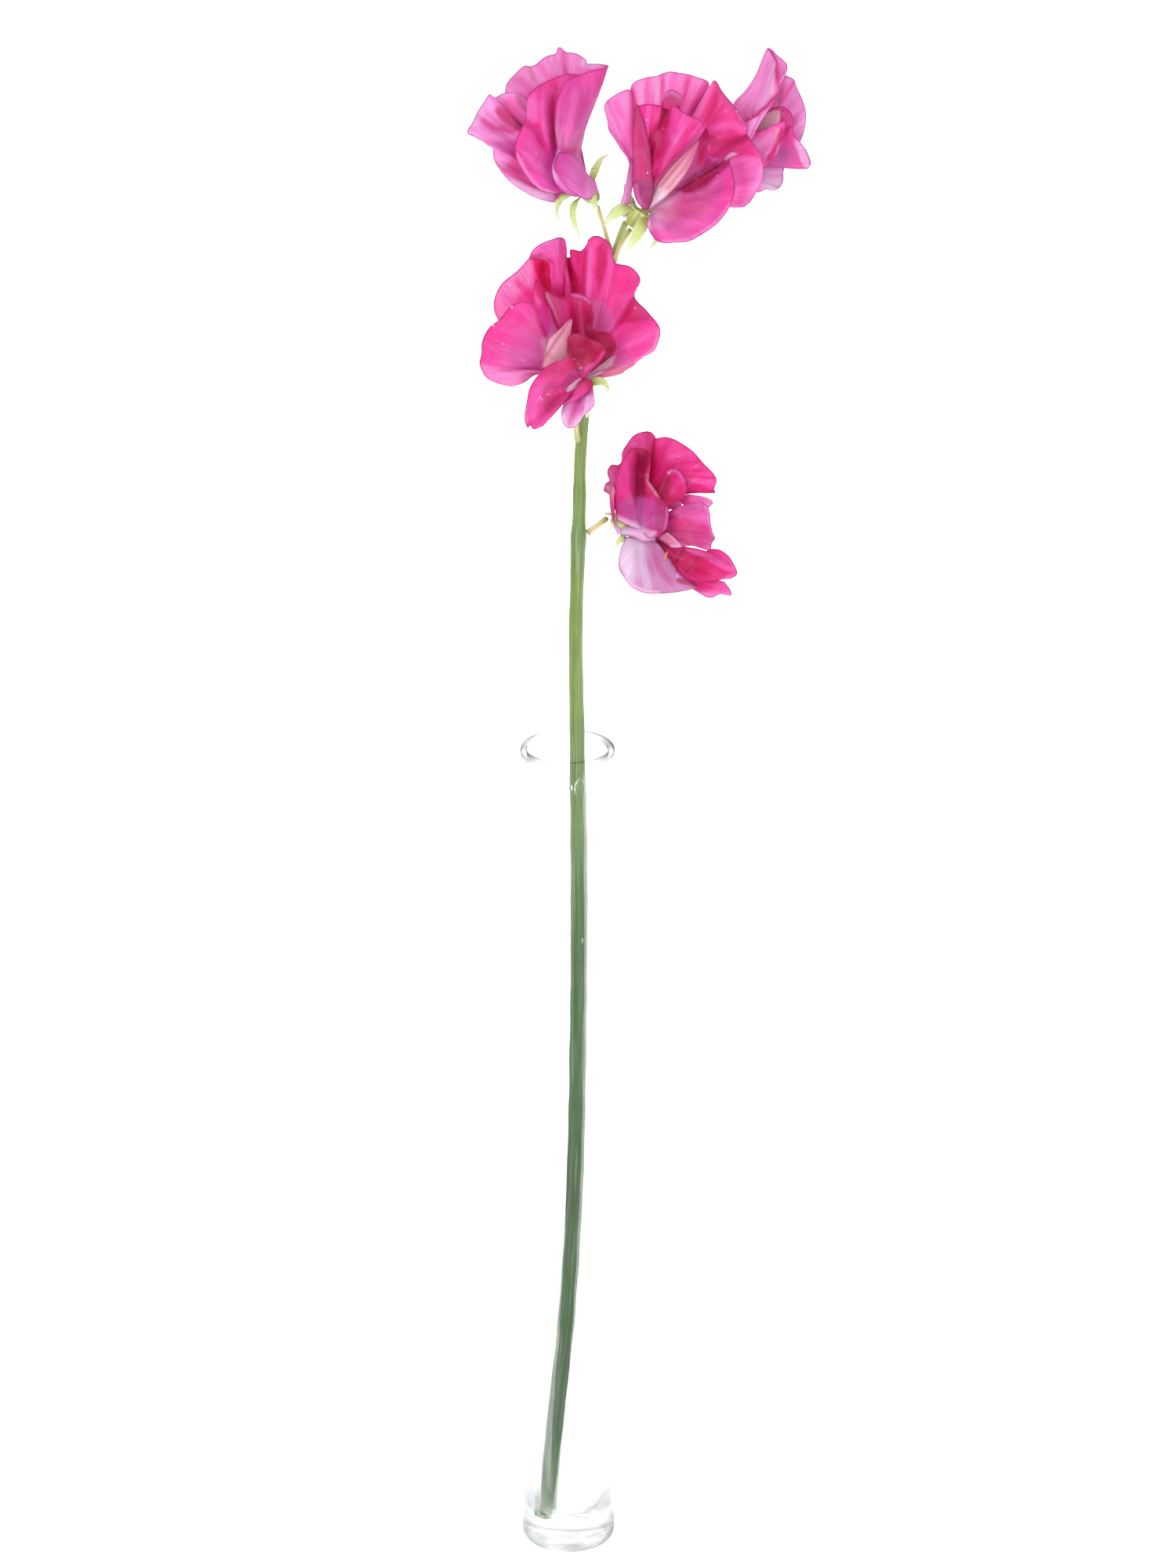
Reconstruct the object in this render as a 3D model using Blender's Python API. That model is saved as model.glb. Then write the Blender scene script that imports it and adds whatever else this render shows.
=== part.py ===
"""A cut sweet pea stem with five open blooms, standing in a slim clear glass tube vase.

The origin is the centre of the vase's flat underside, +Z is up and +X is the right
hand side of the display.  Every size below is in millimetres and becomes metres when a
mesh is made.

A bloom is drawn in a frame of its own: (right, up, forward), measured from the mouth of
its green cup, with the whole frame leaning back a little.  A petal is a fan of ribs that
start at its claw.  A straight rib is a tuple of five numbers: the place of its tip
(right, up, forward), then how far the rib swells forward at a third and at two thirds of
its length.  A bent rib is a list of the points it runs through.
"""

import math

import bmesh
import bpy
import numpy as np

MM = 0.001

# Vase: a drawn glass tube with a thick flat bottom and a fire-rounded rim.
VASE_HEIGHT = 238.0
VASE_FOOT_RADIUS = 12.75
VASE_NECK_RADIUS = 12.35
VASE_LIP_RADIUS = 12.7
VASE_BORE_RADIUS = 11.05
VASE_FLOOR = 8.0
VASE_CORNER = 2.4
VASE_SIDES = 40

# Stem: its route through the vase and up to the top bloom, with the radius at each point.
STEM_ROUTE = [
    (-5.8, -4.3, 9.0, 2.15),
    (-4.4, -5.1, 28.0, 2.2),
    (-3.2, -5.8, 42.0, 2.2),
    (-1.0, -6.3, 64.0, 2.2),
    (1.0, -6.8, 92.0, 2.2),
    (2.2, -7.3, 121.0, 2.2),
    (2.8, -7.8, 156.0, 2.18),
    (3.0, -8.1, 190.0, 2.15),
    (2.9, -8.2, 212.0, 2.1),
    (2.6, -8.3, 234.0, 2.0),
    (2.5, -8.3, 246.0, 1.98),
    (2.2, -8.2, 262.0, 1.86),
    (2.1, -7.8, 273.0, 1.82),
    (2.5, -7.0, 289.0, 1.82),
    (2.9, -6.1, 302.0, 1.75),
    (3.1, -5.7, 309.0, 1.6),
    (3.4, -4.8, 323.0, 1.55),
    (4.4, -4.2, 334.3, 1.4),
    (6.0, -2.9, 345.0, 1.3),
    (8.0, -1.2, 355.2, 1.2),
    (9.8, 1.3, 364.0, 1.1),
    (12.3, 3.8, 375.9, 1.0),
    (13.9, 3.2, 381.4, 0.95),
    (15.4, 1.2, 386.3, 0.85),
]

# Blooms: where the mouth of each green cup is, and how far its frame leans back.
BLOOMS = {
    "left": ((6.0, 4.0, 393.5), 18.5),
    "front": ((18.5, -5.0, 391.0), 18.5),
    "back": ((47.5, 12.0, 393.5), 18.5),
    "middle": ((3.8, -15.0, 349.1), 19.5),
    "low": ((14.5, -4.0, 303.0), 20.5),
}

PETAL_THICKNESS = 0.5
PETAL_ROWS = 6
CLAW_RADIUS = 0.7
CUP_THICKNESS = 0.45

CRIMSON = (0.62, 0.01, 0.16)
MAGENTA = (0.80, 0.03, 0.33)
PINK = (0.86, 0.14, 0.47)
PALE_PINK = (0.90, 0.33, 0.66)
LILAC = (0.72, 0.42, 0.66)
CREAM = (0.84, 0.55, 0.50)
LEAF_GREEN = (0.42, 0.52, 0.14)
STEM_GREEN = (0.25, 0.38, 0.13)
STALK_OCHRE = (0.62, 0.42, 0.12)
FILAMENT_ORANGE = (0.85, 0.32, 0.12)


def smooth_curve(points, knots, samples):
    """A smooth curve through points given at knots, read at samples."""
    points = np.asarray(points, float)
    knots = np.asarray(knots, float)
    samples = np.asarray(samples, float)
    if len(points) == 1:
        return np.repeat(points, len(samples), axis=0)
    steps = np.diff(knots)
    chords = np.diff(points, axis=0) / steps[:, None]
    slopes = np.empty_like(points)
    slopes[0], slopes[-1] = chords[0], chords[-1]
    if len(points) > 2:
        before, after = steps[:-1, None], steps[1:, None]
        slopes[1:-1] = (chords[1:] * before + chords[:-1] * after) / (before + after)
    span = np.clip(np.searchsorted(knots, samples, side="right") - 1, 0, len(steps) - 1)
    width = steps[span][:, None]
    t = ((samples - knots[span]) / steps[span])[:, None]
    return (
        points[span] * (2 * t**3 - 3 * t**2 + 1)
        + slopes[span] * width * (t**3 - 2 * t**2 + t)
        + points[span + 1] * (3 * t**2 - 2 * t**3)
        + slopes[span + 1] * width * (t**3 - t**2)
    )


def length_knots(points, power=1.0):
    """Knots spaced by the distance between points, from 0 to 1."""
    gaps = np.linalg.norm(np.diff(np.asarray(points, float), axis=0), axis=1)
    run = np.concatenate([[0.0], np.cumsum(np.maximum(gaps, 0.01) ** power)])
    return run / run[-1]


def rib_tip(rib):
    """The outer end of a rib."""
    return rib[-1] if isinstance(rib, list) else rib[:3]


def rib_line(claw, rib, rows):
    """Points along one rib from its claw to its tip."""
    claw = np.asarray(claw, float)
    if isinstance(rib, list):
        points = np.vstack([claw, rib])
        knots = length_knots(points)
    else:
        tip = np.array(rib[:3])
        low = claw + 0.35 * (tip - claw) + (0.0, 0.0, rib[3])
        high = claw + 0.7 * (tip - claw) + (0.0, 0.0, rib[4])
        points = np.array([claw, low, high, tip])
        knots = [0.0, 0.35, 0.7, 1.0]
    return smooth_curve(points, knots, np.linspace(0.0, 1.0, rows))


def claw_points(claws, ribs, knots):
    """Where each rib starts: along the claw's own line, or on a small ring round one point."""
    if len(claws) > 1:
        return smooth_curve(claws, np.linspace(0.0, 1.0, len(claws)), knots)
    centre = np.asarray(claws[0], float)
    starts = []
    for rib in ribs:
        ahead = np.asarray(rib[0] if isinstance(rib, list) else rib[:3], float) - centre
        starts.append(centre + CLAW_RADIUS * ahead / np.linalg.norm(ahead))
    return np.array(starts)


def petal_grid(claws, ribs, rows, between):
    """Rows of points over a petal, with a number of columns between one rib and the next."""
    tips = np.array([rib_tip(rib) for rib in ribs], float)
    knots = length_knots(tips, 0.5)
    starts = claw_points(claws, ribs, knots)
    lines = np.array([rib_line(start, rib, rows) for start, rib in zip(starts, ribs)])
    steps = np.arange((len(ribs) - 1) * between + 1) / between
    samples = np.interp(steps, np.arange(len(ribs)), knots)
    return np.array([smooth_curve(lines[:, row], knots, samples) for row in range(rows)])


def grid_normals(grid):
    """The direction that each point of a grid faces."""
    along = np.gradient(grid, axis=0)
    across = np.gradient(grid, axis=1)
    normals = np.cross(along, across)
    return normals / np.linalg.norm(normals, axis=2, keepdims=True)


def shell_between(front, back):
    """Vertices and faces of the closed shell whose two sides are the grids front and back."""
    rows, columns = front.shape[:2]
    count = rows * columns
    index = np.arange(count).reshape(rows, columns)
    faces = []
    for r in range(rows - 1):
        for c in range(columns - 1):
            a, b = index[r, c], index[r, c + 1]
            d, e = index[r + 1, c], index[r + 1, c + 1]
            faces.append((a, d, e, b))
            faces.append((a + count, b + count, e + count, d + count))
    rim = list(index[0, :]) + list(index[1:, -1])
    rim += list(index[-1, -2::-1]) + list(index[-2:0:-1, 0])
    for here, ahead in zip(rim, rim[1:] + rim[:1]):
        faces.append((here, ahead, ahead + count, here + count))
    return np.vstack([front.reshape(-1, 3), back.reshape(-1, 3)]), faces


def to_world(bloom, points):
    """Points of a bloom's leaning frame, in the object's own millimetres."""
    origin, lean = BLOOMS[bloom]
    sine, cosine = math.sin(math.radians(lean)), math.cos(math.radians(lean))
    right, up, forward = np.asarray(points, float).T
    back = up * sine - forward * cosine
    height = up * cosine + forward * sine
    return np.stack([right, back, height], axis=1) + np.array(origin)


def finish_of(name, colour, roughness, transmission=0.0):
    """A Principled material."""
    material = bpy.data.materials.new(name)
    material.use_nodes = True
    shader = material.node_tree.nodes["Principled BSDF"]
    shader.inputs["Base Color"].default_value = (*colour, 1.0)
    shader.inputs["Roughness"].default_value = roughness
    shader.inputs["Metallic"].default_value = 0.0
    shader.inputs["Transmission Weight"].default_value = transmission
    return material


def add_object(name, points, faces, material):
    """A closed mesh object, with its faces turned outwards."""
    mesh = bpy.data.meshes.new(name)
    mesh.from_pydata([tuple(point) for point in np.asarray(points) * MM], [], faces)
    shape = bmesh.new()
    shape.from_mesh(mesh)
    bmesh.ops.recalc_face_normals(shape, faces=shape.faces)
    if shape.calc_volume(signed=True) < 0:
        bmesh.ops.reverse_faces(shape, faces=shape.faces)
    bmesh.ops.triangulate(shape, faces=shape.faces)
    shape.to_mesh(mesh)
    shape.free()
    mesh.shade_smooth()
    mesh.materials.append(material)
    item = bpy.data.objects.new(name, mesh)
    bpy.context.scene.collection.objects.link(item)
    return item


def add_petal(name, claws, ribs, colour, between=1, rows=PETAL_ROWS):
    """A petal: a thin shell over its fan of ribs.  Its name starts with its bloom's."""
    grid = petal_grid(claws, ribs, rows, between)
    reach = grid_normals(grid) * PETAL_THICKNESS / 2
    points, faces = shell_between(grid + reach, grid - reach)
    places = to_world(name.split("_")[0], points)
    return add_object(name, places, faces, finish_of(name, colour, 0.5))


def add_pod(name, claws, ribs, colour, swell, between=1, rows=PETAL_ROWS):
    """A closed boat-shaped keel: its two sides swell apart between the claw and the margin."""
    grid = petal_grid(claws, ribs, rows, between)
    down = np.sin(np.pi * np.linspace(0.12, 0.96, rows)) ** 0.7
    over = np.sin(np.pi * np.linspace(0.04, 0.96, grid.shape[1])) ** 0.7
    reach = grid_normals(grid) * (0.25 + swell * down[:, None] * over[None, :])[:, :, None]
    points, faces = shell_between(grid + reach, grid - reach)
    places = to_world(name.split("_")[0], points)
    return add_object(name, places, faces, finish_of(name, colour, 0.5))


def ring_frame(axis):
    """Two directions square to an axis."""
    axis = axis / np.linalg.norm(axis)
    side = np.cross(axis, (0.0, 0.0, 1.0))
    side = side / np.linalg.norm(side)
    return side, np.cross(axis, side)


def add_cup(name, base, mouth, radius, lobes):
    """The green cup of a bloom, with five pointed lobes that leave its rim for their tips."""
    base, mouth = np.array(base, float), np.array(mouth, float)
    side, other = ring_frame(mouth - base)

    def turn_of(lobe):
        reach = np.array(lobe[0], float) - mouth
        return math.atan2(reach @ other, reach @ side)

    lobes = sorted(lobes, key=turn_of)
    middles = np.array([turn_of(lobe) for lobe in lobes])
    gaps = np.diff(np.append(middles, middles[0] + math.tau))
    turns = []
    for middle, gap_before, gap_after in zip(middles, np.roll(gaps, 1), gaps):
        turns += [middle - 0.36 * gap_before, middle, middle + 0.36 * gap_after]
    points = [base]
    for down, share in ((0.0, 0.38), (0.3, 0.78), (0.65, 0.95), (1.0, 1.0)):
        for turn in turns:
            outward = side * math.cos(turn) + other * math.sin(turn)
            points.append(base + (mouth - base) * down + outward * radius * share)
    columns = len(turns)
    faces = [(0, 1 + (c + 1) % columns, 1 + c) for c in range(columns)]
    for r in range(3):
        first = 1 + r * columns
        for c in range(columns):
            d = (c + 1) % columns
            faces.append((first + c, first + d, first + columns + d, first + columns + c))
    rim = 1 + 3 * columns
    for number, lobe in enumerate(lobes):
        before = [rim + 3 * number, rim + 3 * number + 1, rim + 3 * number + 2]
        left, middle, right = (np.array(points[i]) for i in before)
        line = smooth_curve(
            np.vstack([middle, lobe]), length_knots(np.vstack([middle, lobe])), [0.3, 0.6, 0.85, 1.0]
        )
        for place, width in zip(line, (0.8, 0.55, 0.25, 0.06)):
            row = [place + (left - middle) * width, place, place + (right - middle) * width]
            now = [len(points), len(points) + 1, len(points) + 2]
            points += row
            faces.append((before[0], before[1], now[1], now[0]))
            faces.append((before[1], before[2], now[2], now[1]))
            before = now
    places = to_world(name.split("_")[0], points)
    item = add_object(name, places, faces, finish_of(name, LEAF_GREEN, 0.6))
    wall = item.modifiers.new("wall", "SOLIDIFY")
    wall.thickness = CUP_THICKNESS * MM
    wall.offset = 0.0
    return item


def add_tube(name, route, colour, steps=4, bevel=2):
    """A round stalk through points that each carry their own radius."""
    route = np.array(route, float)
    knots = length_knots(route[:, :3])
    samples = np.linspace(0.0, 1.0, (len(route) - 1) * steps + 1)
    places = smooth_curve(route, knots, samples)
    curve = bpy.data.curves.new(name, "CURVE")
    curve.dimensions = "3D"
    curve.bevel_depth = MM
    curve.bevel_resolution = bevel
    curve.use_fill_caps = True
    spline = curve.splines.new("POLY")
    spline.points.add(len(places) - 1)
    for point, place in zip(spline.points, places):
        point.co = (*(place[:3] * MM), 1.0)
        point.radius = place[3]
    curve.materials.append(finish_of(name, colour, 0.55))
    item = bpy.data.objects.new(name, curve)
    bpy.context.scene.collection.objects.link(item)
    return item


def add_stalk(name, route, steps=3):
    """A bloom's own stalk, given in the bloom's frame as (right, up, forward, radius)."""
    route = np.array(route, float)
    places = to_world(name.split("_")[0], route[:, :3])
    return add_tube(name, np.column_stack([places, route[:, 3]]), STALK_OCHRE, steps, 1)


def arc(centre, radius, start, end, steps):
    """Points on an arc of a profile, by angle in degrees."""
    turns = np.radians(np.linspace(start, end, steps))
    return [(centre[0] + radius * math.cos(t), centre[1] + radius * math.sin(t)) for t in turns]


def vase_profile():
    """The glass section from the axis on the floor, over the rim, to the axis underneath."""
    lip = (VASE_LIP_RADIUS - VASE_BORE_RADIUS) / 2
    lip_centre = (VASE_BORE_RADIUS + lip, VASE_HEIGHT - lip)
    inside = [(0.0, VASE_FLOOR), (5.0, VASE_FLOOR), (8.6, VASE_FLOOR + 0.1)]
    inside += [(10.0, VASE_FLOOR + 1.0), (10.7, VASE_FLOOR + 3.5)]
    inside += [(10.9, 22.0), (VASE_BORE_RADIUS, 36.0)]
    rim = arc(lip_centre, lip, 180.0, 0.0, 7)
    outside = [(VASE_NECK_RADIUS, VASE_HEIGHT - 5.0), (VASE_NECK_RADIUS + 0.1, VASE_HEIGHT / 2)]
    foot_centre = (VASE_FOOT_RADIUS - VASE_CORNER, VASE_CORNER)
    foot = arc(foot_centre, VASE_CORNER, 0.0, -90.0, 5)
    return inside + rim + outside + foot + [(0.0, 0.0)]


def add_vase():
    """The glass tube, turned about the Z axis."""
    profile = vase_profile()
    mesh = bpy.data.meshes.new("vase")
    points = [(r * MM, 0.0, z * MM) for r, z in profile]
    mesh.from_pydata(points, [(i, i + 1) for i in range(len(points) - 1)], [])
    mesh.materials.append(finish_of("vase", (0.94, 0.96, 0.96), 0.03, 1.0))
    item = bpy.data.objects.new("vase", mesh)
    bpy.context.scene.collection.objects.link(item)
    turn = item.modifiers.new("turn", "SCREW")
    turn.steps = turn.render_steps = VASE_SIDES
    turn.use_merge_vertices = True
    turn.merge_threshold = 0.00005
    turn.use_smooth_shade = True
    return item


def add_left_bloom():
    """Upper left bloom, seen from its flank: its banner is folded round the wings."""
    add_stalk("left_stalk", [
        (5.6, -15.4, -2.6, 0.7),
        (4.8, -12.8, -2.2, 0.55),
        (3.6, -8.5, -0.8, 0.5),
        (2.5, -5.2, -0.2, 0.55),
        (2.0, -3.3, 0.0, 0.6),
    ])
    add_cup("left_cup", (1.7, -2.2, 0.0), (-0.9, 1.0, 0.2), 2.3, [
        [(-5.8, -0.4, 0.6), (-8.2, -2.2, 0.6), (-8.9, -4.8, 0.6), (-8.2, -7.4, 0.6)],
        [(-4.0, -2.6, 1.4), (-4.7, -5.2, 1.4), (-4.0, -8.5, 1.2), (-2.6, -11.6, 1.0)],
        [(1.2, 4.6, 0.2), (1.9, 7.0, -0.4), (3.2, 9.2, -0.8), (5.3, 10.4, -1.2)],
        [(0.6, -1.6, 3.0), (1.2, -3.0, 3.0), (2.0, -4.6, 2.6)],
        [(-1.8, 3.8, -3.4), (-2.6, 7.0, -5.0), (-2.9, 11.0, -6.0)],
    ])
    add_petal("left_standard", [(-0.2, 2.2, 1.4), (-0.5, 3.4, -0.1), (-1.4, 3.6, -1.3)], [
        [
            (-3.5, -0.9, 4.2), (-8.0, 1.8, 5.2), (-9.7, 6.0, 5.4), (-8.6, 11.5, 5.0),
            (-9.3, 17.5, 5.5), (-8.8, 24.0, 5.0), (-6.5, 28.8, 3.5),
        ],
        [
            (-3.0, 0.9, 5.0), (-7.0, 4.0, 6.4), (-7.8, 8.0, 6.2), (-7.0, 11.5, 5.0),
            (-7.0, 17.5, 6.5), (-5.8, 24.0, 6.0), (-4.0, 30.3, 3.5),
        ],
        [
            (-2.0, 2.3, 4.8), (-4.8, 5.5, 5.8), (-5.8, 9.0, 5.2), (-5.5, 11.8, 4.0),
            (-4.5, 17.5, 6.0), (-3.0, 24.0, 5.5), (-1.0, 31.5, 3.0),
        ],
        [
            (-1.4, 3.4, 3.6), (-3.0, 6.5, 4.0), (-4.5, 9.5, 3.5), (-4.3, 12.0, 2.8),
            (-2.7, 17.0, 4.0), (0.0, 24.0, 3.5), (2.2, 32.4, 1.8),
        ],
        [
            (-0.8, 4.8, 1.2), (-1.9, 6.8, 1.6), (-3.4, 9.3, 1.4), (-3.0, 12.5, 1.0),
            (-0.8, 18.0, 1.0), (1.7, 24.5, 0.5), (5.0, 33.3, 0.0),
        ],
        [
            (-1.6, 6.6, -0.9), (-2.4, 9.6, -1.3), (-1.5, 16.0, -2.2),
            (0.5, 25.0, -2.6), (3.0, 33.9, -2.0),
        ],
        (-1.4, 34.3, -5.0, -1.5, -1.5),
        (-1.6, 35.4, -6.0, -1.5, -1.0),
        (-3.7, 36.8, -7.0, -1.5, -1.5),
        (-6.3, 37.2, -8.0, -1.5, -1.5),
        (-8.0, 38.4, -8.0, -1.5, -1.0),
        (-9.0, 36.8, -9.0, -1.5, -1.5),
        (-11.5, 36.0, -9.0, -1.5, -1.0),
        (-15.0, 33.6, -10.0, -1.5, -1.5),
        (-17.2, 33.6, -9.0, -1.5, -1.0),
        (-19.5, 31.6, -10.0, -1.5, -1.5),
        (-22.0, 28.7, -10.0, -1.5, -1.0),
        (-22.6, 25.0, -9.5, -1.5, -1.0),
    ], PINK, rows=9)
    add_petal("left_wing_near", [(-2.6, 0.6, 0.9)], [
        (-9.3, -0.2, 1.6, 0.3, 0.5),
        (-12.0, 0.6, 2.0, 0.6, 1.0),
        (-15.5, 3.5, 2.5, 0.8, 1.8),
        (-18.3, 7.0, 3.0, 0.8, 2.2),
        (-19.6, 10.5, 3.0, 0.8, 2.5),
        (-19.4, 14.0, 2.8, 0.8, 2.5),
        (-17.6, 18.0, 2.0, 0.8, 2.2),
        (-16.8, 22.0, 1.0, 0.8, 2.0),
        (-16.3, 25.5, 0.0, 0.8, 1.8),
        [(-5.3, 6.1, 1.1), (-8.2, 12.4, 1.8), (-11.0, 20.6, 1.4), (-13.2, 28.5, -1.0)],
        [(-5.1, 6.0, 1.0), (-7.4, 12.2, 1.5), (-9.0, 21.4, 1.0), (-10.0, 30.1, -1.2)],
        [(-4.9, 5.9, 0.8), (-6.5, 12.0, 1.0), (-6.8, 22.0, 0.4), (-6.0, 31.2, -1.2)],
        [(-4.7, 5.7, 0.6), (-5.6, 11.4, 0.4), (-4.6, 20.0, 0.0), (-2.8, 31.0, -1.2)],
    ], MAGENTA)
    add_petal("left_wing_far", [(-3.2, 0.8, -1.6)], [
        (-9.6, -2.6, -1.4, 0.0, 0.0),
        (-14.0, -1.4, -1.8, -0.3, 0.0),
        (-18.0, 0.7, -2.0, -0.5, 0.0),
        (-21.5, 3.3, -2.4, -0.8, -0.3),
        (-24.0, 6.3, -2.8, -1.0, -0.5),
        (-25.4, 9.0, -3.0, -1.2, -0.8),
        (-25.7, 12.0, -2.6, -1.2, -0.6),
        (-28.0, 13.7, -1.6, -1.2, -0.2),
        (-32.2, 15.9, -1.0, -1.2, 0.0),
        (-31.0, 18.5, -2.4, -1.2, -0.6),
        (-29.5, 21.6, -3.2, -1.2, -1.4),
        (-28.1, 23.6, -1.2, -1.2, -1.0),
        (-26.5, 25.9, -0.8, -1.2, -1.0),
        (-25.0, 25.2, -2.8, -1.2, -1.6),
        (-23.0, 26.2, -2.2, -1.4, -1.0),
        (-21.0, 26.5, -1.6, -1.6, -0.8),
        (-19.0, 26.4, -2.6, -1.8, -1.4),
        (-17.0, 25.4, -4.0, -2.0, -1.6),
    ], PINK)
    add_pod("left_keel", [(-3.6, 2.0, -0.4)], [
        (-9.6, 7.0, -0.6, 0.3, 0.3),
        (-13.0, 12.0, -0.6, 0.5, 0.5),
        (-14.4, 17.0, -0.6, 0.5, 0.5),
        (-13.6, 20.0, -0.6, 0.5, 0.4),
        (-11.6, 18.6, -0.6, 0.3, 0.3),
        (-8.8, 14.0, -0.6, 0.2, 0.2),
    ], CREAM, 0.45)


def add_front_bloom():
    """Top bloom at the front, turned to the left, with its wings open over a pale keel."""
    add_stalk("front_stalk", [
        (-6.2, -13.2, -11.0, 0.7),
        (-5.5, -11.0, -8.4, 0.6),
        (-4.5, -8.6, -5.0, 0.55),
        (-3.3, -6.4, -2.8, 0.6),
        (-2.0, -4.35, -1.05, 0.75),
    ])
    add_cup("front_cup", (-1.6, -3.4, -0.6), (1.0, 0.6, 0.0), 2.9, [
        [(1.6, -3.6, 2.4), (0.4, -5.8, 2.8), (-1.5, -8.2, 2.8), (-3.1, -10.4, 2.4)],
        [(-3.0, 1.6, 0.6), (-5.0, 1.2, 0.6), (-7.0, -0.6, 0.4), (-8.6, -3.2, 0.2)],
        [(4.6, -2.6, -1.0), (5.4, -5.0, -1.4), (4.8, -7.6, -1.6), (2.8, -9.5, -1.8)],
        [(-1.8, 3.2, -4.2), (-2.8, 5.4, -6.6), (-3.6, 8.0, -8.4)],
        [(3.6, 2.2, -4.2), (5.2, 4.0, -6.8), (6.4, 6.2, -8.8)],
    ])
    add_petal("front_standard", [(0.2, 2.6, -2.2)], [
        [(-1.2, 8.0, -2.9), (-2.1, 13.4, -3.2), (-4.7, 17.0, -3.4)],
        [(-1.1, 8.2, -2.9), (-2.2, 13.8, -3.2), (-7.4, 21.3, -4.0)],
        [(-1.0, 8.3, -2.9), (-2.3, 14.2, -3.3), (-8.2, 25.0, -4.2)],
        [(-0.9, 8.4, -3.0), (-2.3, 14.8, -3.4), (-8.7, 28.2, -4.4)],
        [(-0.8, 8.5, -3.0), (-2.2, 15.4, -3.5), (-7.0, 30.3, -4.4)],
        (-3.0, 32.3, -3.8, -0.8, 0.6),
        (-2.0, 32.2, -5.4, -0.8, -0.4),
        (-1.0, 34.2, -5.2, -0.8, -0.2),
        (2.0, 35.5, -5.6, -0.8, 0.0),
        (5.0, 36.0, -6.6, -0.8, -0.6),
        (8.0, 37.1, -6.2, -0.8, 0.0),
        (11.0, 36.8, -7.0, -0.8, -0.4),
        (15.0, 36.0, -6.4, -0.8, 0.2),
        (18.6, 34.4, -6.4, -0.8, 0.0),
        (18.6, 32.6, -7.8, -0.8, -1.2),
        (20.6, 34.6, -3.8, -0.8, 0.0),
        (22.0, 32.3, -3.2, -0.8, 0.6),
        (25.0, 28.4, -3.8, -0.8, 0.6),
        (28.3, 24.0, -4.6, -0.6, 0.4),
        (28.9, 22.0, -5.2, -0.6, 0.0),
        (28.9, 20.6, -6.6, -0.6, -1.6),
        (31.0, 17.5, -5.2, -0.6, -0.8),
        (32.8, 14.5, -4.2, -0.6, 0.0),
        (33.2, 11.5, -4.2, -0.6, 0.4),
        (32.5, 8.0, -4.8, -0.6, 0.4),
        (30.5, 4.0, -5.4, -0.6, 0.0),
        (28.5, 2.0, -5.8, -0.6, 0.0),
        (26.5, 1.3, -6.0, -0.4, 0.0),
    ], PALE_PINK)
    add_petal("front_wing_left", [(2.5, 1.3, 3.3)], [
        [(0.4, 5.0, 3.8), (-0.5, 11.0, 4.0), (-0.5, 17.0, 4.0), (-1.0, 24.5, 4.0)],
        [(1.2, 6.0, 4.8), (0.8, 12.0, 5.0), (0.3, 19.0, 5.0), (-0.4, 27.3, 4.5)],
        [(2.0, 7.0, 5.2), (2.0, 13.0, 5.0), (1.5, 20.0, 4.5), (1.5, 28.4, 5.0)],
        [(2.7, 8.0, 5.4), (3.0, 13.0, 4.6), (3.2, 19.0, 3.2), (4.0, 28.3, 5.0)],
        [(3.2, 8.3, 5.6), (3.9, 13.0, 5.2), (4.9, 19.0, 4.5), (6.5, 28.0, 5.0)],
        [(3.6, 8.4, 5.8), (4.6, 13.0, 5.8), (6.0, 19.0, 4.2), (8.2, 28.7, 2.5)],
        [(3.8, 8.4, 5.9), (5.2, 13.0, 6.6), (7.0, 19.0, 5.5), (9.4, 28.8, 4.5)],
        [(4.0, 8.4, 6.0), (6.0, 13.0, 7.0), (8.5, 19.0, 6.8), (11.5, 26.7, 6.5)],
        [(4.1, 8.3, 6.0), (6.8, 13.0, 7.3), (10.3, 19.0, 7.8), (13.7, 25.3, 7.8)],
        [(4.2, 8.2, 6.0), (7.3, 12.8, 7.4), (11.5, 18.3, 8.2), (16.0, 24.5, 8.2)],
        [(4.3, 8.0, 6.0), (7.7, 12.6, 7.4), (12.0, 17.6, 8.2), (17.3, 22.9, 8.2)],
        [(4.4, 7.6, 6.0), (7.7, 12.2, 7.4), (11.7, 16.9, 8.0), (15.8, 20.8, 8.0)],
    ], MAGENTA)
    add_petal("front_wing_right", [(3.3, 1.2, 1.4)], [
        (2.6, -3.2, 3.6, 1.0, 0.8),
        (4.3, -7.0, 4.2, 1.0, 1.2),
        (6.5, -8.0, 4.6, 0.6, 1.2),
        (10.0, -7.6, 5.6, 0.6, 1.6),
        (13.5, -7.3, 6.2, 0.6, 1.8),
        (18.0, -4.9, 6.6, 0.6, 1.8),
        (21.5, -2.0, 6.6, 0.6, 1.8),
        (24.3, 2.0, 6.2, 0.4, 1.5),
        (25.5, 6.5, 5.6, 0.0, 1.0),
        (25.0, 10.5, 5.0, -0.3, 0.2),
        (24.2, 13.6, 4.4, -0.6, -1.2),
        (26.8, 15.2, 2.6, -0.6, -1.4),
        (24.5, 16.3, 2.2, -0.5, -1.2),
        (22.0, 14.6, 2.4, -0.4, -1.2),
        (19.6, 15.0, 1.6, -0.2, -0.8),
        (18.2, 16.8, 1.6, 0.0, -0.2),
        (18.7, 20.0, 2.0, 0.0, 0.0),
        (18.2, 22.6, 2.2, 0.0, 0.0),
    ], PINK)
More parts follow.
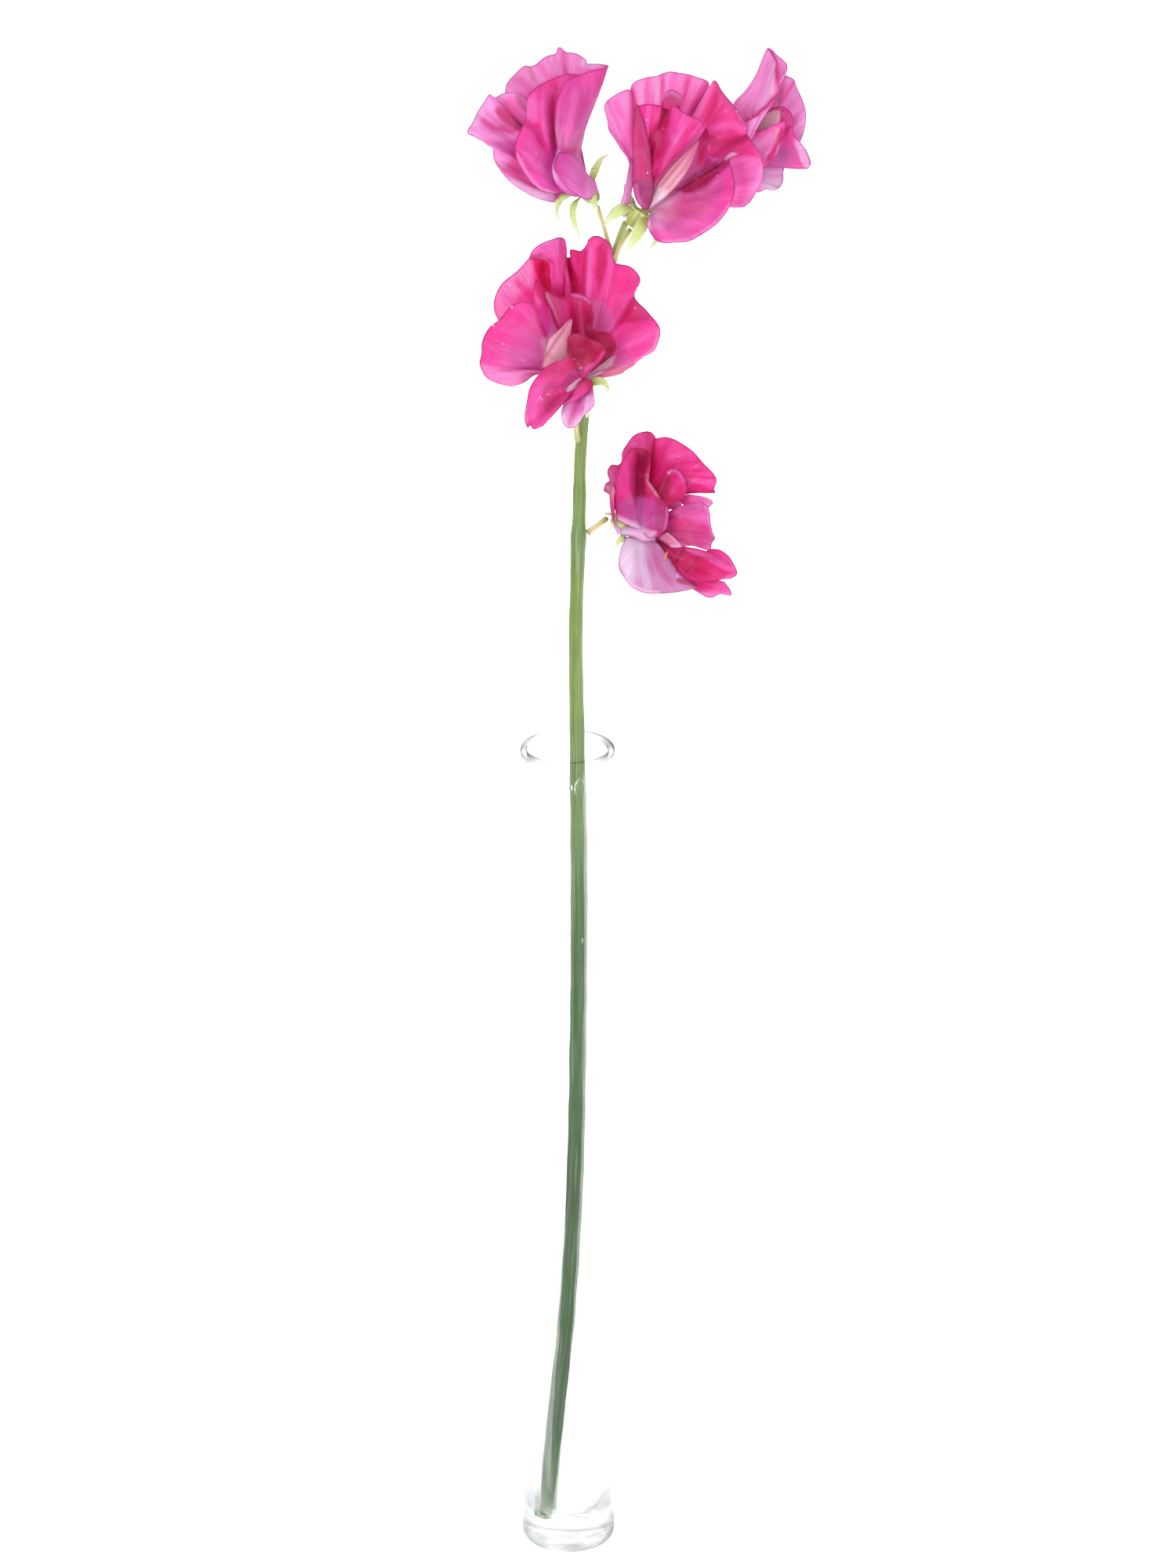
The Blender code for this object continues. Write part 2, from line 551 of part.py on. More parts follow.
    add_pod("front_keel", [(2.6, 0.6, 2.0)], [
        [(4.6, 6.5, 4.0), (8.4, 12.0, 5.2), (12.0, 15.6, 5.8), (15.8, 19.2, 6.2)],
        [(5.4, 6.0, 4.0), (9.4, 11.4, 5.2), (13.0, 15.4, 5.8), (16.0, 18.8, 6.2)],
        [(6.4, 5.2, 4.0), (10.8, 10.2, 5.2), (13.6, 14.2, 5.8), (15.9, 18.0, 6.2)],
        [(7.4, 4.2, 4.0), (11.6, 8.8, 5.2), (14.2, 13.0, 5.8), (15.8, 17.2, 6.2)],
    ], CREAM, 0.5, 2)


def add_back_bloom():
    """Top bloom at the back, half hidden behind the front one and turned to the right."""
    add_stalk("back_stalk", [
        (-31.2, -8.6, 8.0, 0.8),
        (-28.0, -7.2, 7.2, 0.7),
        (-20.0, -5.2, 5.0, 0.6),
        (-13.0, -3.4, 2.6, 0.6),
        (-8.9, -1.9, 1.3, 0.8),
    ])
    add_cup("back_cup", (-7.8, -1.4, 1.0), (-4.6, 1.6, 0.0), 2.5, [
        [(-6.6, 4.4, 0.2), (-8.0, 6.4, 0.4), (-8.6, 9.0, 0.4)],
        [(-4.0, 2.6, 3.4), (-3.2, 5.0, 4.6), (-1.8, 7.4, 5.0)],
        [(-1.8, -0.6, 1.2), (-0.6, -3.0, 1.4), (-1.6, -6.0, 1.4)],
        [(-3.2, 0.0, -3.0), (-2.4, -2.6, -4.4), (-3.4, -5.4, -5.0)],
        [(-5.8, 3.2, -3.2), (-6.2, 5.8, -5.0), (-6.0, 8.6, -6.0)],
    ])
    add_petal("back_standard", [(-3.8, 2.6, 1.5), (-5.0, 3.4, 0.0), (-3.8, 2.2, -2.0)], [
        (-0.3, 16.3, 5.0, 1.4, 1.0),
        (2.8, 18.0, 6.0, 1.4, 1.0),
        (4.5, 19.8, 6.0, 1.4, 1.0),
        (6.0, 21.5, 6.0, 1.4, 1.0),
        (7.2, 23.5, 6.0, 1.4, 1.0),
        (8.0, 26.0, 5.5, 1.4, 1.0),
        (8.2, 29.0, 4.5, 0.4, 0.4),
        (7.8, 32.0, 3.0, 0.4, 0.4),
        [
            (-6.0, 8.0, 1.0), (-5.6, 14.0, 1.6), (-3.3, 21.3, 2.0),
            (0.0, 24.6, 2.0), (3.5, 30.5, 1.4), (5.8, 35.1, 0.5),
        ],
        [(-4.8, 10.0, -3.4), (-2.4, 19.0, -4.2), (2.0, 27.0, -3.6), (6.8, 35.1, -1.6)],
        (8.2, 33.7, -2.0, -2.6, -2.2),
        (9.8, 32.3, -2.5, -2.6, -2.2),
        (11.0, 30.6, -3.0, -2.6, -2.2),
        (10.1, 28.8, -5.0, -2.6, -2.2),
        (12.4, 27.5, -4.4, -2.6, -2.2),
        (13.3, 25.2, -5.0, -2.6, -2.2),
        (14.8, 22.0, -5.0, -2.6, -2.2),
        (15.7, 19.0, -5.0, -2.6, -2.2),
        (15.6, 16.0, -5.0, -2.6, -2.2),
        (14.6, 12.0, -5.2, -2.6, -2.2),
        (12.4, 7.0, -5.4, -2.2, -1.8),
        (9.9, 3.6, -5.0, -1.8, -1.6),
        (9.6, 0.4, -4.2, -1.0, -0.8),
        (8.2, -1.5, -4.0, -0.8, -0.6),
        (6.0, -1.4, -4.4, -0.8, -0.6),
        (3.0, -2.5, -4.0, -0.6, -0.4),
    ], PALE_PINK)
    add_petal("back_wing_near", [(-2.6, 3.6, 0.4)], [
        (4.6, 4.2, 3.2, 0.4, 0.8),
        (6.3, 5.8, 3.6, 0.4, 0.8),
        (8.0, 8.2, 3.4, 0.4, 0.8),
        (9.0, 11.0, 3.0, 0.4, 0.6),
        (9.8, 13.6, 2.6, 0.4, 0.4),
        (10.0, 16.2, 2.4, 0.4, 0.4),
        (7.0, 15.5, 2.6, 0.3, 0.3),
        (4.5, 14.2, 2.4, 0.2, 0.2),
        (1.4, 14.0, 2.2, 0.0, 0.0),
    ], PINK)
    add_petal("back_wing_far", [(-2.2, 4.6, -1.6)], [
        (4.0, 18.6, -2.0, -0.4, -0.6),
        (7.0, 20.0, -1.8, -0.4, -0.8),
        (9.2, 20.3, -1.6, -0.4, -1.0),
        (11.2, 19.0, -1.4, -0.4, -1.2),
        (12.3, 16.5, -1.2, -0.4, -1.4),
        (12.4, 13.4, -1.0, -0.4, -1.6),
        (14.3, 10.3, -0.2, 0.0, -1.6),
        (15.7, 8.4, 0.2, 0.0, -1.4),
        (16.8, 5.2, 0.6, 0.0, -1.0),
        (15.8, 3.9, 0.8, 0.0, -0.8),
    ], PINK)
    add_pod("back_keel", [(-1.6, 6.0, -0.8)], [
        (4.0, 17.8, -0.2, 0.2, 0.3),
        (6.4, 19.2, -0.1, 0.2, 0.3),
        (8.6, 19.4, 0.0, 0.2, 0.3),
        (8.8, 17.4, 0.0, 0.2, 0.3),
        (8.0, 14.8, 0.0, 0.2, 0.3),
        (6.0, 12.2, -0.1, 0.2, 0.3),
    ], CREAM, 0.45)


def add_middle_bloom():
    """Middle bloom, seen face on, with its banner spread behind the wings."""
    add_stalk("middle_stalk", [
        (-1.0, -17.0, -14.2, 0.85),
        (-1.4, -14.6, -11.2, 0.7),
        (-1.4, -11.8, -7.6, 0.65),
        (-1.2, -9.5, -5.0, 0.75),
    ])
    add_cup("middle_cup", (-1.0, -8.0, -4.2), (-0.2, -2.4, -1.7), 2.8, [
        [(-3.6, -4.0, -0.6), (-4.8, -4.8, -0.2), (-5.6, -6.0, 0.0)],
        [(2.6, -2.4, -2.0), (4.6, -1.2, -1.8), (6.4, -1.8, -1.6), (7.0, -4.8, -1.4)],
        [(-3.0, -1.4, -4.2), (-4.6, 0.8, -6.6), (-5.4, 3.2, -7.6)],
        [(1.2, -0.4, -4.8), (1.6, 1.8, -7.4), (1.2, 4.4, -8.6)],
        [(0.9, -5.0, 0.7), (1.6, -8.0, 0.2), (1.4, -10.8, -0.8)],
    ])
    add_petal("middle_standard", [(0.0, -0.9, -3.0)], [
        (-9.0, 5.0, -5.6, -0.4, -0.4),
        (-17.0, 10.0, -6.2, -0.6, -1.0),
        (-22.0, 15.0, -6.2, -0.6, -0.4),
        (-23.2, 19.0, -5.2, -0.6, 0.0),
        (-21.3, 24.0, -4.6, -0.6, 0.4),
        (-17.0, 27.8, -4.4, -0.6, 0.4),
        (-14.0, 31.0, -4.6, -0.6, -0.6),
        (-11.8, 33.8, -2.6, -0.8, -3.4),
        (-8.8, 35.6, -2.0, -0.8, -2.4),
        (-5.3, 36.5, -2.6, -0.6, 0.8),
        (-4.3, 33.5, -4.2, -0.6, 0.2),
        (-3.3, 31.3, -5.6, -0.6, -0.8),
        (-2.8, 33.4, -4.6, -0.6, -0.6),
        (0.0, 33.1, -4.4, -0.6, -1.0),
        (1.3, 35.8, -2.8, -0.2, 1.0),
        (4.0, 37.0, -2.4, -0.2, 1.0),
        (8.2, 33.8, -3.6, -0.6, 0.0),
        (8.5, 30.2, -4.4, -0.6, -0.7),
        (13.0, 28.8, -3.4, -0.6, -0.2),
        (15.3, 26.0, -3.4, -0.4, 0.6),
        (14.0, 21.0, -5.0, -0.4, -0.8),
        (17.5, 17.0, -4.0, -0.4, 0.0),
        (20.8, 12.0, -2.0, 0.4, 1.6),
        (19.0, 7.0, -1.4, 0.6, 2.0),
        (14.0, 3.2, -2.2, 0.6, 1.4),
        (10.0, 0.9, -3.6, 0.2, 0.4),
        (4.0, -1.6, -4.4, 0.0, 0.0),
    ], MAGENTA)
    add_petal("middle_wing_left", [(-1.5, -0.6, -2.0)], [
        [(-7.5, 0.0, 0.2), (-12.3, 0.2, 1.9), (-15.0, -1.6, 3.2), (-18.3, -2.6, 2.8)],
        [(-7.5, 0.3, 0.3), (-12.8, 0.8, 2.2), (-17.5, -0.8, 4.0), (-22.0, -1.9, 3.0)],
        [(-7.5, 0.7, 0.4), (-13.4, 1.5, 2.6), (-19.5, 0.9, 4.4), (-25.0, -0.2, 2.6)],
        (-26.8, 3.3, 2.4, 0.6, 1.6),
        (-26.3, 6.0, 2.8, 0.6, 1.6),
        (-26.2, 9.0, 3.0, 0.6, 1.6),
        (-24.3, 12.8, 2.6, 0.6, 1.4),
        (-21.5, 15.0, 2.2, 0.6, 1.2),
        (-19.0, 18.0, 2.0, 0.4, 1.0),
        (-16.0, 19.7, 2.0, 0.4, 0.8),
        (-13.0, 19.2, 1.0, 0.2, 0.4),
        (-12.0, 25.6, -0.6, 0.0, 0.0),
        (-9.8, 21.0, -1.2, 0.0, 0.0),
        (-7.4, 14.0, -1.6, 0.0, 0.0),
    ], PINK)
    add_petal("middle_wing_right", [(0.8, -0.2, -2.0)], [
        (-6.9, 15.2, -0.3, 0.0, 0.0),
        (-8.4, 19.0, 0.0, 0.0, 0.0),
        (-9.6, 22.3, 0.2, 0.0, 0.2),
        (-7.0, 21.3, 0.6, 0.0, 0.2),
        (-4.7, 20.2, 1.0, 0.0, 0.0),
        (-3.3, 21.5, 2.2, -0.2, -1.4),
        (-1.8, 21.9, 2.8, -0.2, -1.8),
        (0.5, 21.2, 2.8, -0.2, -1.8),
        (2.6, 19.7, 2.4, -0.2, -1.6),
        (2.9, 17.0, 1.8, -0.2, -1.2),
        (2.4, 13.2, 2.2, -0.2, -1.0),
        (4.0, 11.8, 2.6, -0.2, -1.0),
        (6.3, 11.6, 3.0, -0.4, -1.4),
        (8.3, 10.5, 3.0, -0.4, -1.6),
        (9.2, 8.5, 2.8, -0.4, -1.6),
        (9.0, 7.0, 2.2, -0.4, -1.2),
        (8.0, 5.6, 1.2, -0.2, -0.6),
    ], CRIMSON)
    add_pod("middle_keel", [(-0.5, -0.5, 0.3)], [
        [(-8.0, 2.2, 3.2), (-10.6, 2.2, 3.4)],
        [(-7.4, 3.4, 3.2), (-10.2, 4.6, 3.6)],
        [(-6.6, 5.0, 3.4), (-9.4, 7.6, 3.8)],
        [(-5.8, 6.0, 3.4), (-8.4, 10.2, 4.0)],
        [(-4.8, 7.4, 3.4), (-6.0, 12.2, 4.0)],
        [(-4.0, 8.0, 3.4), (-2.6, 15.2, 4.2)],
        [(-3.6, 7.0, 3.2), (-3.2, 10.0, 3.6)],
    ], CREAM, 0.4)
    add_petal("middle_lower_petal", [(0.0, -1.6, 1.2)], [
        (-10.0, -13.1, 6.4, 2.0, 1.6),
        (-12.8, -13.8, 6.6, 1.6, 1.4),
        (-13.4, -12.9, 6.6, 0.3, 0.8),
        (-14.1, -13.5, 6.6, 0.3, 0.8),
        (-14.9, -11.8, 6.4, 0.3, 0.8),
        (-14.8, -9.2, 6.4, 0.3, 0.8),
        (-14.2, -6.0, 6.4, 0.3, 0.8),
        (-13.6, -3.0, 6.4, 0.3, 0.8),
        (-12.3, -0.7, 6.4, 0.4, 0.8),
        (-10.0, 1.5, 6.6, 0.5, 0.8),
        (-7.4, 3.6, 6.8, 0.6, 0.8),
        (-5.0, 4.6, 7.0, 0.6, 0.8),
        (-3.5, 5.8, 7.0, 0.2, 0.2),
        (-3.5, 8.2, 7.4, -0.4, -1.2),
        (-2.8, 10.3, 7.8, -0.8, -1.8),
        (0.0, 10.8, 8.0, -1.0, -2.2),
        (2.7, 10.0, 8.0, -1.0, -2.2),
        (4.8, 8.8, 7.4, -1.0, -2.0),
        (6.0, 7.0, 6.4, -0.6, -1.4),
        (5.2, 4.6, 5.0, -0.2, -0.4),
    ], CRIMSON)
    add_petal("middle_small_petal", [(1.9, -1.9, 0.6)], [
        [(-1.0, -3.3, 1.9), (-3.5, -5.0, 2.5), (-4.9, -7.0, 2.8)],
        (-5.3, -9.5, 3.4, 0.4, 0.8),
        (-5.0, -12.0, 3.4, 0.4, 0.8),
        (-4.0, -13.4, 3.4, 0.4, 0.8),
        (-2.3, -13.6, 3.4, 0.4, 0.8),
        (-0.8, -12.5, 3.4, 0.4, 0.8),
        (0.2, -11.0, 3.4, 0.4, 0.8),
        (1.3, -9.5, 3.2, 0.4, 0.6),
        (2.7, -8.4, 3.0, 0.3, 0.6),
        (3.4, -7.0, 2.6, 0.3, 0.4),
        (3.3, -5.2, 2.2, 0.2, 0.2),
        (2.9, -3.4, 1.8, 0.1, 0.1),
    ], LILAC)


def add_low_bloom():
    """Lowest bloom, reaching out to the right, with its pale keel hanging open."""
    add_stalk("low_stalk", [
        (-9.1, -1.9, 1.6, 0.95),
        (-7.6, -0.8, 1.2, 0.75),
        (-5.6, 0.7, 0.2, 0.72),
        (-4.0, 1.9, -1.0, 0.8),
    ])
    add_cup("low_cup", (-2.4, 1.9, -2.0), (2.2, -0.6, -0.8), 2.3, [
        [(0.6, -2.8, 0.6), (-0.9, -4.2, 1.2), (-1.8, -5.8, 1.4)],
        [(3.4, -3.0, -2.2), (4.6, -4.8, -4.0), (4.6, -7.6, -5.2)],
        [(0.4, 0.6, 2.0), (-1.4, 0.6, 2.6), (-3.4, -0.2, 2.4)],
        [(3.0, 1.2, -4.6), (3.2, 3.4, -7.6), (2.6, 6.0, -9.6)],
        [(0.8, 1.8, -4.2), (-1.4, 3.0, -5.2), (-4.6, 3.2, -4.6)],
    ])
    add_petal("low_standard", [(4.6, 1.6, -2.2)], [
        [(1.0, 4.6, -4.6), (-2.0, 7.4, -5.8), (-4.9, 9.3, -6.0)],
        (-4.4, 11.2, -6.6, -1.0, -0.6),
        (-3.4, 12.0, -6.8, -1.0, -0.6),
        (-4.0, 13.6, -6.2, -1.0, -0.6),
        (-3.6, 15.3, -6.0, -1.0, -0.6),
        (-2.4, 16.3, -6.0, -1.0, -0.6),
        (-1.0, 16.2, -5.4, -1.0, -0.6),
        (-0.5, 17.2, -3.4, -1.0, -0.8),
        (0.2, 19.8, -1.8, -1.0, -1.0),
        (1.3, 22.0, -1.6, -1.0, -1.4),
        (2.6, 23.6, -1.4, -1.0, -1.6),
        (4.6, 24.6, -1.0, -1.0, -1.6),
        (6.9, 25.1, -0.6, -0.8, -1.0),
        (8.3, 24.6, -1.4, -0.6, -0.6),
        (8.8, 23.1, -3.4, -0.6, -0.6),
        (10.0, 23.3, -2.8, -0.4, -0.2),
        (11.5, 23.7, -2.0, -0.2, 0.2),
        (14.0, 23.0, -1.6, 0.0, 0.4),
        (16.5, 21.6, -1.4, 0.0, 0.4),
        (19.2, 19.6, -0.8, 0.0, 0.6),
        (21.8, 16.6, -0.4, 0.0, 0.6),
        [(9.6, 5.9, -1.7), (17.0, 10.4, -0.2), (24.5, 13.8, 0.0)],
        [(9.7, 5.7, -1.7), (17.0, 9.6, -0.3), (25.3, 12.0, -0.4)],
        [(9.7, 5.5, -1.8), (17.0, 8.9, -0.4), (24.6, 9.8, 0.0)],
        [(9.6, 5.3, -1.8), (16.8, 8.2, -0.6), (25.0, 8.7, 0.0)],
    ], MAGENTA)
    add_petal("low_wing_near", [(5.0, -1.4, 2.0)], [
        (-1.3, 1.5, 3.2, 0.4, 0.6),
        (-1.9, 5.0, 3.8, 0.8, 0.8),
        (-2.2, 9.0, 4.0, 1.0, 0.8),
        (-1.6, 12.3, 3.8, 1.0, 0.6),
        (-0.4, 15.2, 3.8, 1.0, 0.2),
        (0.8, 18.5, 3.6, 0.8, -1.0),
        (2.0, 20.4, 3.4, 0.6, -2.0),
        (4.2, 20.6, 3.2, 0.6, -2.4),
        (6.4, 20.4, 3.2, 0.6, -2.2),
        (7.8, 19.4, 3.8, 0.8, -1.4),
        (7.8, 17.8, 4.2, 1.0, -0.6),
        (6.8, 15.0, 4.8, 1.0, 0.2),
        (6.8, 12.8, 5.2, 1.0, 0.6),
        (8.2, 10.6, 5.2, 0.8, 0.6),
        (10.2, 7.8, 5.2, 0.6, 0.6),
        (12.3, 5.0, 5.0, 0.4, 0.6),
        (12.4, 2.0, 4.6, 0.4, 0.4),
        (11.8, -0.8, 4.0, 0.2, 0.2),
        (10.0, -2.7, 3.4, 0.1, 0.1),
        (7.2, -3.3, 2.8, 0.0, 0.0),
    ], MAGENTA)
    add_petal("low_wing_far", [(6.2, -0.6, 1.1)], [
        (14.6, 5.4, 1.4, 0.1, 0.2),
        (19.0, 5.8, 1.8, 0.1, 0.3),
        (21.0, 6.2, 2.0, 0.1, 0.3),
        (22.6, 5.4, 2.4, 0.1, 0.3),
        (23.4, 3.5, 2.6, 0.1, 0.3),
        (23.6, 1.0, 2.6, 0.1, 0.3),
        (24.2, -1.8, 2.6, 0.1, 0.3),
        (24.8, -3.3, 2.6, 0.1, 0.3),
        (23.9, -4.8, 2.6, 0.1, 0.3),
        (23.7, -6.2, 2.6, 0.1, 0.3),
        (22.3, -6.4, 2.4, 0.1, 0.3),
        (20.3, -5.6, 2.2, 0.1, 0.2),
        (17.6, -5.4, 2.0, 0.0, 0.1),
        (15.4, -5.9, 1.8, 0.0, 0.0),
        (13.0, -5.8, 1.6, 0.0, 0.0),
        (11.0, -4.2, 1.2, 0.0, 0.0),
    ], PINK)
    add_petal("low_curled_lobe", [(6.6, 1.2, 1.8)], [
        (11.6, 12.4, 1.2, 0.0, 0.0),
        (12.4, 14.6, 1.6, 0.0, -0.2),
        (14.0, 15.3, 2.0, 0.0, -0.6),
        (15.6, 14.3, 2.4, 0.0, -0.8),
        (16.9, 12.0, 2.8, 0.0, -0.8),
        (17.3, 10.0, 2.8, 0.0, -0.6),
        (16.8, 8.2, 2.4, 0.0, -0.4),
        (15.4, 7.2, 2.0, 0.0, 0.0),
    ], CRIMSON)
    add_pod("low_keel", [(5.4, -3.2, 0.6)], [
        (1.2, -3.0, 1.2, 0.0, 0.0),
        (-0.3, -6.2, 1.4, 0.2, 0.2),
        (-0.9, -11.0, 1.6, 0.4, 0.4),
        (0.2, -13.3, 1.6, 0.4, 0.4),
        (2.6, -16.3, 1.6, 0.4, 0.4),
        (6.0, -17.9, 1.6, 0.4, 0.4),
        (10.0, -18.1, 1.6, 0.4, 0.4),
        [(9.4, -10.0, 1.4), (13.0, -15.4, 1.6), (16.0, -17.5, 1.6)],
        [(9.8, -8.6, 1.2), (14.4, -14.4, 1.6), (20.2, -16.2, 1.6)],
        [(9.6, -6.0, 1.0), (12.4, -9.6, 1.2), (16.0, -14.4, 1.6)],
        [(8.8, -4.4, 0.8), (10.6, -7.0, 1.0), (12.4, -9.4, 1.2)],
    ], LILAC, 1.1)
    add_petal("low_under_wing", [(9.3, -2.9, 0.0), (8.9, -3.1, -0.4), (8.4, -3.2, -0.8)], [
        [
            (10.9, -4.2, -0.4), (14.0, -5.8, -0.6), (17.0, -5.6, -0.2), (20.0, -6.1, 0.0),
            (22.0, -6.9, -0.2), (24.0, -6.2, 0.0), (26.0, -6.3, 0.0),
        ],
        [
            (10.8, -4.3, -0.4), (13.7, -6.3, -0.6), (17.2, -6.6, -0.2),
            (21.5, -7.8, 0.0), (25.0, -7.3, 0.2), (28.0, -7.5, 0.0),
        ],
        [(10.7, -4.4, -0.5), (13.4, -6.8, -0.6), (18.0, -8.2, 0.0), (24.0, -8.9, 0.3), (29.5, -9.5, 0.0)],
        [(10.6, -4.6, -0.6), (13.3, -7.2, -0.6), (19.0, -9.6, 0.2), (25.0, -11.2, 0.4), (30.8, -12.8, 0.0)],
        [(10.5, -4.7, -0.7), (13.1, -7.5, -0.7), (19.0, -10.8, 0.1), (24.5, -12.8, 0.3), (29.5, -14.0, -0.2)],
        [(10.4, -4.8, -0.8), (13.0, -7.8, -0.8), (18.4, -11.8, 0.0), (23.0, -13.7, 0.2), (27.0, -14.6, -0.4)],
        [(10.3, -4.9, -0.8), (12.9, -8.1, -1.0), (17.5, -12.6, -0.4), (22.0, -15.0, -0.8)],
        [(10.2, -5.0, -0.9), (12.8, -8.5, -1.2), (18.5, -14.6, -1.2)],
        [(9.9, -5.4, -1.2), (12.0, -8.8, -1.7), (15.4, -13.0, -1.8)],
        [(9.5, -5.6, -1.4), (11.0, -7.7, -2.0), (12.6, -9.8, -2.4)],
    ], CRIMSON, rows=9)
    add_petal("low_tail_petal", [(14.6, -12.4, -3.0)], [
        (18.6, -16.8, -1.8, 0.0, 0.0),
        (21.0, -18.2, -1.4, 0.0, 0.0),
        (22.6, -19.0, -1.2, 0.0, 0.0),
        (24.5, -19.0, -1.4, 0.0, 0.0),
        (26.0, -18.3, -1.6, 0.0, 0.0),
        (29.2, -18.6, -1.4, 0.0, 0.0),
        (28.9, -17.0, -1.6, 0.0, 0.0),
        (27.4, -14.8, -2.2, 0.0, 0.0),
    ], PINK)
    places = to_world("low", [(11.2, -9.0, 2.9), (11.7, -7.9, 2.6), (12.0, -6.9, 2.4)])
    add_tube("low_stamen", np.column_stack([places, [0.3, 0.28, 0.35]]), FILAMENT_ORANGE, 1, 1)


def main():
    """Builds the vase, the stem and the five blooms."""
    for item in list(bpy.data.objects):
        bpy.data.objects.remove(item, do_unlink=True)
    add_vase()
    add_tube("stem", STEM_ROUTE, STEM_GREEN, 2, 2)
    add_left_bloom()
    add_front_bloom()
    add_back_bloom()
    add_middle_bloom()
    add_low_bloom()


main()
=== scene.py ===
"""The looks of a cut sweet pea stem with five blooms, standing in a slim clear glass tube.

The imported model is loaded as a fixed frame, in metres.  Sizes below are in millimetres and
become metres when a mesh is made.  A bloom is drawn in a frame of its own: (right, up,
forward), measured from the mouth of its green cup, with the whole frame leaning back a
little.  A petal is a fan of ribs that start at its claw.  A straight rib is a tuple of five
numbers: the place of its tip, then how far it swells forward at a third and at two thirds of
its length.  A bent rib is a list of the points it runs through.
"""

import logging
import math
from collections.abc import Callable
from dataclasses import dataclass, field
from enum import Enum

import bpy
import numpy as np

from mathutils import Euler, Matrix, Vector


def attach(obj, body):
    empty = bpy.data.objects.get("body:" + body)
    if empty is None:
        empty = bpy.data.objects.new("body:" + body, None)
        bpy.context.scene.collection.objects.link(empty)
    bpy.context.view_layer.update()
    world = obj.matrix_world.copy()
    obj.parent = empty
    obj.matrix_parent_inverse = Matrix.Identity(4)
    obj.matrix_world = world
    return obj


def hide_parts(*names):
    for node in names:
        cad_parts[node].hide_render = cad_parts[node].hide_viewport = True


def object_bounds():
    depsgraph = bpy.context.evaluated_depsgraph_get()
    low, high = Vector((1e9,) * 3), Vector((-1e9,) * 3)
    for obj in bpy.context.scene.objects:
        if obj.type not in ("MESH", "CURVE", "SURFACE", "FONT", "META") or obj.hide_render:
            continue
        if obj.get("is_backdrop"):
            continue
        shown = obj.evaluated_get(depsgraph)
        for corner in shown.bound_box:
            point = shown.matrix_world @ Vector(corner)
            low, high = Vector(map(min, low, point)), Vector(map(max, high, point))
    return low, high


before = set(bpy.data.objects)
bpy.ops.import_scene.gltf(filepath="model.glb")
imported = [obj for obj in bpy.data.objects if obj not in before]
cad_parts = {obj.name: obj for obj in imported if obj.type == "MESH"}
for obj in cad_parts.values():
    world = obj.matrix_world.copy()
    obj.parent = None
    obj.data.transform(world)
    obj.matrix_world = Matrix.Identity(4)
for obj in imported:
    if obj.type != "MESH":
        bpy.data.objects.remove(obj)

LOG = logging.getLogger("sweet_pea")
MM = 0.001

Spot = tuple[float, float]
Point = tuple[float, float, float]
Rib = tuple[float, float, float, float, float] | list[Point]
Range = tuple[float, float]
Colour = tuple[float, float, float, float]

ALL_RIBS: Range = (-9.0, 99.0)
WHITE: Colour = (1.0, 1.0, 1.0, 1.0)
# Grey of the painted shade on the glass.
SHADE_GREY: Colour = (0.30, 0.31, 0.32, 1.0)
TABLE_WHITE: Colour = (0.93, 0.93, 0.93, 1.0)


class Tone(Enum):
    """The colours of petals, greens and studio, as red, green and blue from 0 to 255."""

    WHITE = (252, 240, 249)
    LILAC = (242, 200, 234)
    SHELL = (254, 168, 226)
    ROSE = (251, 118, 202)
    ORCHID = (226, 116, 190)
    PINK = (247, 76, 170)
    HOT = (247, 36, 146)
    MAGENTA = (226, 22, 125)
    CRIMSON = (205, 7, 92)
    RUBY = (178, 0, 72)
    WINE = (160, 4, 76)
    DUSK = (206, 66, 128)
    PLUM = (166, 44, 108)
    VIOLET = (203, 14, 142)
    CLAY = (220, 134, 160)
    BLUSH = (236, 168, 184)
    CREAM = (240, 184, 192)
    IVORY = (232, 206, 206)
    PEARL = (222, 216, 230)
    PINE = (34, 70, 24)
    FOREST = (58, 92, 42)
    MOSS = (106, 130, 76)
    STALK = (114, 138, 66)
    STEM = (134, 156, 92)
    SPRIG = (156, 172, 102)
    LIME = (202, 214, 140)
    STRAW = (216, 200, 146)
    BARK = (138, 88, 62)
    PALM = (160, 164, 84)
    AMBER = (232, 128, 84)
    MINT = (228, 234, 200)
    ROSEWOOD = (232, 66, 150)
    PLUMBERRY = (182, 28, 108)
    VIOLETTE = (190, 72, 152)
    MAUVE = (208, 152, 192)
    MALLOW = (246, 158, 216)
    FUCHSIA = (224, 66, 168)
    HEATHER = (186, 124, 172)
    ROSEWINE = (206, 36, 108)
    HOTROSE = (238, 0, 96)
    DUSKROSE = (198, 66, 134)

    @property
    def linear(self) -> np.ndarray:
        """The tone in the renderer's own linear scale."""
        share = np.array(self.value) / 255
        return np.where(share <= 0.04045, share / 12.92, ((share + 0.055) / 1.055) ** 2.4)


def ease(low: float, high: float, value: np.ndarray) -> np.ndarray:
    """A smooth step.

    Args:
        low: Where the step leaves 0.
        high: Where it reaches 1.
        value: The numbers to read it at.

    Returns:
        The step at each number.
    """
    t = np.clip((value - low) / (high - low), 0.0, 1.0)
    return t * t * (3 - 2 * t)


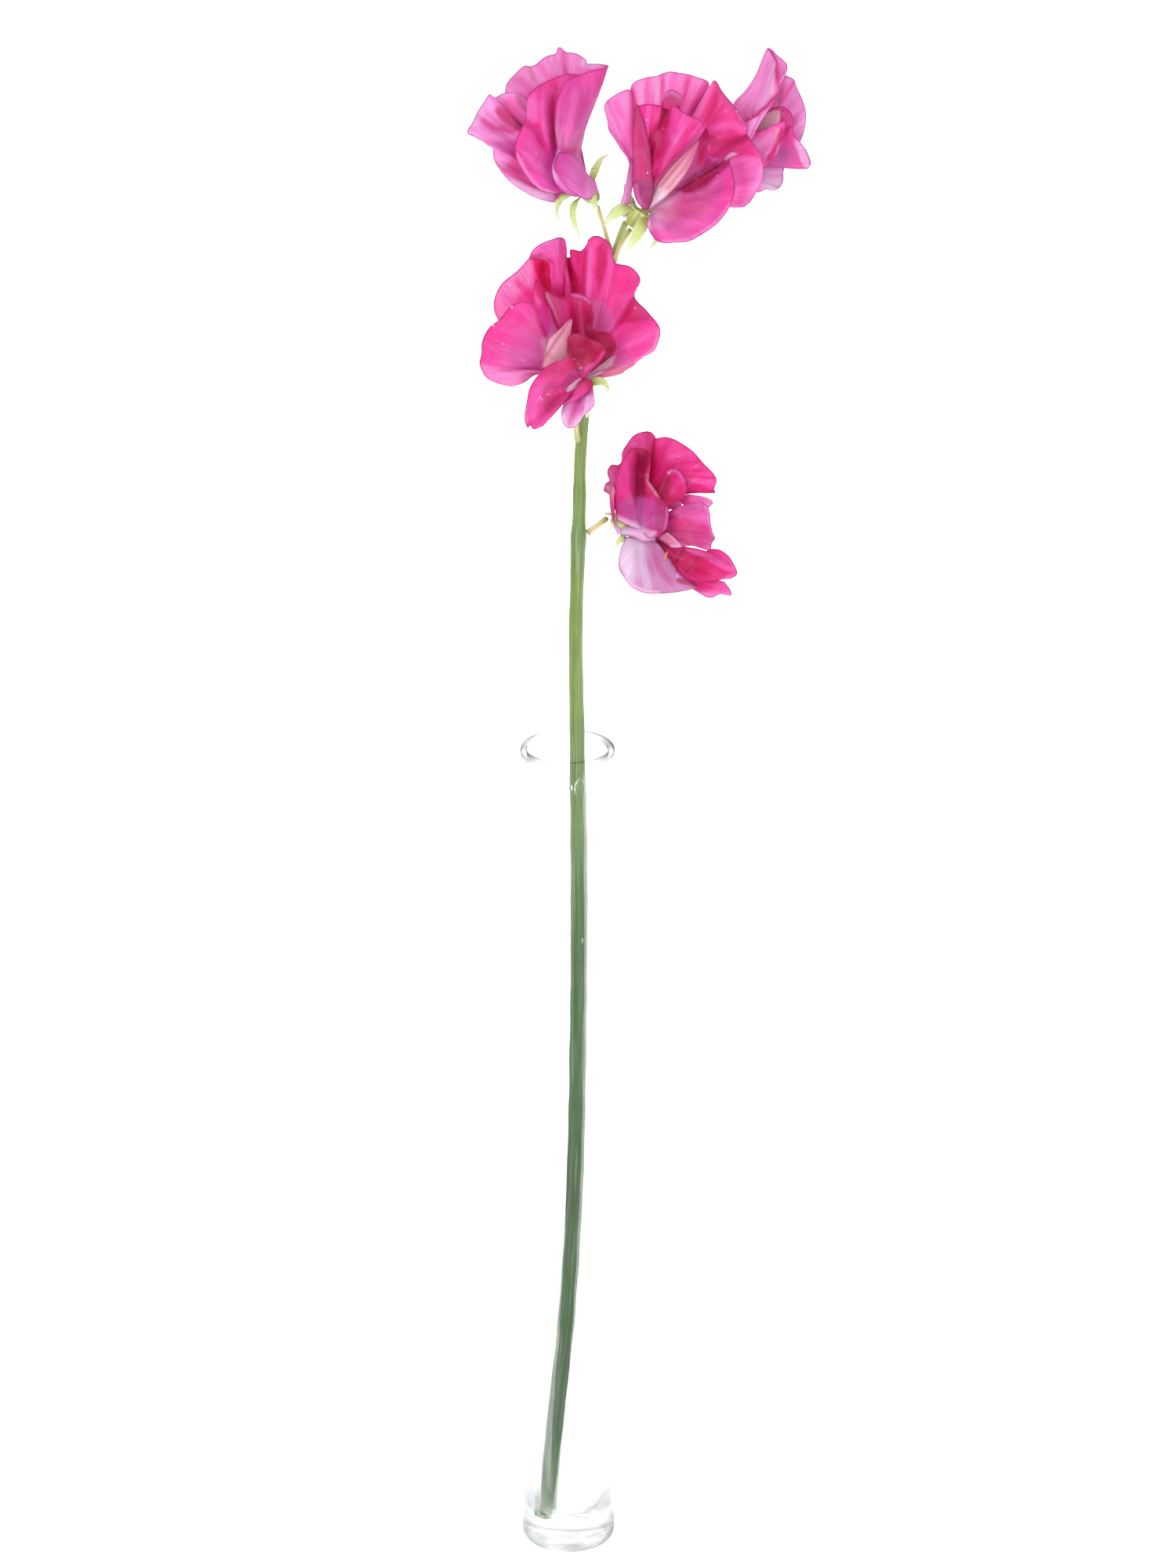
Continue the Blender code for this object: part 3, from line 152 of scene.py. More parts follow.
def smooth_curve(points: np.ndarray, knots: np.ndarray, samples: np.ndarray) -> np.ndarray:
    """A smooth curve through points.

    Args:
        points: The points it passes.
        knots: The parameter of each point, rising.
        samples: The parameters to read it at.

    Returns:
        One point for each sample.
    """
    points = np.asarray(points, float)
    knots = np.asarray(knots, float)
    samples = np.asarray(samples, float)
    if len(points) == 1:
        return np.repeat(points, len(samples), axis=0)
    steps = np.diff(knots)
    chords = np.diff(points, axis=0) / steps[:, None]
    slopes = np.empty_like(points)
    slopes[0], slopes[-1] = chords[0], chords[-1]
    if len(points) > 2:
        before, after = steps[:-1, None], steps[1:, None]
        slopes[1:-1] = (chords[1:] * before + chords[:-1] * after) / (before + after)
    span = np.clip(np.searchsorted(knots, samples, side="right") - 1, 0, len(steps) - 1)
    width = steps[span][:, None]
    t = ((samples - knots[span]) / steps[span])[:, None]
    return (
        points[span] * (2 * t**3 - 3 * t**2 + 1)
        + slopes[span] * width * (t**3 - 2 * t**2 + t)
        + points[span + 1] * (3 * t**2 - 2 * t**3)
        + slopes[span + 1] * width * (t**3 - t**2)
    )


def length_knots(points: np.ndarray, power: float = 1.0) -> np.ndarray:
    """Knots spaced by the distance between points.

    Args:
        points: The points to space.
        power: 1 for true distance, less to even the knots out.

    Returns:
        One knot for each point, from 0 to 1.
    """
    gaps = np.linalg.norm(np.diff(np.asarray(points, float), axis=0), axis=1)
    run = np.concatenate([[0.0], np.cumsum(np.maximum(gaps, 0.01) ** power)])
    return run / run[-1]


def distance_to(spots: np.ndarray, line: list[Spot]) -> tuple[np.ndarray, np.ndarray]:
    """How far spots are from a line of straight pieces.

    Args:
        spots: Places in a plane, with the two coordinates last.
        line: The line's corners.

    Returns:
        The distance of each spot, and the share of the line's length where it is nearest.
    """
    corners = np.array(line, float)
    shares = length_knots(corners)
    nearest = np.full(spots.shape[:-1], np.inf)
    share = np.zeros(spots.shape[:-1])
    for start, end, low, high in zip(corners, corners[1:], shares, shares[1:]):
        way = end - start
        along = np.clip(((spots - start) @ way) / max(way @ way, 1e-9), 0.0, 1.0)
        away = np.linalg.norm(spots - start - along[..., None] * way, axis=-1)
        closer = away < nearest
        nearest = np.where(closer, away, nearest)
        share = np.where(closer, low + (high - low) * along, share)
    return nearest, share


def inside(spots: np.ndarray, outline: list[Spot]) -> np.ndarray:
    """Which spots lie inside a closed outline.

    Args:
        spots: Places in a plane, with the two coordinates last.
        outline: The outline's corners in order.

    Returns:
        True for each spot within it.
    """
    x, y = spots[..., 0], spots[..., 1]
    within = np.zeros(x.shape, bool)
    corners = np.array(outline, float)
    for (ax, ay), (bx, by) in zip(corners, np.roll(corners, -1, axis=0)):
        crosses = (ay > y) != (by > y)
        at = ax + (y - ay) * (bx - ax) / (by - ay if by != ay else 1e-9)
        within ^= crosses & (x < at)
    return within


def on_ribs(rib: np.ndarray, limits: Range) -> np.ndarray:
    """A mask that is 1 on the ribs between two numbers and fades half a rib outside them."""
    return ease(limits[0] - 0.5, limits[0], rib) * (1 - ease(limits[1], limits[1] + 0.5, rib))


@dataclass(frozen=True)
class Wash:
    """A soft-edged patch of one tone, outlined in the bloom's (right, up) plane."""

    tone: Tone
    outline: list[Spot]
    soft: float = 1.2
    strength: float = 1.0
    ribs: Range = ALL_RIBS

    def cover(self, spots: np.ndarray, rib: np.ndarray) -> np.ndarray:
        """How much of the tone each place takes.

        Args:
            spots: Places in the bloom's (right, up) plane.
            rib: The rib number of each place.

        Returns:
            Shares from 0 to 1.
        """
        away = distance_to(spots, self.outline + self.outline[:1])[0]
        signed = np.where(inside(spots, self.outline), away, -away)
        mask = ease(-self.soft / 2, self.soft / 2, signed)
        return self.strength * mask * on_ribs(rib, self.ribs)


@dataclass(frozen=True)
class Stroke:
    """A soft line of one tone, drawn in the bloom's (right, up) plane."""

    tone: Tone
    line: list[Spot]
    width: float = 0.6
    soft: float = 0.6
    strength: float = 0.8
    ribs: Range = ALL_RIBS

    def cover(self, spots: np.ndarray, rib: np.ndarray) -> np.ndarray:
        """How much of the tone each place takes.

        Args:
            spots: Places in the bloom's (right, up) plane.
            rib: The rib number of each place.

        Returns:
            Shares from 0 to 1.
        """
        away, share = distance_to(spots, self.line)
        half = 0.5 * self.width * np.clip(4 * share * (1 - share) + 0.35, 0.0, 1.0)
        mask = 1 - ease(0.0, self.soft, away - half)
        return self.strength * mask * on_ribs(rib, self.ribs)


@dataclass(frozen=True)
class Pleat:
    """A ridge pressed forward along a line, or with a negative lift a valley."""

    line: list[Spot]
    width: float
    lift: float
    ribs: Range = ALL_RIBS

    def raise_at(self, spots: np.ndarray, rib: np.ndarray) -> np.ndarray:
        """How far each place moves forward.

        Args:
            spots: Places in the bloom's (right, up) plane.
            rib: The rib number of each place.

        Returns:
            Millimetres forward.
        """
        away, share = distance_to(spots, self.line)
        fade = np.clip(6 * share * (1 - share) + 0.2, 0.0, 1.0)
        return self.lift * fade * np.exp(-((away / self.width) ** 2)) * on_ribs(rib, self.ribs)


@dataclass(frozen=True)
class Wire:
    """One output of a shader node.  Python's operators on it add Math nodes."""

    paper: "Paper"
    socket: bpy.types.NodeSocket

    def math(self, operation: str, *others: "Wire | float", swap: bool = False) -> "Wire":
        """Adds one Math node.

        Args:
            operation: The node's operation.
            others: Its further inputs.
            swap: Whether this value comes second.

        Returns:
            The node's output.
        """
        inputs = [self, *others][:: -1 if swap else 1]
        made = self.paper.add("ShaderNodeMath", {"operation": operation}, dict(enumerate(inputs)))
        return made["Value"]

    def __add__(self, other: "Wire | float") -> "Wire":
        """self + other."""
        return self.math("ADD", other)

    def __radd__(self, other: float) -> "Wire":
        """other + self."""
        return self.math("ADD", other)

    def __sub__(self, other: "Wire | float") -> "Wire":
        """self - other."""
        return self.math("SUBTRACT", other)

    def __rsub__(self, other: float) -> "Wire":
        """other - self."""
        return self.math("SUBTRACT", other, swap=True)

    def __mul__(self, other: "Wire | float") -> "Wire":
        """self * other."""
        return self.math("MULTIPLY", other)

    def __rmul__(self, other: float) -> "Wire":
        """other * self."""
        return self.math("MULTIPLY", other)

    def __abs__(self) -> "Wire":
        """The value without its sign."""
        return self.math("ABSOLUTE")

    def step(self, low: float, high: float) -> "Wire":
        """A straight ramp of the value.

        Args:
            low: The value that becomes 0.
            high: The value that becomes 1.

        Returns:
            The ramp, held between 0 and 1.
        """
        made = self.paper.add(
            "ShaderNodeMapRange", {"clamp": True}, {"Value": self, "From Min": low, "From Max": high}
        )
        return made["Result"]


@dataclass(frozen=True)
class Made:
    """A shader node that was just added."""

    paper: "Paper"
    node: bpy.types.Node

    def __getitem__(self, output: str | int) -> Wire:
        """The output of that name or number."""
        return Wire(self.paper, self.node.outputs[output])


class Paper:
    """The node tree of a material or of the world, with its output waiting."""

    def __init__(self, owner: bpy.types.Material | bpy.types.World) -> None:
        """Clears the owner's tree.

        Args:
            owner: The material or world to draw on.
        """
        owner.use_nodes = True
        self.tree = owner.node_tree
        self.tree.nodes.clear()
        kind = "World" if isinstance(owner, bpy.types.World) else "Material"
        self.output = self.tree.nodes.new("ShaderNodeOutput" + kind)

    def add(self, kind: str, settings: dict | None = None, sockets: dict | None = None) -> Made:
        """Adds any node.

        Args:
            kind: The node's type.
            settings: Its own settings, set first; "stops" fills a ramp.
            sockets: What its inputs hold: numbers, colours or wires.

        Returns:
            The node.
        """
        node = self.tree.nodes.new(kind)
        for name, value in (settings or {}).items():
            if name == "stops":
                self.fill(node.color_ramp, value)
            else:
                setattr(node, name, value)
        for name, value in (sockets or {}).items():
            if isinstance(value, Wire):
                self.tree.links.new(value.socket, node.inputs[name])
            else:
                node.inputs[name].default_value = value
        return Made(self, node)

    @staticmethod
    def fill(ramp: bpy.types.ColorRamp, stops: list[tuple[float, Tone]]) -> None:
        """Sets a colour ramp's stops.

        Args:
            ramp: The ramp.
            stops: A place from 0 to 1 and a tone for each.
        """
        while len(ramp.elements) < len(stops):
            ramp.elements.new(1.0)
        for element, (place, tone) in zip(ramp.elements, stops):
            element.position = place
            element.color = (*tone.linear, 1.0)

    def blend(
        self, first: Wire | Colour, second: Wire | Colour, amount: Wire | float, mode: str = "MIX"
    ) -> Wire:
        """Mixes two colours.

        Args:
            first: The colour or wire under it.
            second: The colour or wire on top.
            amount: How much of the second.
            mode: The way of mixing.

        Returns:
            The mixed colour.
        """
        made = self.add(
            "ShaderNodeMix", {"data_type": "RGBA", "blend_type": mode}, {0: amount, 6: first, 7: second}
        )
        return made[2]

    def stretched(self, vector: Wire, by: Point) -> Wire:
        """A vector with each of its parts multiplied."""
        return self.add("ShaderNodeVectorMath", {"operation": "MULTIPLY"}, {0: vector, 1: by})["Vector"]

    def noise(self, vector: Wire, scale: float, detail: float = 2.0) -> Wire:
        """A cloudy pattern, from 0 to 1.

        Args:
            vector: Where to read it.
            scale: How fine it is.
            detail: How many finer layers it has.

        Returns:
            The pattern's value.
        """
        return self.add("ShaderNodeTexNoise", {}, {"Vector": vector, "Scale": scale, "Detail": detail})["Fac"]

    def finish(self, surface: Wire) -> None:
        """Links a shader to the output."""
        self.tree.links.new(surface.socket, self.output.inputs["Surface"])


@dataclass(frozen=True)
class PetalFinish:
    """Thin veined petal skin: satin above, and light passes through it from behind."""

    name: str
    through: Tone
    vein: float = 0.3
    glow: float = 0.3
    satin: float = 0.5
    outline: float = 0.75

    def make(self) -> bpy.types.Material:
        """Draws the material.

        Returns:
            The finished material.
        """
        material = bpy.data.materials.new(self.name)
        paper = Paper(material)
        run = paper.add("ShaderNodeAttribute", {"attribute_name": "run"})["Vector"]
        tint = paper.add("ShaderNodeAttribute", {"attribute_name": "tint"})["Color"]
        place = paper.add("ShaderNodeTexCoord")["Object"]
        wander = paper.noise(paper.stretched(run, (0.5, 0.22, 0.0)), 1.0)
        threads = paper.noise(paper.stretched(run, (1.5, 0.07, 0.0)), 1.0, 3.0)
        lines = 1 - abs(threads - 0.5).step(0.0, 0.07)
        fibres = paper.noise(paper.stretched(run, (5.0, 0.25, 0.0)), 1.0, 2.0)
        cells = paper.noise(place, 3800.0, 1.0)
        cloud = paper.noise(place, 260.0, 3.0)
        cooled = paper.blend(tint, (0.97, 0.94, 1.0, 1.0), 1.0, "MULTIPLY")
        veined = paper.blend(cooled, (0.80, 0.30, 0.62, 1.0), lines * wander * self.vein * 2.2, "MULTIPLY")
        shaded = paper.blend(veined, (0.84, 0.50, 0.78, 1.0), fibres.step(0.45, 0.8) * self.vein, "MULTIPLY")
        lifted = paper.blend(shaded, (0.9, 0.55, 0.95, 1.0), cloud.step(0.5, 0.85) * 0.12, "SCREEN")
        margin = paper.add("ShaderNodeSeparateXYZ", {}, {"Vector": run})["Z"]
        line = (1 - margin.step(0.12, 0.55)) * self.outline
        rimmed = paper.blend(lifted, (0.52, 0.20, 0.42, 1.0), line, "MULTIPLY")
        # Painted glints: rare tiny near-white dots mixed into the base colour, standing in for sparkles of
        # light on the petals.
        painted_glints = paper.noise(place, 800.0, 1.0).step(0.76, 0.80)
        glinted = paper.blend(rimmed, (0.97, 0.90, 0.96, 1.0), painted_glints * 0.7)
        height = lines * -0.5 + fibres * 0.8 + cells * 0.12
        bump = paper.add("ShaderNodeBump", {}, {"Strength": 0.35, "Distance": 0.00016, "Height": height})
        skin = paper.add(
            "ShaderNodeBsdfPrincipled",
            {},
            {
                "Base Color": glinted,
                "Roughness": self.satin + cloud * 0.12,
                "Specular IOR Level": 0.32,
                "Sheen Weight": 0.12,
                "Sheen Roughness": 0.4,
                "Normal": bump["Normal"],
            },
        )
        lit = paper.add(
            "ShaderNodeBsdfTranslucent",
            {},
            {"Color": (*self.through.linear, 1.0), "Normal": bump["Normal"]},
        )
        mixed = paper.add("ShaderNodeMixShader", {}, {0: self.glow, 1: skin["BSDF"], 2: lit["BSDF"]})
        paper.finish(mixed["Shader"])
        return material


@dataclass(frozen=True)
class GreenFinish:
    """Living green skin: ribbed lengthwise, softly waxy, with fine down."""

    name: str
    streak: float = 0.35
    wax: float = 0.46
    down: float = 0.15

    def make(self) -> bpy.types.Material:
        """Draws the material.

        Returns:
            The finished material.
        """
        material = bpy.data.materials.new(self.name)
        paper = Paper(material)
        run = paper.add("ShaderNodeAttribute", {"attribute_name": "run"})["Vector"]
        tint = paper.add("ShaderNodeAttribute", {"attribute_name": "tint"})["Color"]
        place = paper.add("ShaderNodeTexCoord")["Object"]
        ribs = paper.noise(paper.stretched(run, (2.2, 0.04, 2.2)), 1.0, 3.0)
        cloud = paper.noise(place, 180.0, 4.0)
        cells = paper.noise(place, 5200.0, 1.0)
        dark = paper.blend(tint, (0.52, 0.60, 0.42, 1.0), ribs.step(0.52, 0.75) * self.streak, "MULTIPLY")
        pale = paper.blend(dark, (0.80, 0.86, 0.70, 1.0), (1 - ribs.step(0.25, 0.5)) * self.streak * 0.6)
        mottled = paper.blend(pale, (0.62, 0.68, 0.50, 1.0), cloud.step(0.5, 0.9) * 0.22, "MULTIPLY")
        height = ribs + cells * 0.15
        bump = paper.add("ShaderNodeBump", {}, {"Strength": 0.4, "Distance": 0.0002, "Height": height})
        skin = paper.add(
            "ShaderNodeBsdfPrincipled",
            {},
            {
                "Base Color": mottled,
                "Roughness": self.wax + cloud * 0.15,
                "Specular IOR Level": 0.4,
                "Sheen Weight": self.down,
                "Sheen Roughness": 0.35,
                "Normal": bump["Normal"],
            },
        )
        paper.finish(skin["BSDF"])
        return material


@dataclass(frozen=True)
class GlassFinish:
    """Clear drawn glass, faintly uneven, or with a lower index the water on it; painted grey shade darkens
    the thick foot, the lower sides, the silhouette and the rim top.
    """

    name: str
    index: float = 1.5
    ripple: float = 0.06
    fused: float = 1.0

    def make(self) -> bpy.types.Material:
        """Draws the material.

        Returns:
            The finished material.
        """
        material = bpy.data.materials.new(self.name)
        paper = Paper(material)
        place = paper.add("ShaderNodeTexCoord")["Object"]
        wave = paper.noise(paper.stretched(place, (1.0, 1.0, 0.3)), 70.0, 1.0)
        height = paper.add("ShaderNodeSeparateXYZ", {}, {"Vector": place})["Z"]
        grazing = paper.add("ShaderNodeLayerWeight", {}, {"Blend": 0.5})["Facing"]
        streaks = paper.noise(paper.stretched(place, (1.0, 1.0, 3.5)), 160.0, 2.0).step(0.35, 0.7)
        # Painted shade: grey in the thick foot (streaky), in wedges at the lower sides where the surface
        # turns away, and along the silhouette, standing in for the dark seen through thick glass.
        foot = (1 - height.step(0.004, 0.010)) * (0.30 + streaks * 0.70)
        wedge = (1 - height.step(0.012, 0.036)) * grazing.step(0.30, 1.0) * (0.5 + streaks * 0.5)
        side = grazing.step(0.8, 1.0) * 0.6
        bare = (0.99, 0.995, 0.993, 1.0)
        shaded_glass = paper.blend(bare, SHADE_GREY, foot)
        shaded_glass = paper.blend(shaded_glass, SHADE_GREY, wedge)
        body = paper.blend(shaded_glass, (0.74, 0.76, 0.77, 1.0), side)
        smear = paper.noise(place, 240.0, 3.0)
        bump = paper.add(
            "ShaderNodeBump", {}, {"Strength": self.ripple, "Distance": 0.0005, "Height": wave}
        )
        glass = paper.add(
            "ShaderNodeBsdfPrincipled",
            {},
            {
                "Base Color": body,
                "Roughness": smear.step(0.55, 0.9) * 0.05,
                "IOR": self.index,
                "Specular Tint": (0.3, 0.3, 0.3, 1.0),
                "Transmission Weight": 1.0,
                "Normal": bump["Normal"],
            },
        )
        clear = paper.add("ShaderNodeBsdfTransparent")
        # A dark see-through film, mixed in as painted shade.
        shade_film = paper.add("ShaderNodeBsdfTransparent", {}, {"Color": (0.20, 0.22, 0.24, 1.0)})
        uneven = 0.25 + paper.noise(place, 90.0, 1.0).step(0.35, 0.65) * 0.75
        top = height.step(0.2290, 0.2350)
        # Painted shade on the top of the rim; edge is how much dark film each place takes as painted shade at
        # rim, foot, wedges and silhouette.
        rimmed = grazing.step(0.15, 0.8) * height.step(0.2352, 0.2366)
        edge = (rimmed + foot * 0.6 + wedge * 0.8 + side * 0.25) * uneven
        lip = paper.add("ShaderNodeMixShader", {}, {0: edge, 1: clear["BSDF"], 2: shade_film["BSDF"]})
        through = 0.30 + grazing.step(0.55, 0.9) * 0.6
        share = (top + (1 - top) * through) * self.fused
        walled = paper.add("ShaderNodeMixShader", {}, {0: share, 1: glass["BSDF"], 2: lip["Shader"]})
        lamp = paper.add("ShaderNodeLightPath")["Is Shadow Ray"]
        mixed = paper.add("ShaderNodeMixShader", {}, {0: lamp, 1: walled["Shader"], 2: clear["BSDF"]})
        paper.finish(mixed["Shader"])
        return material


@dataclass(frozen=True)
class TableFinish:
    """A plain white table that glows a little, so that it stays white under soft light."""

    name: str = "white_table"
    glow: float = 0.55

    def make(self) -> bpy.types.Material:
        """Draws the material.

        Returns:
            The finished material.
        """
        material = bpy.data.materials.new(self.name)
        paper = Paper(material)
        table = paper.add(
            "ShaderNodeBsdfPrincipled",
            {},
            {
                "Base Color": TABLE_WHITE,
                "Roughness": 0.9,
                "Specular IOR Level": 0.1,
                "Emission Color": WHITE,
                "Emission Strength": self.glow,
            },
        )
        paper.finish(table["BSDF"])
        return material


class Finish(Enum):
    """Every finish of the sprig and its tube."""

    PALE = PetalFinish("pale_petal_finish", Tone.SHELL, vein=0.38, glow=0.34)
    AIRY = PetalFinish("airy_petal_finish", Tone.LILAC, vein=0.40, glow=0.20)
    ORCHID = PetalFinish("orchid_petal_finish", Tone.LILAC, vein=0.42, glow=0.22)
    BRIGHT = PetalFinish("pink_petal_finish", Tone.PINK, vein=0.42, glow=0.28)
    DEEP = PetalFinish("crimson_petal_finish", Tone.MAGENTA, vein=0.40, glow=0.20)
    MILKY = PetalFinish("lilac_petal_finish", Tone.SHELL, vein=0.30, glow=0.25)
    CREAM = PetalFinish("cream_petal_finish", Tone.BLUSH, vein=0.24, glow=0.18)
    STEM = GreenFinish("stem_skin_finish")
    STALK = GreenFinish("stalk_skin_finish", streak=0.4, wax=0.5)
    CUP = GreenFinish("cup_skin_finish", streak=0.3, wax=0.5, down=0.25)
    STAMEN = GreenFinish("stamen_skin_finish", streak=0.15, wax=0.6)
    GLASS = GlassFinish("clear_glass_finish")
    WATER = GlassFinish("water_bead_finish", index=1.33, ripple=0.0, fused=0.0)

    @property
    def material(self) -> bpy.types.Material:
        """The finish's material, made when it is first asked for."""
        return bpy.data.materials.get(self.value.name) or self.value.make()


def waves(rng: np.random.Generator, across: np.ndarray, along: np.ndarray, size: float) -> np.ndarray:
    """Gentle random swells over a sheet.

    Args:
        rng: The source of its random turns.
        across: Millimetres across, one for each place.
        along: Millimetres along.
        size: The usual length of a swell in millimetres.

    Returns:
        A height from about -1 to 1 at each place.
    """
    total = np.zeros_like(across)
    for _ in range(5):
        turn, phase, pitch = rng.uniform(0, math.tau), rng.uniform(0, math.tau), rng.uniform(0.7, 1.5)
        way = across * math.cos(turn) + along * math.sin(turn)
        total += np.sin(math.tau * way / (size * pitch) + phase)
    return total / 2.6


@dataclass(frozen=True)
class Patch:
    """The places of one sheet, row by row, with what its finish reads there."""

    points: np.ndarray
    tint: np.ndarray
    run: np.ndarray


class Maker:
    """Makes mesh objects the way a modeller would: a grid is added, shaped and thickened."""

    @staticmethod
    def alone() -> None:
        """Leaves nothing selected."""
        bpy.ops.object.select_all(action="DESELECT")

    @classmethod
    def sheet(cls, name: str, patch: Patch) -> bpy.types.Object:
        """A grid laid over a patch.

        Args:
            name: The object's name.
            patch: Where its corners go, in metres, and their colours.

        Returns:
            The new object, at the origin.
        """
        rows, columns = patch.points.shape[:2]
        cls.alone()
        bpy.ops.mesh.primitive_grid_add(
            x_subdivisions=columns - 1, y_subdivisions=rows - 1, size=1.0, calc_uvs=True
        )
        piece = bpy.context.object
        piece.name = piece.data.name = name
        mesh = piece.data
        mesh.vertices.foreach_set("co", patch.points.astype(np.float32).ravel())
        tint = mesh.attributes.new("tint", "FLOAT_COLOR", "POINT")
        whole = np.concatenate([patch.tint, np.ones((rows, columns, 1))], axis=2)
        tint.data.foreach_set("color", whole.astype(np.float32).ravel())
        run = mesh.attributes.new("run", "FLOAT_VECTOR", "POINT")
        run.data.foreach_set("vector", patch.run.astype(np.float32).ravel())
        mesh.update()
        bpy.ops.object.shade_smooth()
        return piece

    @classmethod
    def thicken(cls, piece: bpy.types.Object, thickness: float, share: np.ndarray | None = None) -> None:
        """Gives a sheet its thickness, to both sides.

        Args:
            piece: The sheet.
            thickness: Millimetres at the thickest.
            share: The share of it that each corner takes, or all of it everywhere.
        """
        wall = piece.modifiers.new("wall", "SOLIDIFY")
        wall.thickness = thickness * MM
        wall.offset = 0.0
        wall.use_quality_normals = True
        if share is not None:
            group = piece.vertex_groups.new(name="wall")
            for corner, weight in enumerate(share.ravel()):
                group.add([corner], float(weight), "REPLACE")
            wall.vertex_group = group.name
        bpy.context.view_layer.objects.active = piece
        bpy.ops.object.modifier_apply(modifier="wall")
        piece.vertex_groups.clear()

    @classmethod
    def seal(cls, piece: bpy.types.Object) -> None:
        """Merges a wrapped sheet's seam and poles, and turns its faces outwards."""
        cls.alone()
        bpy.context.view_layer.objects.active = piece
        piece.select_set(True)
        bpy.ops.object.mode_set(mode="EDIT")
        bpy.ops.mesh.select_all(action="SELECT")
        bpy.ops.mesh.remove_doubles(threshold=1e-6)
        bpy.ops.mesh.dissolve_degenerate(threshold=1e-7)
        bpy.ops.mesh.normals_make_consistent(inside=False)
        bpy.ops.object.mode_set(mode="OBJECT")

    @classmethod
    def join(cls, name: str, pieces: list[bpy.types.Object]) -> bpy.types.Object:
        """Joins several meshes into the first of them.

        Args:
            name: The joined object's name.
            pieces: The objects.

        Returns:
            The one that is left.
        """
        cls.alone()
        for piece in pieces:
            piece.select_set(True)
        bpy.context.view_layer.objects.active = pieces[0]
        if len(pieces) > 1:
            bpy.ops.object.join()
        pieces[0].name = pieces[0].data.name = name
        return pieces[0]

    @staticmethod
    def settle(piece: bpy.types.Object, node: str, slot: str, finish: Finish) -> None:
        """Gives a piece its finish and puts it in its node's place.

        Args:
            piece: The finished mesh.
            node: The node that it stands for.
            slot: The record's material slot.
            finish: What it is dressed in.
        """
        Maker.add(piece, slot, finish)
        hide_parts(node)

    @staticmethod
    def add(piece: bpy.types.Object, slot: str, finish: Finish) -> None:
        """Gives a piece its finish and adds it to the object.

        Args:
            piece: The finished mesh.
            slot: The record's material slot; not used.
            finish: What it is dressed in.
        """
        piece.data.materials.clear()
        piece.data.materials.append(finish.material)
        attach(piece, "root")
        LOG.info("%s: %d faces", piece.name, len(piece.data.polygons))


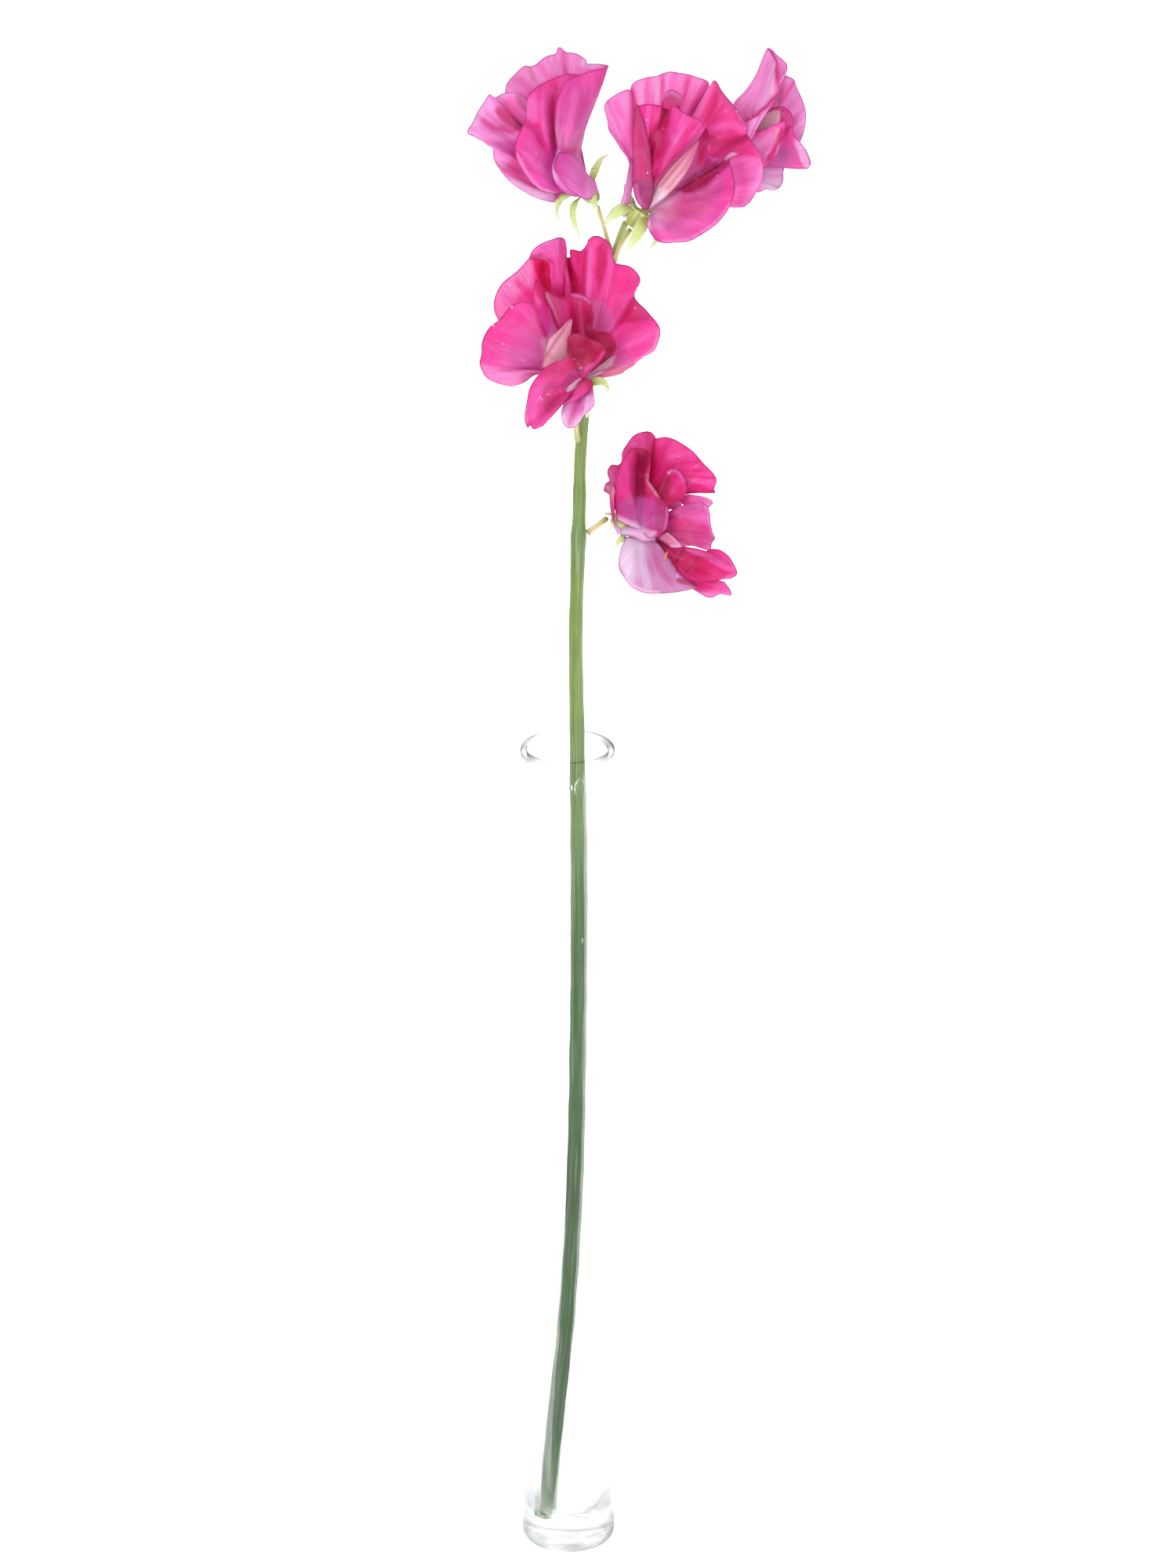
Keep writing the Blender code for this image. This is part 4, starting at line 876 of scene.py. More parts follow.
@dataclass
class Sheet:
    """A petal, or a part of one: a thin sheet over a fan of ribs, coloured by its marks."""

    claws: list[Point]
    ribs: list[Rib]
    tones: tuple[Tone, Tone, Tone]
    marks: list[Wash | Stroke] = field(default_factory=list)
    pleats: list[Pleat] = field(default_factory=list)
    thickness: float = 0.3
    swell: float = 0.0
    ruffle: float = 0.45
    claw_radius: float = 0.7
    rows: int = 58
    between: int = 6

    def rib_line(self, claw: np.ndarray, rib: Rib) -> np.ndarray:
        """Places along one rib.

        Args:
            claw: Where it starts.
            rib: The rib.

        Returns:
            One place for each row.
        """
        if isinstance(rib, list):
            points = np.vstack([claw, rib])
            knots = length_knots(points)
        else:
            tip = np.array(rib[:3])
            low = claw + 0.35 * (tip - claw) + (0.0, 0.0, rib[3])
            high = claw + 0.7 * (tip - claw) + (0.0, 0.0, rib[4])
            points = np.array([claw, low, high, tip])
            knots = np.array([0.0, 0.35, 0.7, 1.0])
        return smooth_curve(points, knots, np.linspace(0.0, 1.0, self.rows))

    def grid(self) -> tuple[np.ndarray, np.ndarray]:
        """Lays the fan out.

        Returns:
            Places by row and column, and the rib number of each column.
        """
        tips = np.array([rib[-1] if isinstance(rib, list) else rib[:3] for rib in self.ribs])
        knots = length_knots(tips, 0.5)
        if len(self.claws) > 1:
            starts = smooth_curve(self.claws, np.linspace(0.0, 1.0, len(self.claws)), knots)
        else:
            centre = np.array(self.claws[0], float)
            ahead = np.array([rib[0] if isinstance(rib, list) else rib[:3] for rib in self.ribs])
            ahead = ahead - centre
            starts = centre + self.claw_radius * ahead / np.linalg.norm(ahead, axis=1, keepdims=True)
        lines = np.array([self.rib_line(start, rib) for start, rib in zip(starts, self.ribs)])
        steps = np.arange((len(self.ribs) - 1) * self.between + 1) / self.between
        samples = np.interp(steps, np.arange(len(self.ribs)), knots)
        grid = [smooth_curve(lines[:, row], knots, samples) for row in range(self.rows)]
        return np.array(grid), steps

    def patch(self, rng: np.random.Generator, offset: float) -> Patch:
        """Shapes and colours the sheet.

        Args:
            rng: The source of its ruffles.
            offset: Where its vein pattern starts, so that no two sheets share one.

        Returns:
            The sheet's places in the bloom's frame, in millimetres.
        """
        grid, ribs = self.grid()
        rows, columns = grid.shape[:2]
        rib = np.broadcast_to(ribs, (rows, columns))
        along = np.zeros((rows, columns))
        along[1:] = np.cumsum(np.linalg.norm(np.diff(grid, axis=0), axis=2), axis=0)
        reach = along[-1].mean()
        rim_gap = np.linalg.norm(np.diff(grid, axis=1), axis=2)
        rim = np.concatenate([[0.0], np.cumsum(rim_gap[-rows // 3 :].max(axis=0))])
        across = np.broadcast_to(rim, (rows, columns))
        from_side = np.zeros((rows, columns))
        from_side[:, 1:] = np.cumsum(rim_gap, axis=1)
        side = np.minimum(from_side, from_side[:, -1:] - from_side)
        edge = np.minimum(along[-1:] - along, side)
        share = along / np.maximum(along[-1:], 1e-6)
        spots = grid[..., :2]

        claw, body, margin = (tone.linear for tone in self.tones)
        low, high = ease(0.0, 0.4, share)[..., None], ease(0.55, 1.0, share)[..., None]
        tint = claw * (1 - low) + body * low
        tint = tint * (1 - high) + margin * high
        drift = waves(rng, across, along * 0.5, 9.0)
        tint = tint * (1 + 0.07 * drift)[..., None]
        for mark in self.marks:
            cover = mark.cover(spots, rib)[..., None]
            tint = tint * (1 - cover) + mark.tone.linear * cover
        streak = waves(rng, across * 2.2, along * 0.12, 3.0)
        tint = np.clip(tint * (1 + 0.06 * streak * ease(0.1, 0.5, share))[..., None], 0.0, 1.0)

        rows_way, columns_way = np.gradient(grid, axis=0), np.gradient(grid, axis=1)
        normal = np.cross(rows_way, columns_way)
        normal = normal / np.maximum(np.linalg.norm(normal, axis=2, keepdims=True), 1e-9)
        near_rim = ease(0.0, 1.0, 1 - np.clip(edge / max(0.32 * reach, 2.0), 0, 1))
        lift = self.ruffle * near_rim * waves(rng, across, along * 0.3, 7.5)
        lift += 0.16 * self.ruffle * near_rim * waves(rng, across, along * 0.5, 2.2)
        lift += 0.10 * self.ruffle * waves(rng, across, along, 12.0) * ease(0.1, 0.4, share)
        shaped = grid + normal * (lift * ease(0.0, 0.35, share))[..., None]
        for pleat in self.pleats:
            shaped[..., 2] += pleat.raise_at(spots, rib)
        run = np.stack([across + offset, along, edge], axis=2)
        return Patch(shaped, tint, run)

    def make(self, name: str, bloom: "Bloom", seed: int) -> bpy.types.Object:
        """Makes the sheet's mesh.

        Args:
            name: The object's name.
            bloom: The bloom it belongs to.
            seed: The number its ruffles start from.

        Returns:
            The new object.
        """
        patch = self.patch(np.random.default_rng(seed), 37.0 * (seed % 97))
        rows, columns = patch.points.shape[:2]
        placed = Patch(bloom.to_world(patch.points) * MM, patch.tint, patch.run)
        piece = Maker.sheet(name, placed)
        if self.swell:
            down = np.sin(np.pi * np.linspace(0.12, 0.96, rows)) ** 0.7
            over = np.sin(np.pi * np.linspace(0.04, 0.96, columns)) ** 0.7
            width = 0.12 + self.swell * down[:, None] * over[None, :]
            Maker.thicken(piece, 2 * width.max(), width / width.max())
        else:
            thin = 0.45 + 0.55 * ease(0.0, 3.0, patch.run[..., 2])
            Maker.thicken(piece, self.thickness, thin)
        return piece


@dataclass
class Petal:
    """One petal of a bloom: its main sheet, and the flaps that belong to it."""

    part: str
    slot: str
    finish: Finish
    sheet: Sheet
    flaps: list[Sheet] = field(default_factory=list)


@dataclass
class Cup:
    """The green cup that holds a bloom, with five pointed lobes."""

    base: Point
    mouth: Point
    radius: float
    lobes: list[list[Point]]
    thickness: float = 0.4
    tones: tuple[Tone, Tone, Tone] = (Tone.PALM, Tone.LIME, Tone.MINT)

    def make(self, name: str, bloom: "Bloom", seed: int) -> bpy.types.Object:
        """Makes the cup's body and lobes as one mesh.

        Args:
            name: The object's name.
            bloom: The bloom it holds.
            seed: The number its unevenness starts from.

        Returns:
            The new object.
        """
        rng = np.random.default_rng(seed)
        base, mouth = np.array(self.base), np.array(self.mouth)
        axis = (mouth - base) / np.linalg.norm(mouth - base)
        side = np.cross(axis, (0.0, 0.0, 1.0))
        side = side / np.linalg.norm(side)
        other = np.cross(axis, side)

        def turn_of(lobe: list[Point]) -> float:
            """The angle round the axis where a lobe leaves the rim."""
            reach = np.array(lobe[0]) - mouth
            return math.atan2(reach @ other, reach @ side)

        lobes = sorted(self.lobes, key=turn_of)
        middles = np.array([turn_of(lobe) for lobe in lobes])
        pieces = [self.body(name, bloom, (base, mouth, side, other))]
        gaps = np.diff(np.append(middles, middles[0] + math.tau))
        for number, lobe in enumerate(lobes):
            turns = middles[number] + np.array([-0.42 * gaps[number - 1], 0.0, 0.42 * gaps[number]])
            rim = [
                mouth - axis * 0.5 + (side * math.cos(turn) + other * math.sin(turn)) * self.radius * 0.97
                for turn in turns
            ]
            pieces.append(self.lobe(f"{name}_lobe", bloom, rim, lobe, rng))
        return Maker.join(name, pieces)

    def body(self, name: str, bloom: "Bloom", place: tuple[np.ndarray, ...]) -> bpy.types.Object:
        """The bell of the cup.

        Args:
            name: The object's name.
            bloom: The bloom it holds.
            place: Its base, its mouth and two directions across it.

        Returns:
            The new object.
        """
        base, mouth, side, other = place
        rows, columns = 26, 57
        levels = np.array([[0.0, 0.02], [0.0, 0.38], [0.3, 0.78], [0.65, 0.95], [1.0, 1.0]])
        profile = smooth_curve(levels, length_knots(levels), np.linspace(0, 1, rows))
        turns = np.linspace(0.0, math.tau, columns)
        flute = 1 + 0.03 * np.cos(10 * turns)
        ring = side * np.cos(turns)[:, None] + other * np.sin(turns)[:, None]
        spread = (profile[:, 1:2] * flute)[..., None] * self.radius
        points = base + (mouth - base) * profile[:, :1, None] + ring[None] * spread
        shade = ease(0.2, 1.0, profile[:, 0])[:, None, None]
        tint = self.tones[0].linear * (1 - 0.6 * shade) + self.tones[1].linear * 0.6 * shade
        tint = np.broadcast_to(tint, (rows, columns, 3)) * (1 + 0.08 * np.cos(10 * turns))[None, :, None]
        run = np.stack([ring[None, :, 0] * spread[..., 0],
                        np.broadcast_to(profile[:, :1] * 4.0, (rows, columns)),
                        ring[None, :, 1] * spread[..., 0]], axis=2)
        piece = Maker.sheet(name, Patch(bloom.to_world(points) * MM, np.clip(tint, 0, 1), run))
        Maker.seal(piece)
        Maker.thicken(piece, self.thickness)
        return piece

    def lobe(
        self, name: str, bloom: "Bloom", rim: list[np.ndarray], line: list[Point], rng: np.random.Generator
    ) -> bpy.types.Object:
        """One pointed lobe.

        Args:
            name: The object's name.
            bloom: The bloom it holds.
            rim: The left, middle and right of its foot.
            line: The points its middle runs through.
            rng: The source of its unevenness.

        Returns:
            The new object.
        """
        rows, columns = 36, 11
        left, middle, right = rim
        points = np.vstack([middle, line])
        samples = np.linspace(0.0, 1.0, rows)
        spine = smooth_curve(points, length_knots(points), samples)
        width = np.interp(samples, [0.0, 0.15, 0.4, 0.65, 0.85, 1.0], [1.0, 0.95, 0.88, 0.62, 0.32, 0.03])
        cross = np.linspace(-1.0, 1.0, columns)[None, :, None]
        half = (right - left) / 2
        droop = (left + right) / 2 - middle
        faced = np.cross(np.gradient(spine, axis=0), (0.0, 0.0, 1.0))
        faced = faced / np.maximum(np.linalg.norm(faced, axis=1, keepdims=True), 1e-9)
        faced = faced * np.sign(faced @ half + 1e-9)[:, None] * max(np.linalg.norm(half), 1.0) * 1.1
        facing = (ease(0.05, 0.35, samples) * 0.8)[:, None]
        broad = (half * (1 - facing) + faced * facing)[:, None]
        fold = 0.35 * (1 - np.abs(cross)) * np.linalg.norm(half)
        outward = -droop / max(np.linalg.norm(droop), 1e-6)
        grid = spine[:, None] + width[:, None, None] * (broad * cross + droop * cross**2)
        grid = grid + outward * fold * 0.3 * width[:, None, None]
        length = np.concatenate([[0.0], np.cumsum(np.linalg.norm(np.diff(spine, axis=0), axis=1))])
        along = np.broadcast_to(length[:, None], (rows, columns))
        across = cross[..., 0] * np.linalg.norm(half) * width[:, None] + rng.uniform(0, 90)
        grid = grid + outward * (0.12 * waves(rng, across * 2, along, 5.0) * width[:, None])[..., None]
        share = samples[:, None, None]
        low, high = ease(0.0, 0.45, share), ease(0.5, 1.0, share)
        tint = self.tones[0].linear * (1 - low) + self.tones[1].linear * low
        tint = np.broadcast_to(tint * (1 - high) + self.tones[2].linear * high, (rows, columns, 3))
        midrib = 0.10 * np.exp(-((cross / 0.12) ** 2))
        veins = 1 - midrib - 0.06 * np.exp(-(((np.abs(cross) - 0.55) / 0.1) ** 2))
        run = np.stack([across, along, np.zeros_like(along)], axis=2)
        piece = Maker.sheet(name, Patch(bloom.to_world(grid) * MM, np.clip(tint * veins, 0, 1), run))
        Maker.thicken(piece, self.thickness)
        return piece


@dataclass
class Tube:
    """A stalk: a ribbed rod through points that each carry their own radius, closed at its ends."""

    route: list[tuple[float, float, float, float]]
    tones: list[tuple[float, Tone]]
    ribs: int = 5
    ribbing: float = 0.06
    columns: int = 29
    pitch: float = 0.8
    nodes: list[tuple[float, float]] = field(default_factory=list)

    def make(self, name: str, to_world: Callable[[np.ndarray], np.ndarray], seed: int) -> bpy.types.Object:
        """Makes the rod's mesh.

        Args:
            name: The object's name.
            to_world: Turns its points into the object's millimetres.
            seed: The number its unevenness starts from.

        Returns:
            The new object.
        """
        rng = np.random.default_rng(seed)
        route = np.array(self.route, float)
        route[:, :3] = to_world(route[:, :3])
        length = np.linalg.norm(np.diff(route[:, :3], axis=0), axis=1).sum()
        rows = max(int(length / self.pitch), 16)
        samples = np.linspace(0.0, 1.0, rows)
        line = smooth_curve(route, length_knots(route[:, :3]), samples)
        middle, radius = line[:, :3], line[:, 3].copy()
        for place, bulge in self.nodes:
            radius += bulge * np.exp(-(((samples - place) * length / 3.0) ** 2))
        tangent = np.gradient(middle, axis=0)
        tangent = tangent / np.linalg.norm(tangent, axis=1, keepdims=True)
        side = np.cross(np.array([0.15, 1.0, 0.1]), tangent)
        side = side / np.linalg.norm(side, axis=1, keepdims=True)
        other = np.cross(tangent, side)
        turns = np.linspace(0.0, math.tau, self.columns)
        along = np.broadcast_to((samples * length)[:, None], (rows, self.columns))
        ridge = 1 + self.ribbing * np.cos(self.ribs * (turns[None] + 0.004 * along))
        uneven = 1 + 0.03 * waves(rng, along * 0.6, along * 0.8, 14.0)
        spread = radius[:, None] * ridge * uneven
        spread[0] *= 0.02
        spread[-1] *= 0.02
        spread[1] *= 0.97
        spread[-2] *= 0.9
        middle[1], middle[-2] = middle[0] + 1e-3 * tangent[0], middle[-1] - 1e-3 * tangent[-1]
        ring = side[:, None] * np.cos(turns)[None, :, None] + other[:, None] * np.sin(turns)[None, :, None]
        points = middle[:, None] + ring * spread[..., None]
        places = [place for place, _ in self.tones]
        colours = np.array([tone.linear for _, tone in self.tones])
        tint = np.stack([np.interp(samples, places, colours[:, part]) for part in range(3)], axis=1)
        furrow = 1 + 0.10 * np.cos(self.ribs * turns) + 0.03 * np.cos(3 * turns + 1)
        tint = tint[:, None] * furrow[None, :, None]
        tint = tint * (1 + 0.08 * waves(rng, along * 0.4, along, 17.0))[..., None]
        run = np.stack([np.cos(turns)[None] * spread, along, np.sin(turns)[None] * spread], axis=2)
        piece = Maker.sheet(name, Patch(points * MM, np.clip(tint, 0.0, 1.0), run))
        Maker.seal(piece)
        return piece


@dataclass
class Bloom:
    """One flower: a stalk, a cup and petals, drawn in a frame that leans back from its cup's mouth."""

    mouth: Point
    name: str = "bloom"
    lean: float = 18.5
    seed: int = 1

    def to_world(self, points: np.ndarray) -> np.ndarray:
        """Points of the bloom's frame in the object's own millimetres."""
        turn = math.radians(self.lean)
        right, up, forward = np.moveaxis(np.asarray(points, float), -1, 0)
        back = up * math.sin(turn) - forward * math.cos(turn)
        height = up * math.cos(turn) + forward * math.sin(turn)
        return np.stack([right, back, height], axis=-1) + np.array(self.mouth)

    def petals(self) -> list[Petal]:
        """The bloom's petals, from the back to the front."""
        return []

    def cup(self) -> Cup:
        """The bloom's cup."""
        raise NotImplementedError

    def stalk(self) -> Tube:
        """The bloom's own stalk."""
        raise NotImplementedError

    def build(self) -> None:
        """Makes every piece of the bloom."""
        stalk = self.stalk().make(f"{self.name}_stalk_skin", self.to_world, self.seed + 90)
        Maker.settle(stalk, f"{self.name}_stalk", "stalk_skin", Finish.STALK)
        cup = self.cup().make(f"{self.name}_cup_skin", self, self.seed + 91)
        Maker.settle(cup, f"{self.name}_cup", "cup_skin", Finish.CUP)
        for number, petal in enumerate(self.petals()):
            name = f"{self.name}_{petal.part}_skin"
            sheets = [petal.sheet, *petal.flaps]
            made = [
                sheet.make(name, self, self.seed + 10 * number + share)
                for share, sheet in enumerate(sheets)
            ]
            piece = Maker.join(name, made)
            Maker.settle(piece, f"{self.name}_{petal.part}", petal.slot, petal.finish)


class LeftBloom(Bloom):
    """Upper left bloom, seen from its flank: its banner is folded round the wings."""

    def stalk(self) -> Tube:
        """The bloom's own stalk."""
        route = [
            (5.6, -15.4, -2.6, 0.7), (4.8, -12.8, -2.2, 0.55), (3.6, -8.5, -0.8, 0.5),
            (2.5, -5.2, -0.2, 0.55), (2, -3.3, 0, 0.6),
        ]
        return Tube(route, [(0.0, Tone.SPRIG), (0.5, Tone.STRAW), (1.0, Tone.STRAW)])

    def cup(self) -> Cup:
        """The bloom's cup."""
        lobes = [
            [(-5.8, -0.4, 0.6), (-8.2, -2.2, 0.6), (-8.9, -4.8, 0.6), (-8.2, -7.4, 0.6)],
            [(-4, -2.6, 1.4), (-4.7, -5.2, 1.4), (-4, -8.5, 1.2), (-2.6, -11.6, 1)],
            [(1.2, 4.6, 0.2), (1.9, 7, -0.4), (3.2, 9.2, -0.8), (5.3, 10.4, -1.2)],
            [(0.6, -1.6, 3), (1.2, -3, 3), (2, -4.6, 2.6)],
            [(-1.8, 3.8, -3.4), (-2.6, 7, -5), (-2.9, 11, -6)],
        ]
        return Cup((1.7, -2.2, 0), (-0.9, 1, 0.2), 2.3, lobes)

    def petals(self) -> list[Petal]:
        """The bloom's petals."""
        return [self.standard(), self.wing_far(), self.keel(), self.wing_near()]

    def standard(self) -> Petal:
        """The banner: a rosy panel near the eye, folded round to a pale ruffled fan behind."""
        claws = [(-0.2, 2.2, 1.4), (-0.5, 3.4, -0.1), (-1.4, 3.6, -1.3)]
        ribs = [
            [(-3.5, -0.9, 4.2), (-8, 1.8, 5.2), (-9.7, 6, 5.4), (-8.6, 11.5, 5), (-9.3, 17.5, 5.5),
             (-8.8, 24, 5), (-6.5, 28.8, 3.5)],
            [(-3, 0.9, 5), (-7, 4, 6.4), (-7.8, 8, 6.2), (-7, 11.5, 5), (-7, 17.5, 6.5), (-5.8, 24, 6),
             (-4, 30.3, 3.5)],
            [(-2, 2.3, 4.8), (-4.8, 5.5, 5.8), (-5.8, 9, 5.2), (-5.5, 11.8, 4), (-4.5, 17.5, 6),
             (-3, 24, 5.5), (-1, 31.5, 3)],
            [(-1.4, 3.4, 3.6), (-3, 6.5, 4), (-4.5, 9.5, 3.5), (-4.3, 12, 2.8), (-2.7, 17, 4), (0, 24, 3.5),
             (2.2, 32.4, 1.8)],
            [(-0.8, 4.8, 1.2), (-1.9, 6.8, 1.6), (-3.4, 9.3, 1.4), (-3, 12.5, 1), (-0.8, 18, 1),
             (1.7, 24.5, 0.5), (5, 33.3, 0)],
            [(-1.6, 6.6, -0.9), (-2.4, 9.6, -1.3), (-1.5, 16, -2.2), (0.5, 25, -2.6), (3, 33.9, -2)],
            (-1.4, 34.3, -5, -1.5, -1.5), (-1.6, 35.4, -6, -1.5, -1), (-3.7, 36.8, -7, -1.5, -1.5),
            (-6.3, 37.2, -8, -1.5, -1.5), (-8, 38.4, -8, -1.5, -1), (-9, 36.8, -9, -1.5, -1.5),
            (-11.5, 36, -9, -1.5, -1), (-15, 33.6, -10, -1.5, -1.5), (-17.2, 33.6, -9, -1.5, -1),
            (-19.5, 31.6, -10, -1.5, -1.5), (-22, 28.7, -10, -1.5, -1), (-22.6, 25, -9.5, -1.5, -1),
        ]
        marks = [
            Wash(Tone.SHELL, [(-24, 24), (-22, 30), (-16, 36), (-9, 40), (-1, 37), (6, 34), (-3, 31.5),
                (-9, 30.5), (-14, 27.5)], 3.0, 0.85, (6, 99)),
            Stroke(Tone.PINK, [(-6.5, 31), (-6.6, 37)], 0.8, 1.2, 0.6, (6, 99)),
            Stroke(Tone.PINK, [(-10, 29.5), (-13.5, 34)], 0.8, 1.2, 0.5, (6, 99)),
            Stroke(Tone.PINK, [(-14, 26.5), (-19, 30.5)], 0.8, 1.2, 0.5, (6, 99)),
            Stroke(Tone.ROSE, [(-3, 31), (-2, 36)], 0.7, 1.0, 0.6, (6, 99)),
            Wash(Tone.LILAC, [(-3.5, 34), (-1, 36), (3, 34.5), (5.5, 33.2), (0, 32.6)], 1.0, 0.8, (5, 9)),
            Wash(Tone.CLAY, [(-17.3, 33.8), (-15.3, 33), (-14, 30), (-15.5, 29)], 1.0, 0.6, (6, 99)),
            Wash(Tone.FUCHSIA, [(-8.5, 13), (-9, 25), (-6.5, 28.5), (-3, 30.5), (0, 24), (-3, 13.5)], 3.0,
                0.5, (0, 5)),
            Wash(Tone.DUSK, [(-6.5, 18), (-6.5, 25), (-3, 29), (-0.6, 24), (-3.6, 16)], 3.0, 0.5, (0, 5)),
            Stroke(Tone.MAGENTA, [(-8, 11.8), (-5.5, 11), (-3.2, 11)], 0.5, 0.8, 0.8, (0, 5)),
            Stroke(Tone.CLAY, [(-8.5, 17), (-6, 14.5), (-4, 12.8)], 2.0, 1.6, 0.5, (0, 5)),
            Stroke(Tone.ROSE, [(-5.8, 14), (-5, 20), (-3.6, 27)], 1.2, 1.6, 0.5, (0, 5)),
            Wash(Tone.ORCHID, [(-9.7, 6), (-8.6, 11), (-3.5, 10.5), (-1, 5.5), (1.5, 2), (0, -1.2),
                (-4, -0.9), (-7, 1.3)], 2.0, 0.9, (0, 6)),
            Stroke(Tone.LILAC, [(-8.8, 3), (-9.4, 6.5), (-8.6, 10.5)], 0.6, 0.9, 0.7, (0, 6)),
        ]
        pleats = [
            Pleat([(-5, 13), (-4.6, 20), (-3, 29)], 0.9, 0.7, (0, 5)),
            Pleat([(-1, 16), (0.2, 23), (2, 30)], 0.8, 0.5, (0, 6)),
            Pleat([(-6.5, 30), (-7.5, 37)], 0.8, -0.7, (6, 99)),
            Pleat([(-12, 28), (-15, 33)], 0.9, 0.8, (6, 99)),
            Pleat([(-16, 25.5), (-20.5, 29.5)], 0.9, -0.7, (6, 99)),
        ]
        sheet = Sheet(claws, ribs, (Tone.ORCHID, Tone.ORCHID, Tone.PINK), marks, pleats, ruffle=0.6)
        for rib, line in {
            6: [(-3.2, 9.0, -2.6), (-2.8, 16.0, -3.6), (-1.8, 25.0, -4.4), (-1.4, 34.3, -5.0)],
            7: [(-3.6, 9.0, -3.0), (-3.4, 16.0, -4.2), (-2.4, 25.0, -5.2), (-1.6, 35.4, -6.0)],
            8: [(-4.2, 10.0, -3.6), (-4.6, 18.0, -5.4), (-3.9, 28.0, -6.4), (-3.7, 36.8, -7.0)],
            9: [(-5.0, 10.0, -4.0), (-6.2, 18.0, -6.4), (-6.4, 28.0, -7.6), (-6.3, 37.2, -8.0)],
        }.items():
            sheet.ribs[rib] = line
        claws = [(1.5, 3, 1.8), (1.9, 1.6, 2.4), (1.8, 0.2, 2.4), (1.3, -0.9, 2)]
        ribs = [
            [(-0.4, 4.8, 3.4), (-3.1, 8.5, 4.8), (-5.4, 10.6, 5.6), (-8.2, 10.6, 5.8)],
            [(-0.8, 3.2, 4.8), (-3.6, 6.4, 6.4), (-6.2, 8.6, 6.9), (-9, 9, 6.4)],
            [(-0.9, 1.2, 5.2), (-3.8, 3.4, 6.9), (-6.6, 5.6, 7.3), (-9.4, 7.2, 6.6)],
            [(-0.7, -0.6, 4.8), (-3.8, 1.2, 6.4), (-6.4, 3, 7), (-8.9, 5.2, 6.4)],
            [(-0.4, -1.8, 4), (-4.4, 0.1, 5.6), (-6.4, 1.9, 6.2), (-8, 3.8, 6)],
        ]
        marks = [Wash(Tone.MALLOW, [(1.8, 3), (-0.4, 4.8), (-1.5, 1), (-0.4, -1.8), (1.6, -0.9)], 1.4, 0.7)]
        lobe = Sheet(claws, ribs, (Tone.MALLOW, Tone.ORCHID, Tone.FUCHSIA), marks, ruffle=0.25, rows=40,
            claw_radius=0.5)
        return Petal("standard", "pink_petal", Finish.ORCHID, sheet, [lobe])

    def wing_near(self) -> Petal:
        """The wing nearest the eye, bright at its lobe and dusky under it."""
        ribs = [
            (-9.3, -0.2, 1.6, 0.3, 0.5), (-12, 0.6, 2, 0.6, 1), (-15.5, 3.5, 2.5, 0.8, 1.8),
            (-18.3, 7, 3, 0.8, 2.2), (-19.6, 10.5, 3, 0.8, 2.5), (-19.4, 14, 2.8, 0.8, 2.5),
            (-17.6, 18, 2, 0.8, 2.2), (-16.8, 22, 1, 0.8, 2), (-16.3, 25.5, 0, 0.8, 1.8),
            [(-5.3, 6.1, 1.1), (-8.2, 12.4, 1.8), (-11, 20.6, 1.4), (-13.2, 28.5, -1)],
            [(-5.1, 6, 1), (-7.4, 12.2, 1.5), (-9, 21.4, 1), (-10, 30.1, -1.2)],
            [(-4.9, 5.9, 0.8), (-6.5, 12, 1), (-6.8, 22, 0.4), (-6, 31.2, -1.2)],
            [(-4.7, 5.7, 0.6), (-5.6, 11.4, 0.4), (-4.6, 20, 0), (-2.8, 31, -1.2)],
        ]
        marks = [
            Wash(Tone.HOT, [(-16.5, 26), (-13, 29.5), (-9, 30.5), (-9.5, 12), (-12, 10), (-14, 17),
                (-17, 19.5)], 2.5, 0.75),
            Wash(Tone.ROSE, [(-16.8, 25), (-14, 27), (-13.5, 19), (-15, 18), (-17, 20)], 1.6, 0.7),
            Stroke(Tone.ROSE, [(-12.2, 27), (-12, 20), (-11.2, 14)], 0.8, 1.2, 0.5),
            # Painted shadow: a crimson strip where the banner's near panel shades the wing.
            Stroke(Tone.CRIMSON, [(-8.8, 28), (-9.4, 20), (-9.2, 15), (-8.4, 12)], 0.9, 1.0, 0.8),
            Stroke(Tone.MAGENTA, [(-17.5, 19), (-14, 17), (-12.6, 12)], 0.7, 1.4, 0.7),
            Wash(Tone.DUSK, [(-12, 10.5), (-17, 13), (-19, 10), (-17, 6), (-12, 5)], 3.0, 0.35),
            Stroke(Tone.ROSE, [(-6, 2.5), (-12, 5.5), (-17, 10.5)], 0.8, 1.4, 0.5),
            Stroke(Tone.SHELL, [(-9.5, 0), (-13, 1.6), (-16.5, 5), (-19.2, 10)], 0.4, 0.7, 0.6),
        ]
        pleats = [
            Pleat([(-9.2, 27), (-9.5, 20), (-8.4, 12)], 0.9, -0.9),
            Pleat([(-12.4, 27), (-12, 19), (-10, 11)], 1.1, 0.9),
            Pleat([(-17.5, 19), (-13.8, 16.5), (-11.5, 11)], 0.8, -0.8),
        ]
        sheet = Sheet([(-2.6, 0.6, 0.9)], ribs, (Tone.ORCHID, Tone.FUCHSIA, Tone.PINK), marks, pleats,
            ruffle=0.5)
        return Petal("wing_near", "magenta_petal", Finish.ORCHID, sheet)

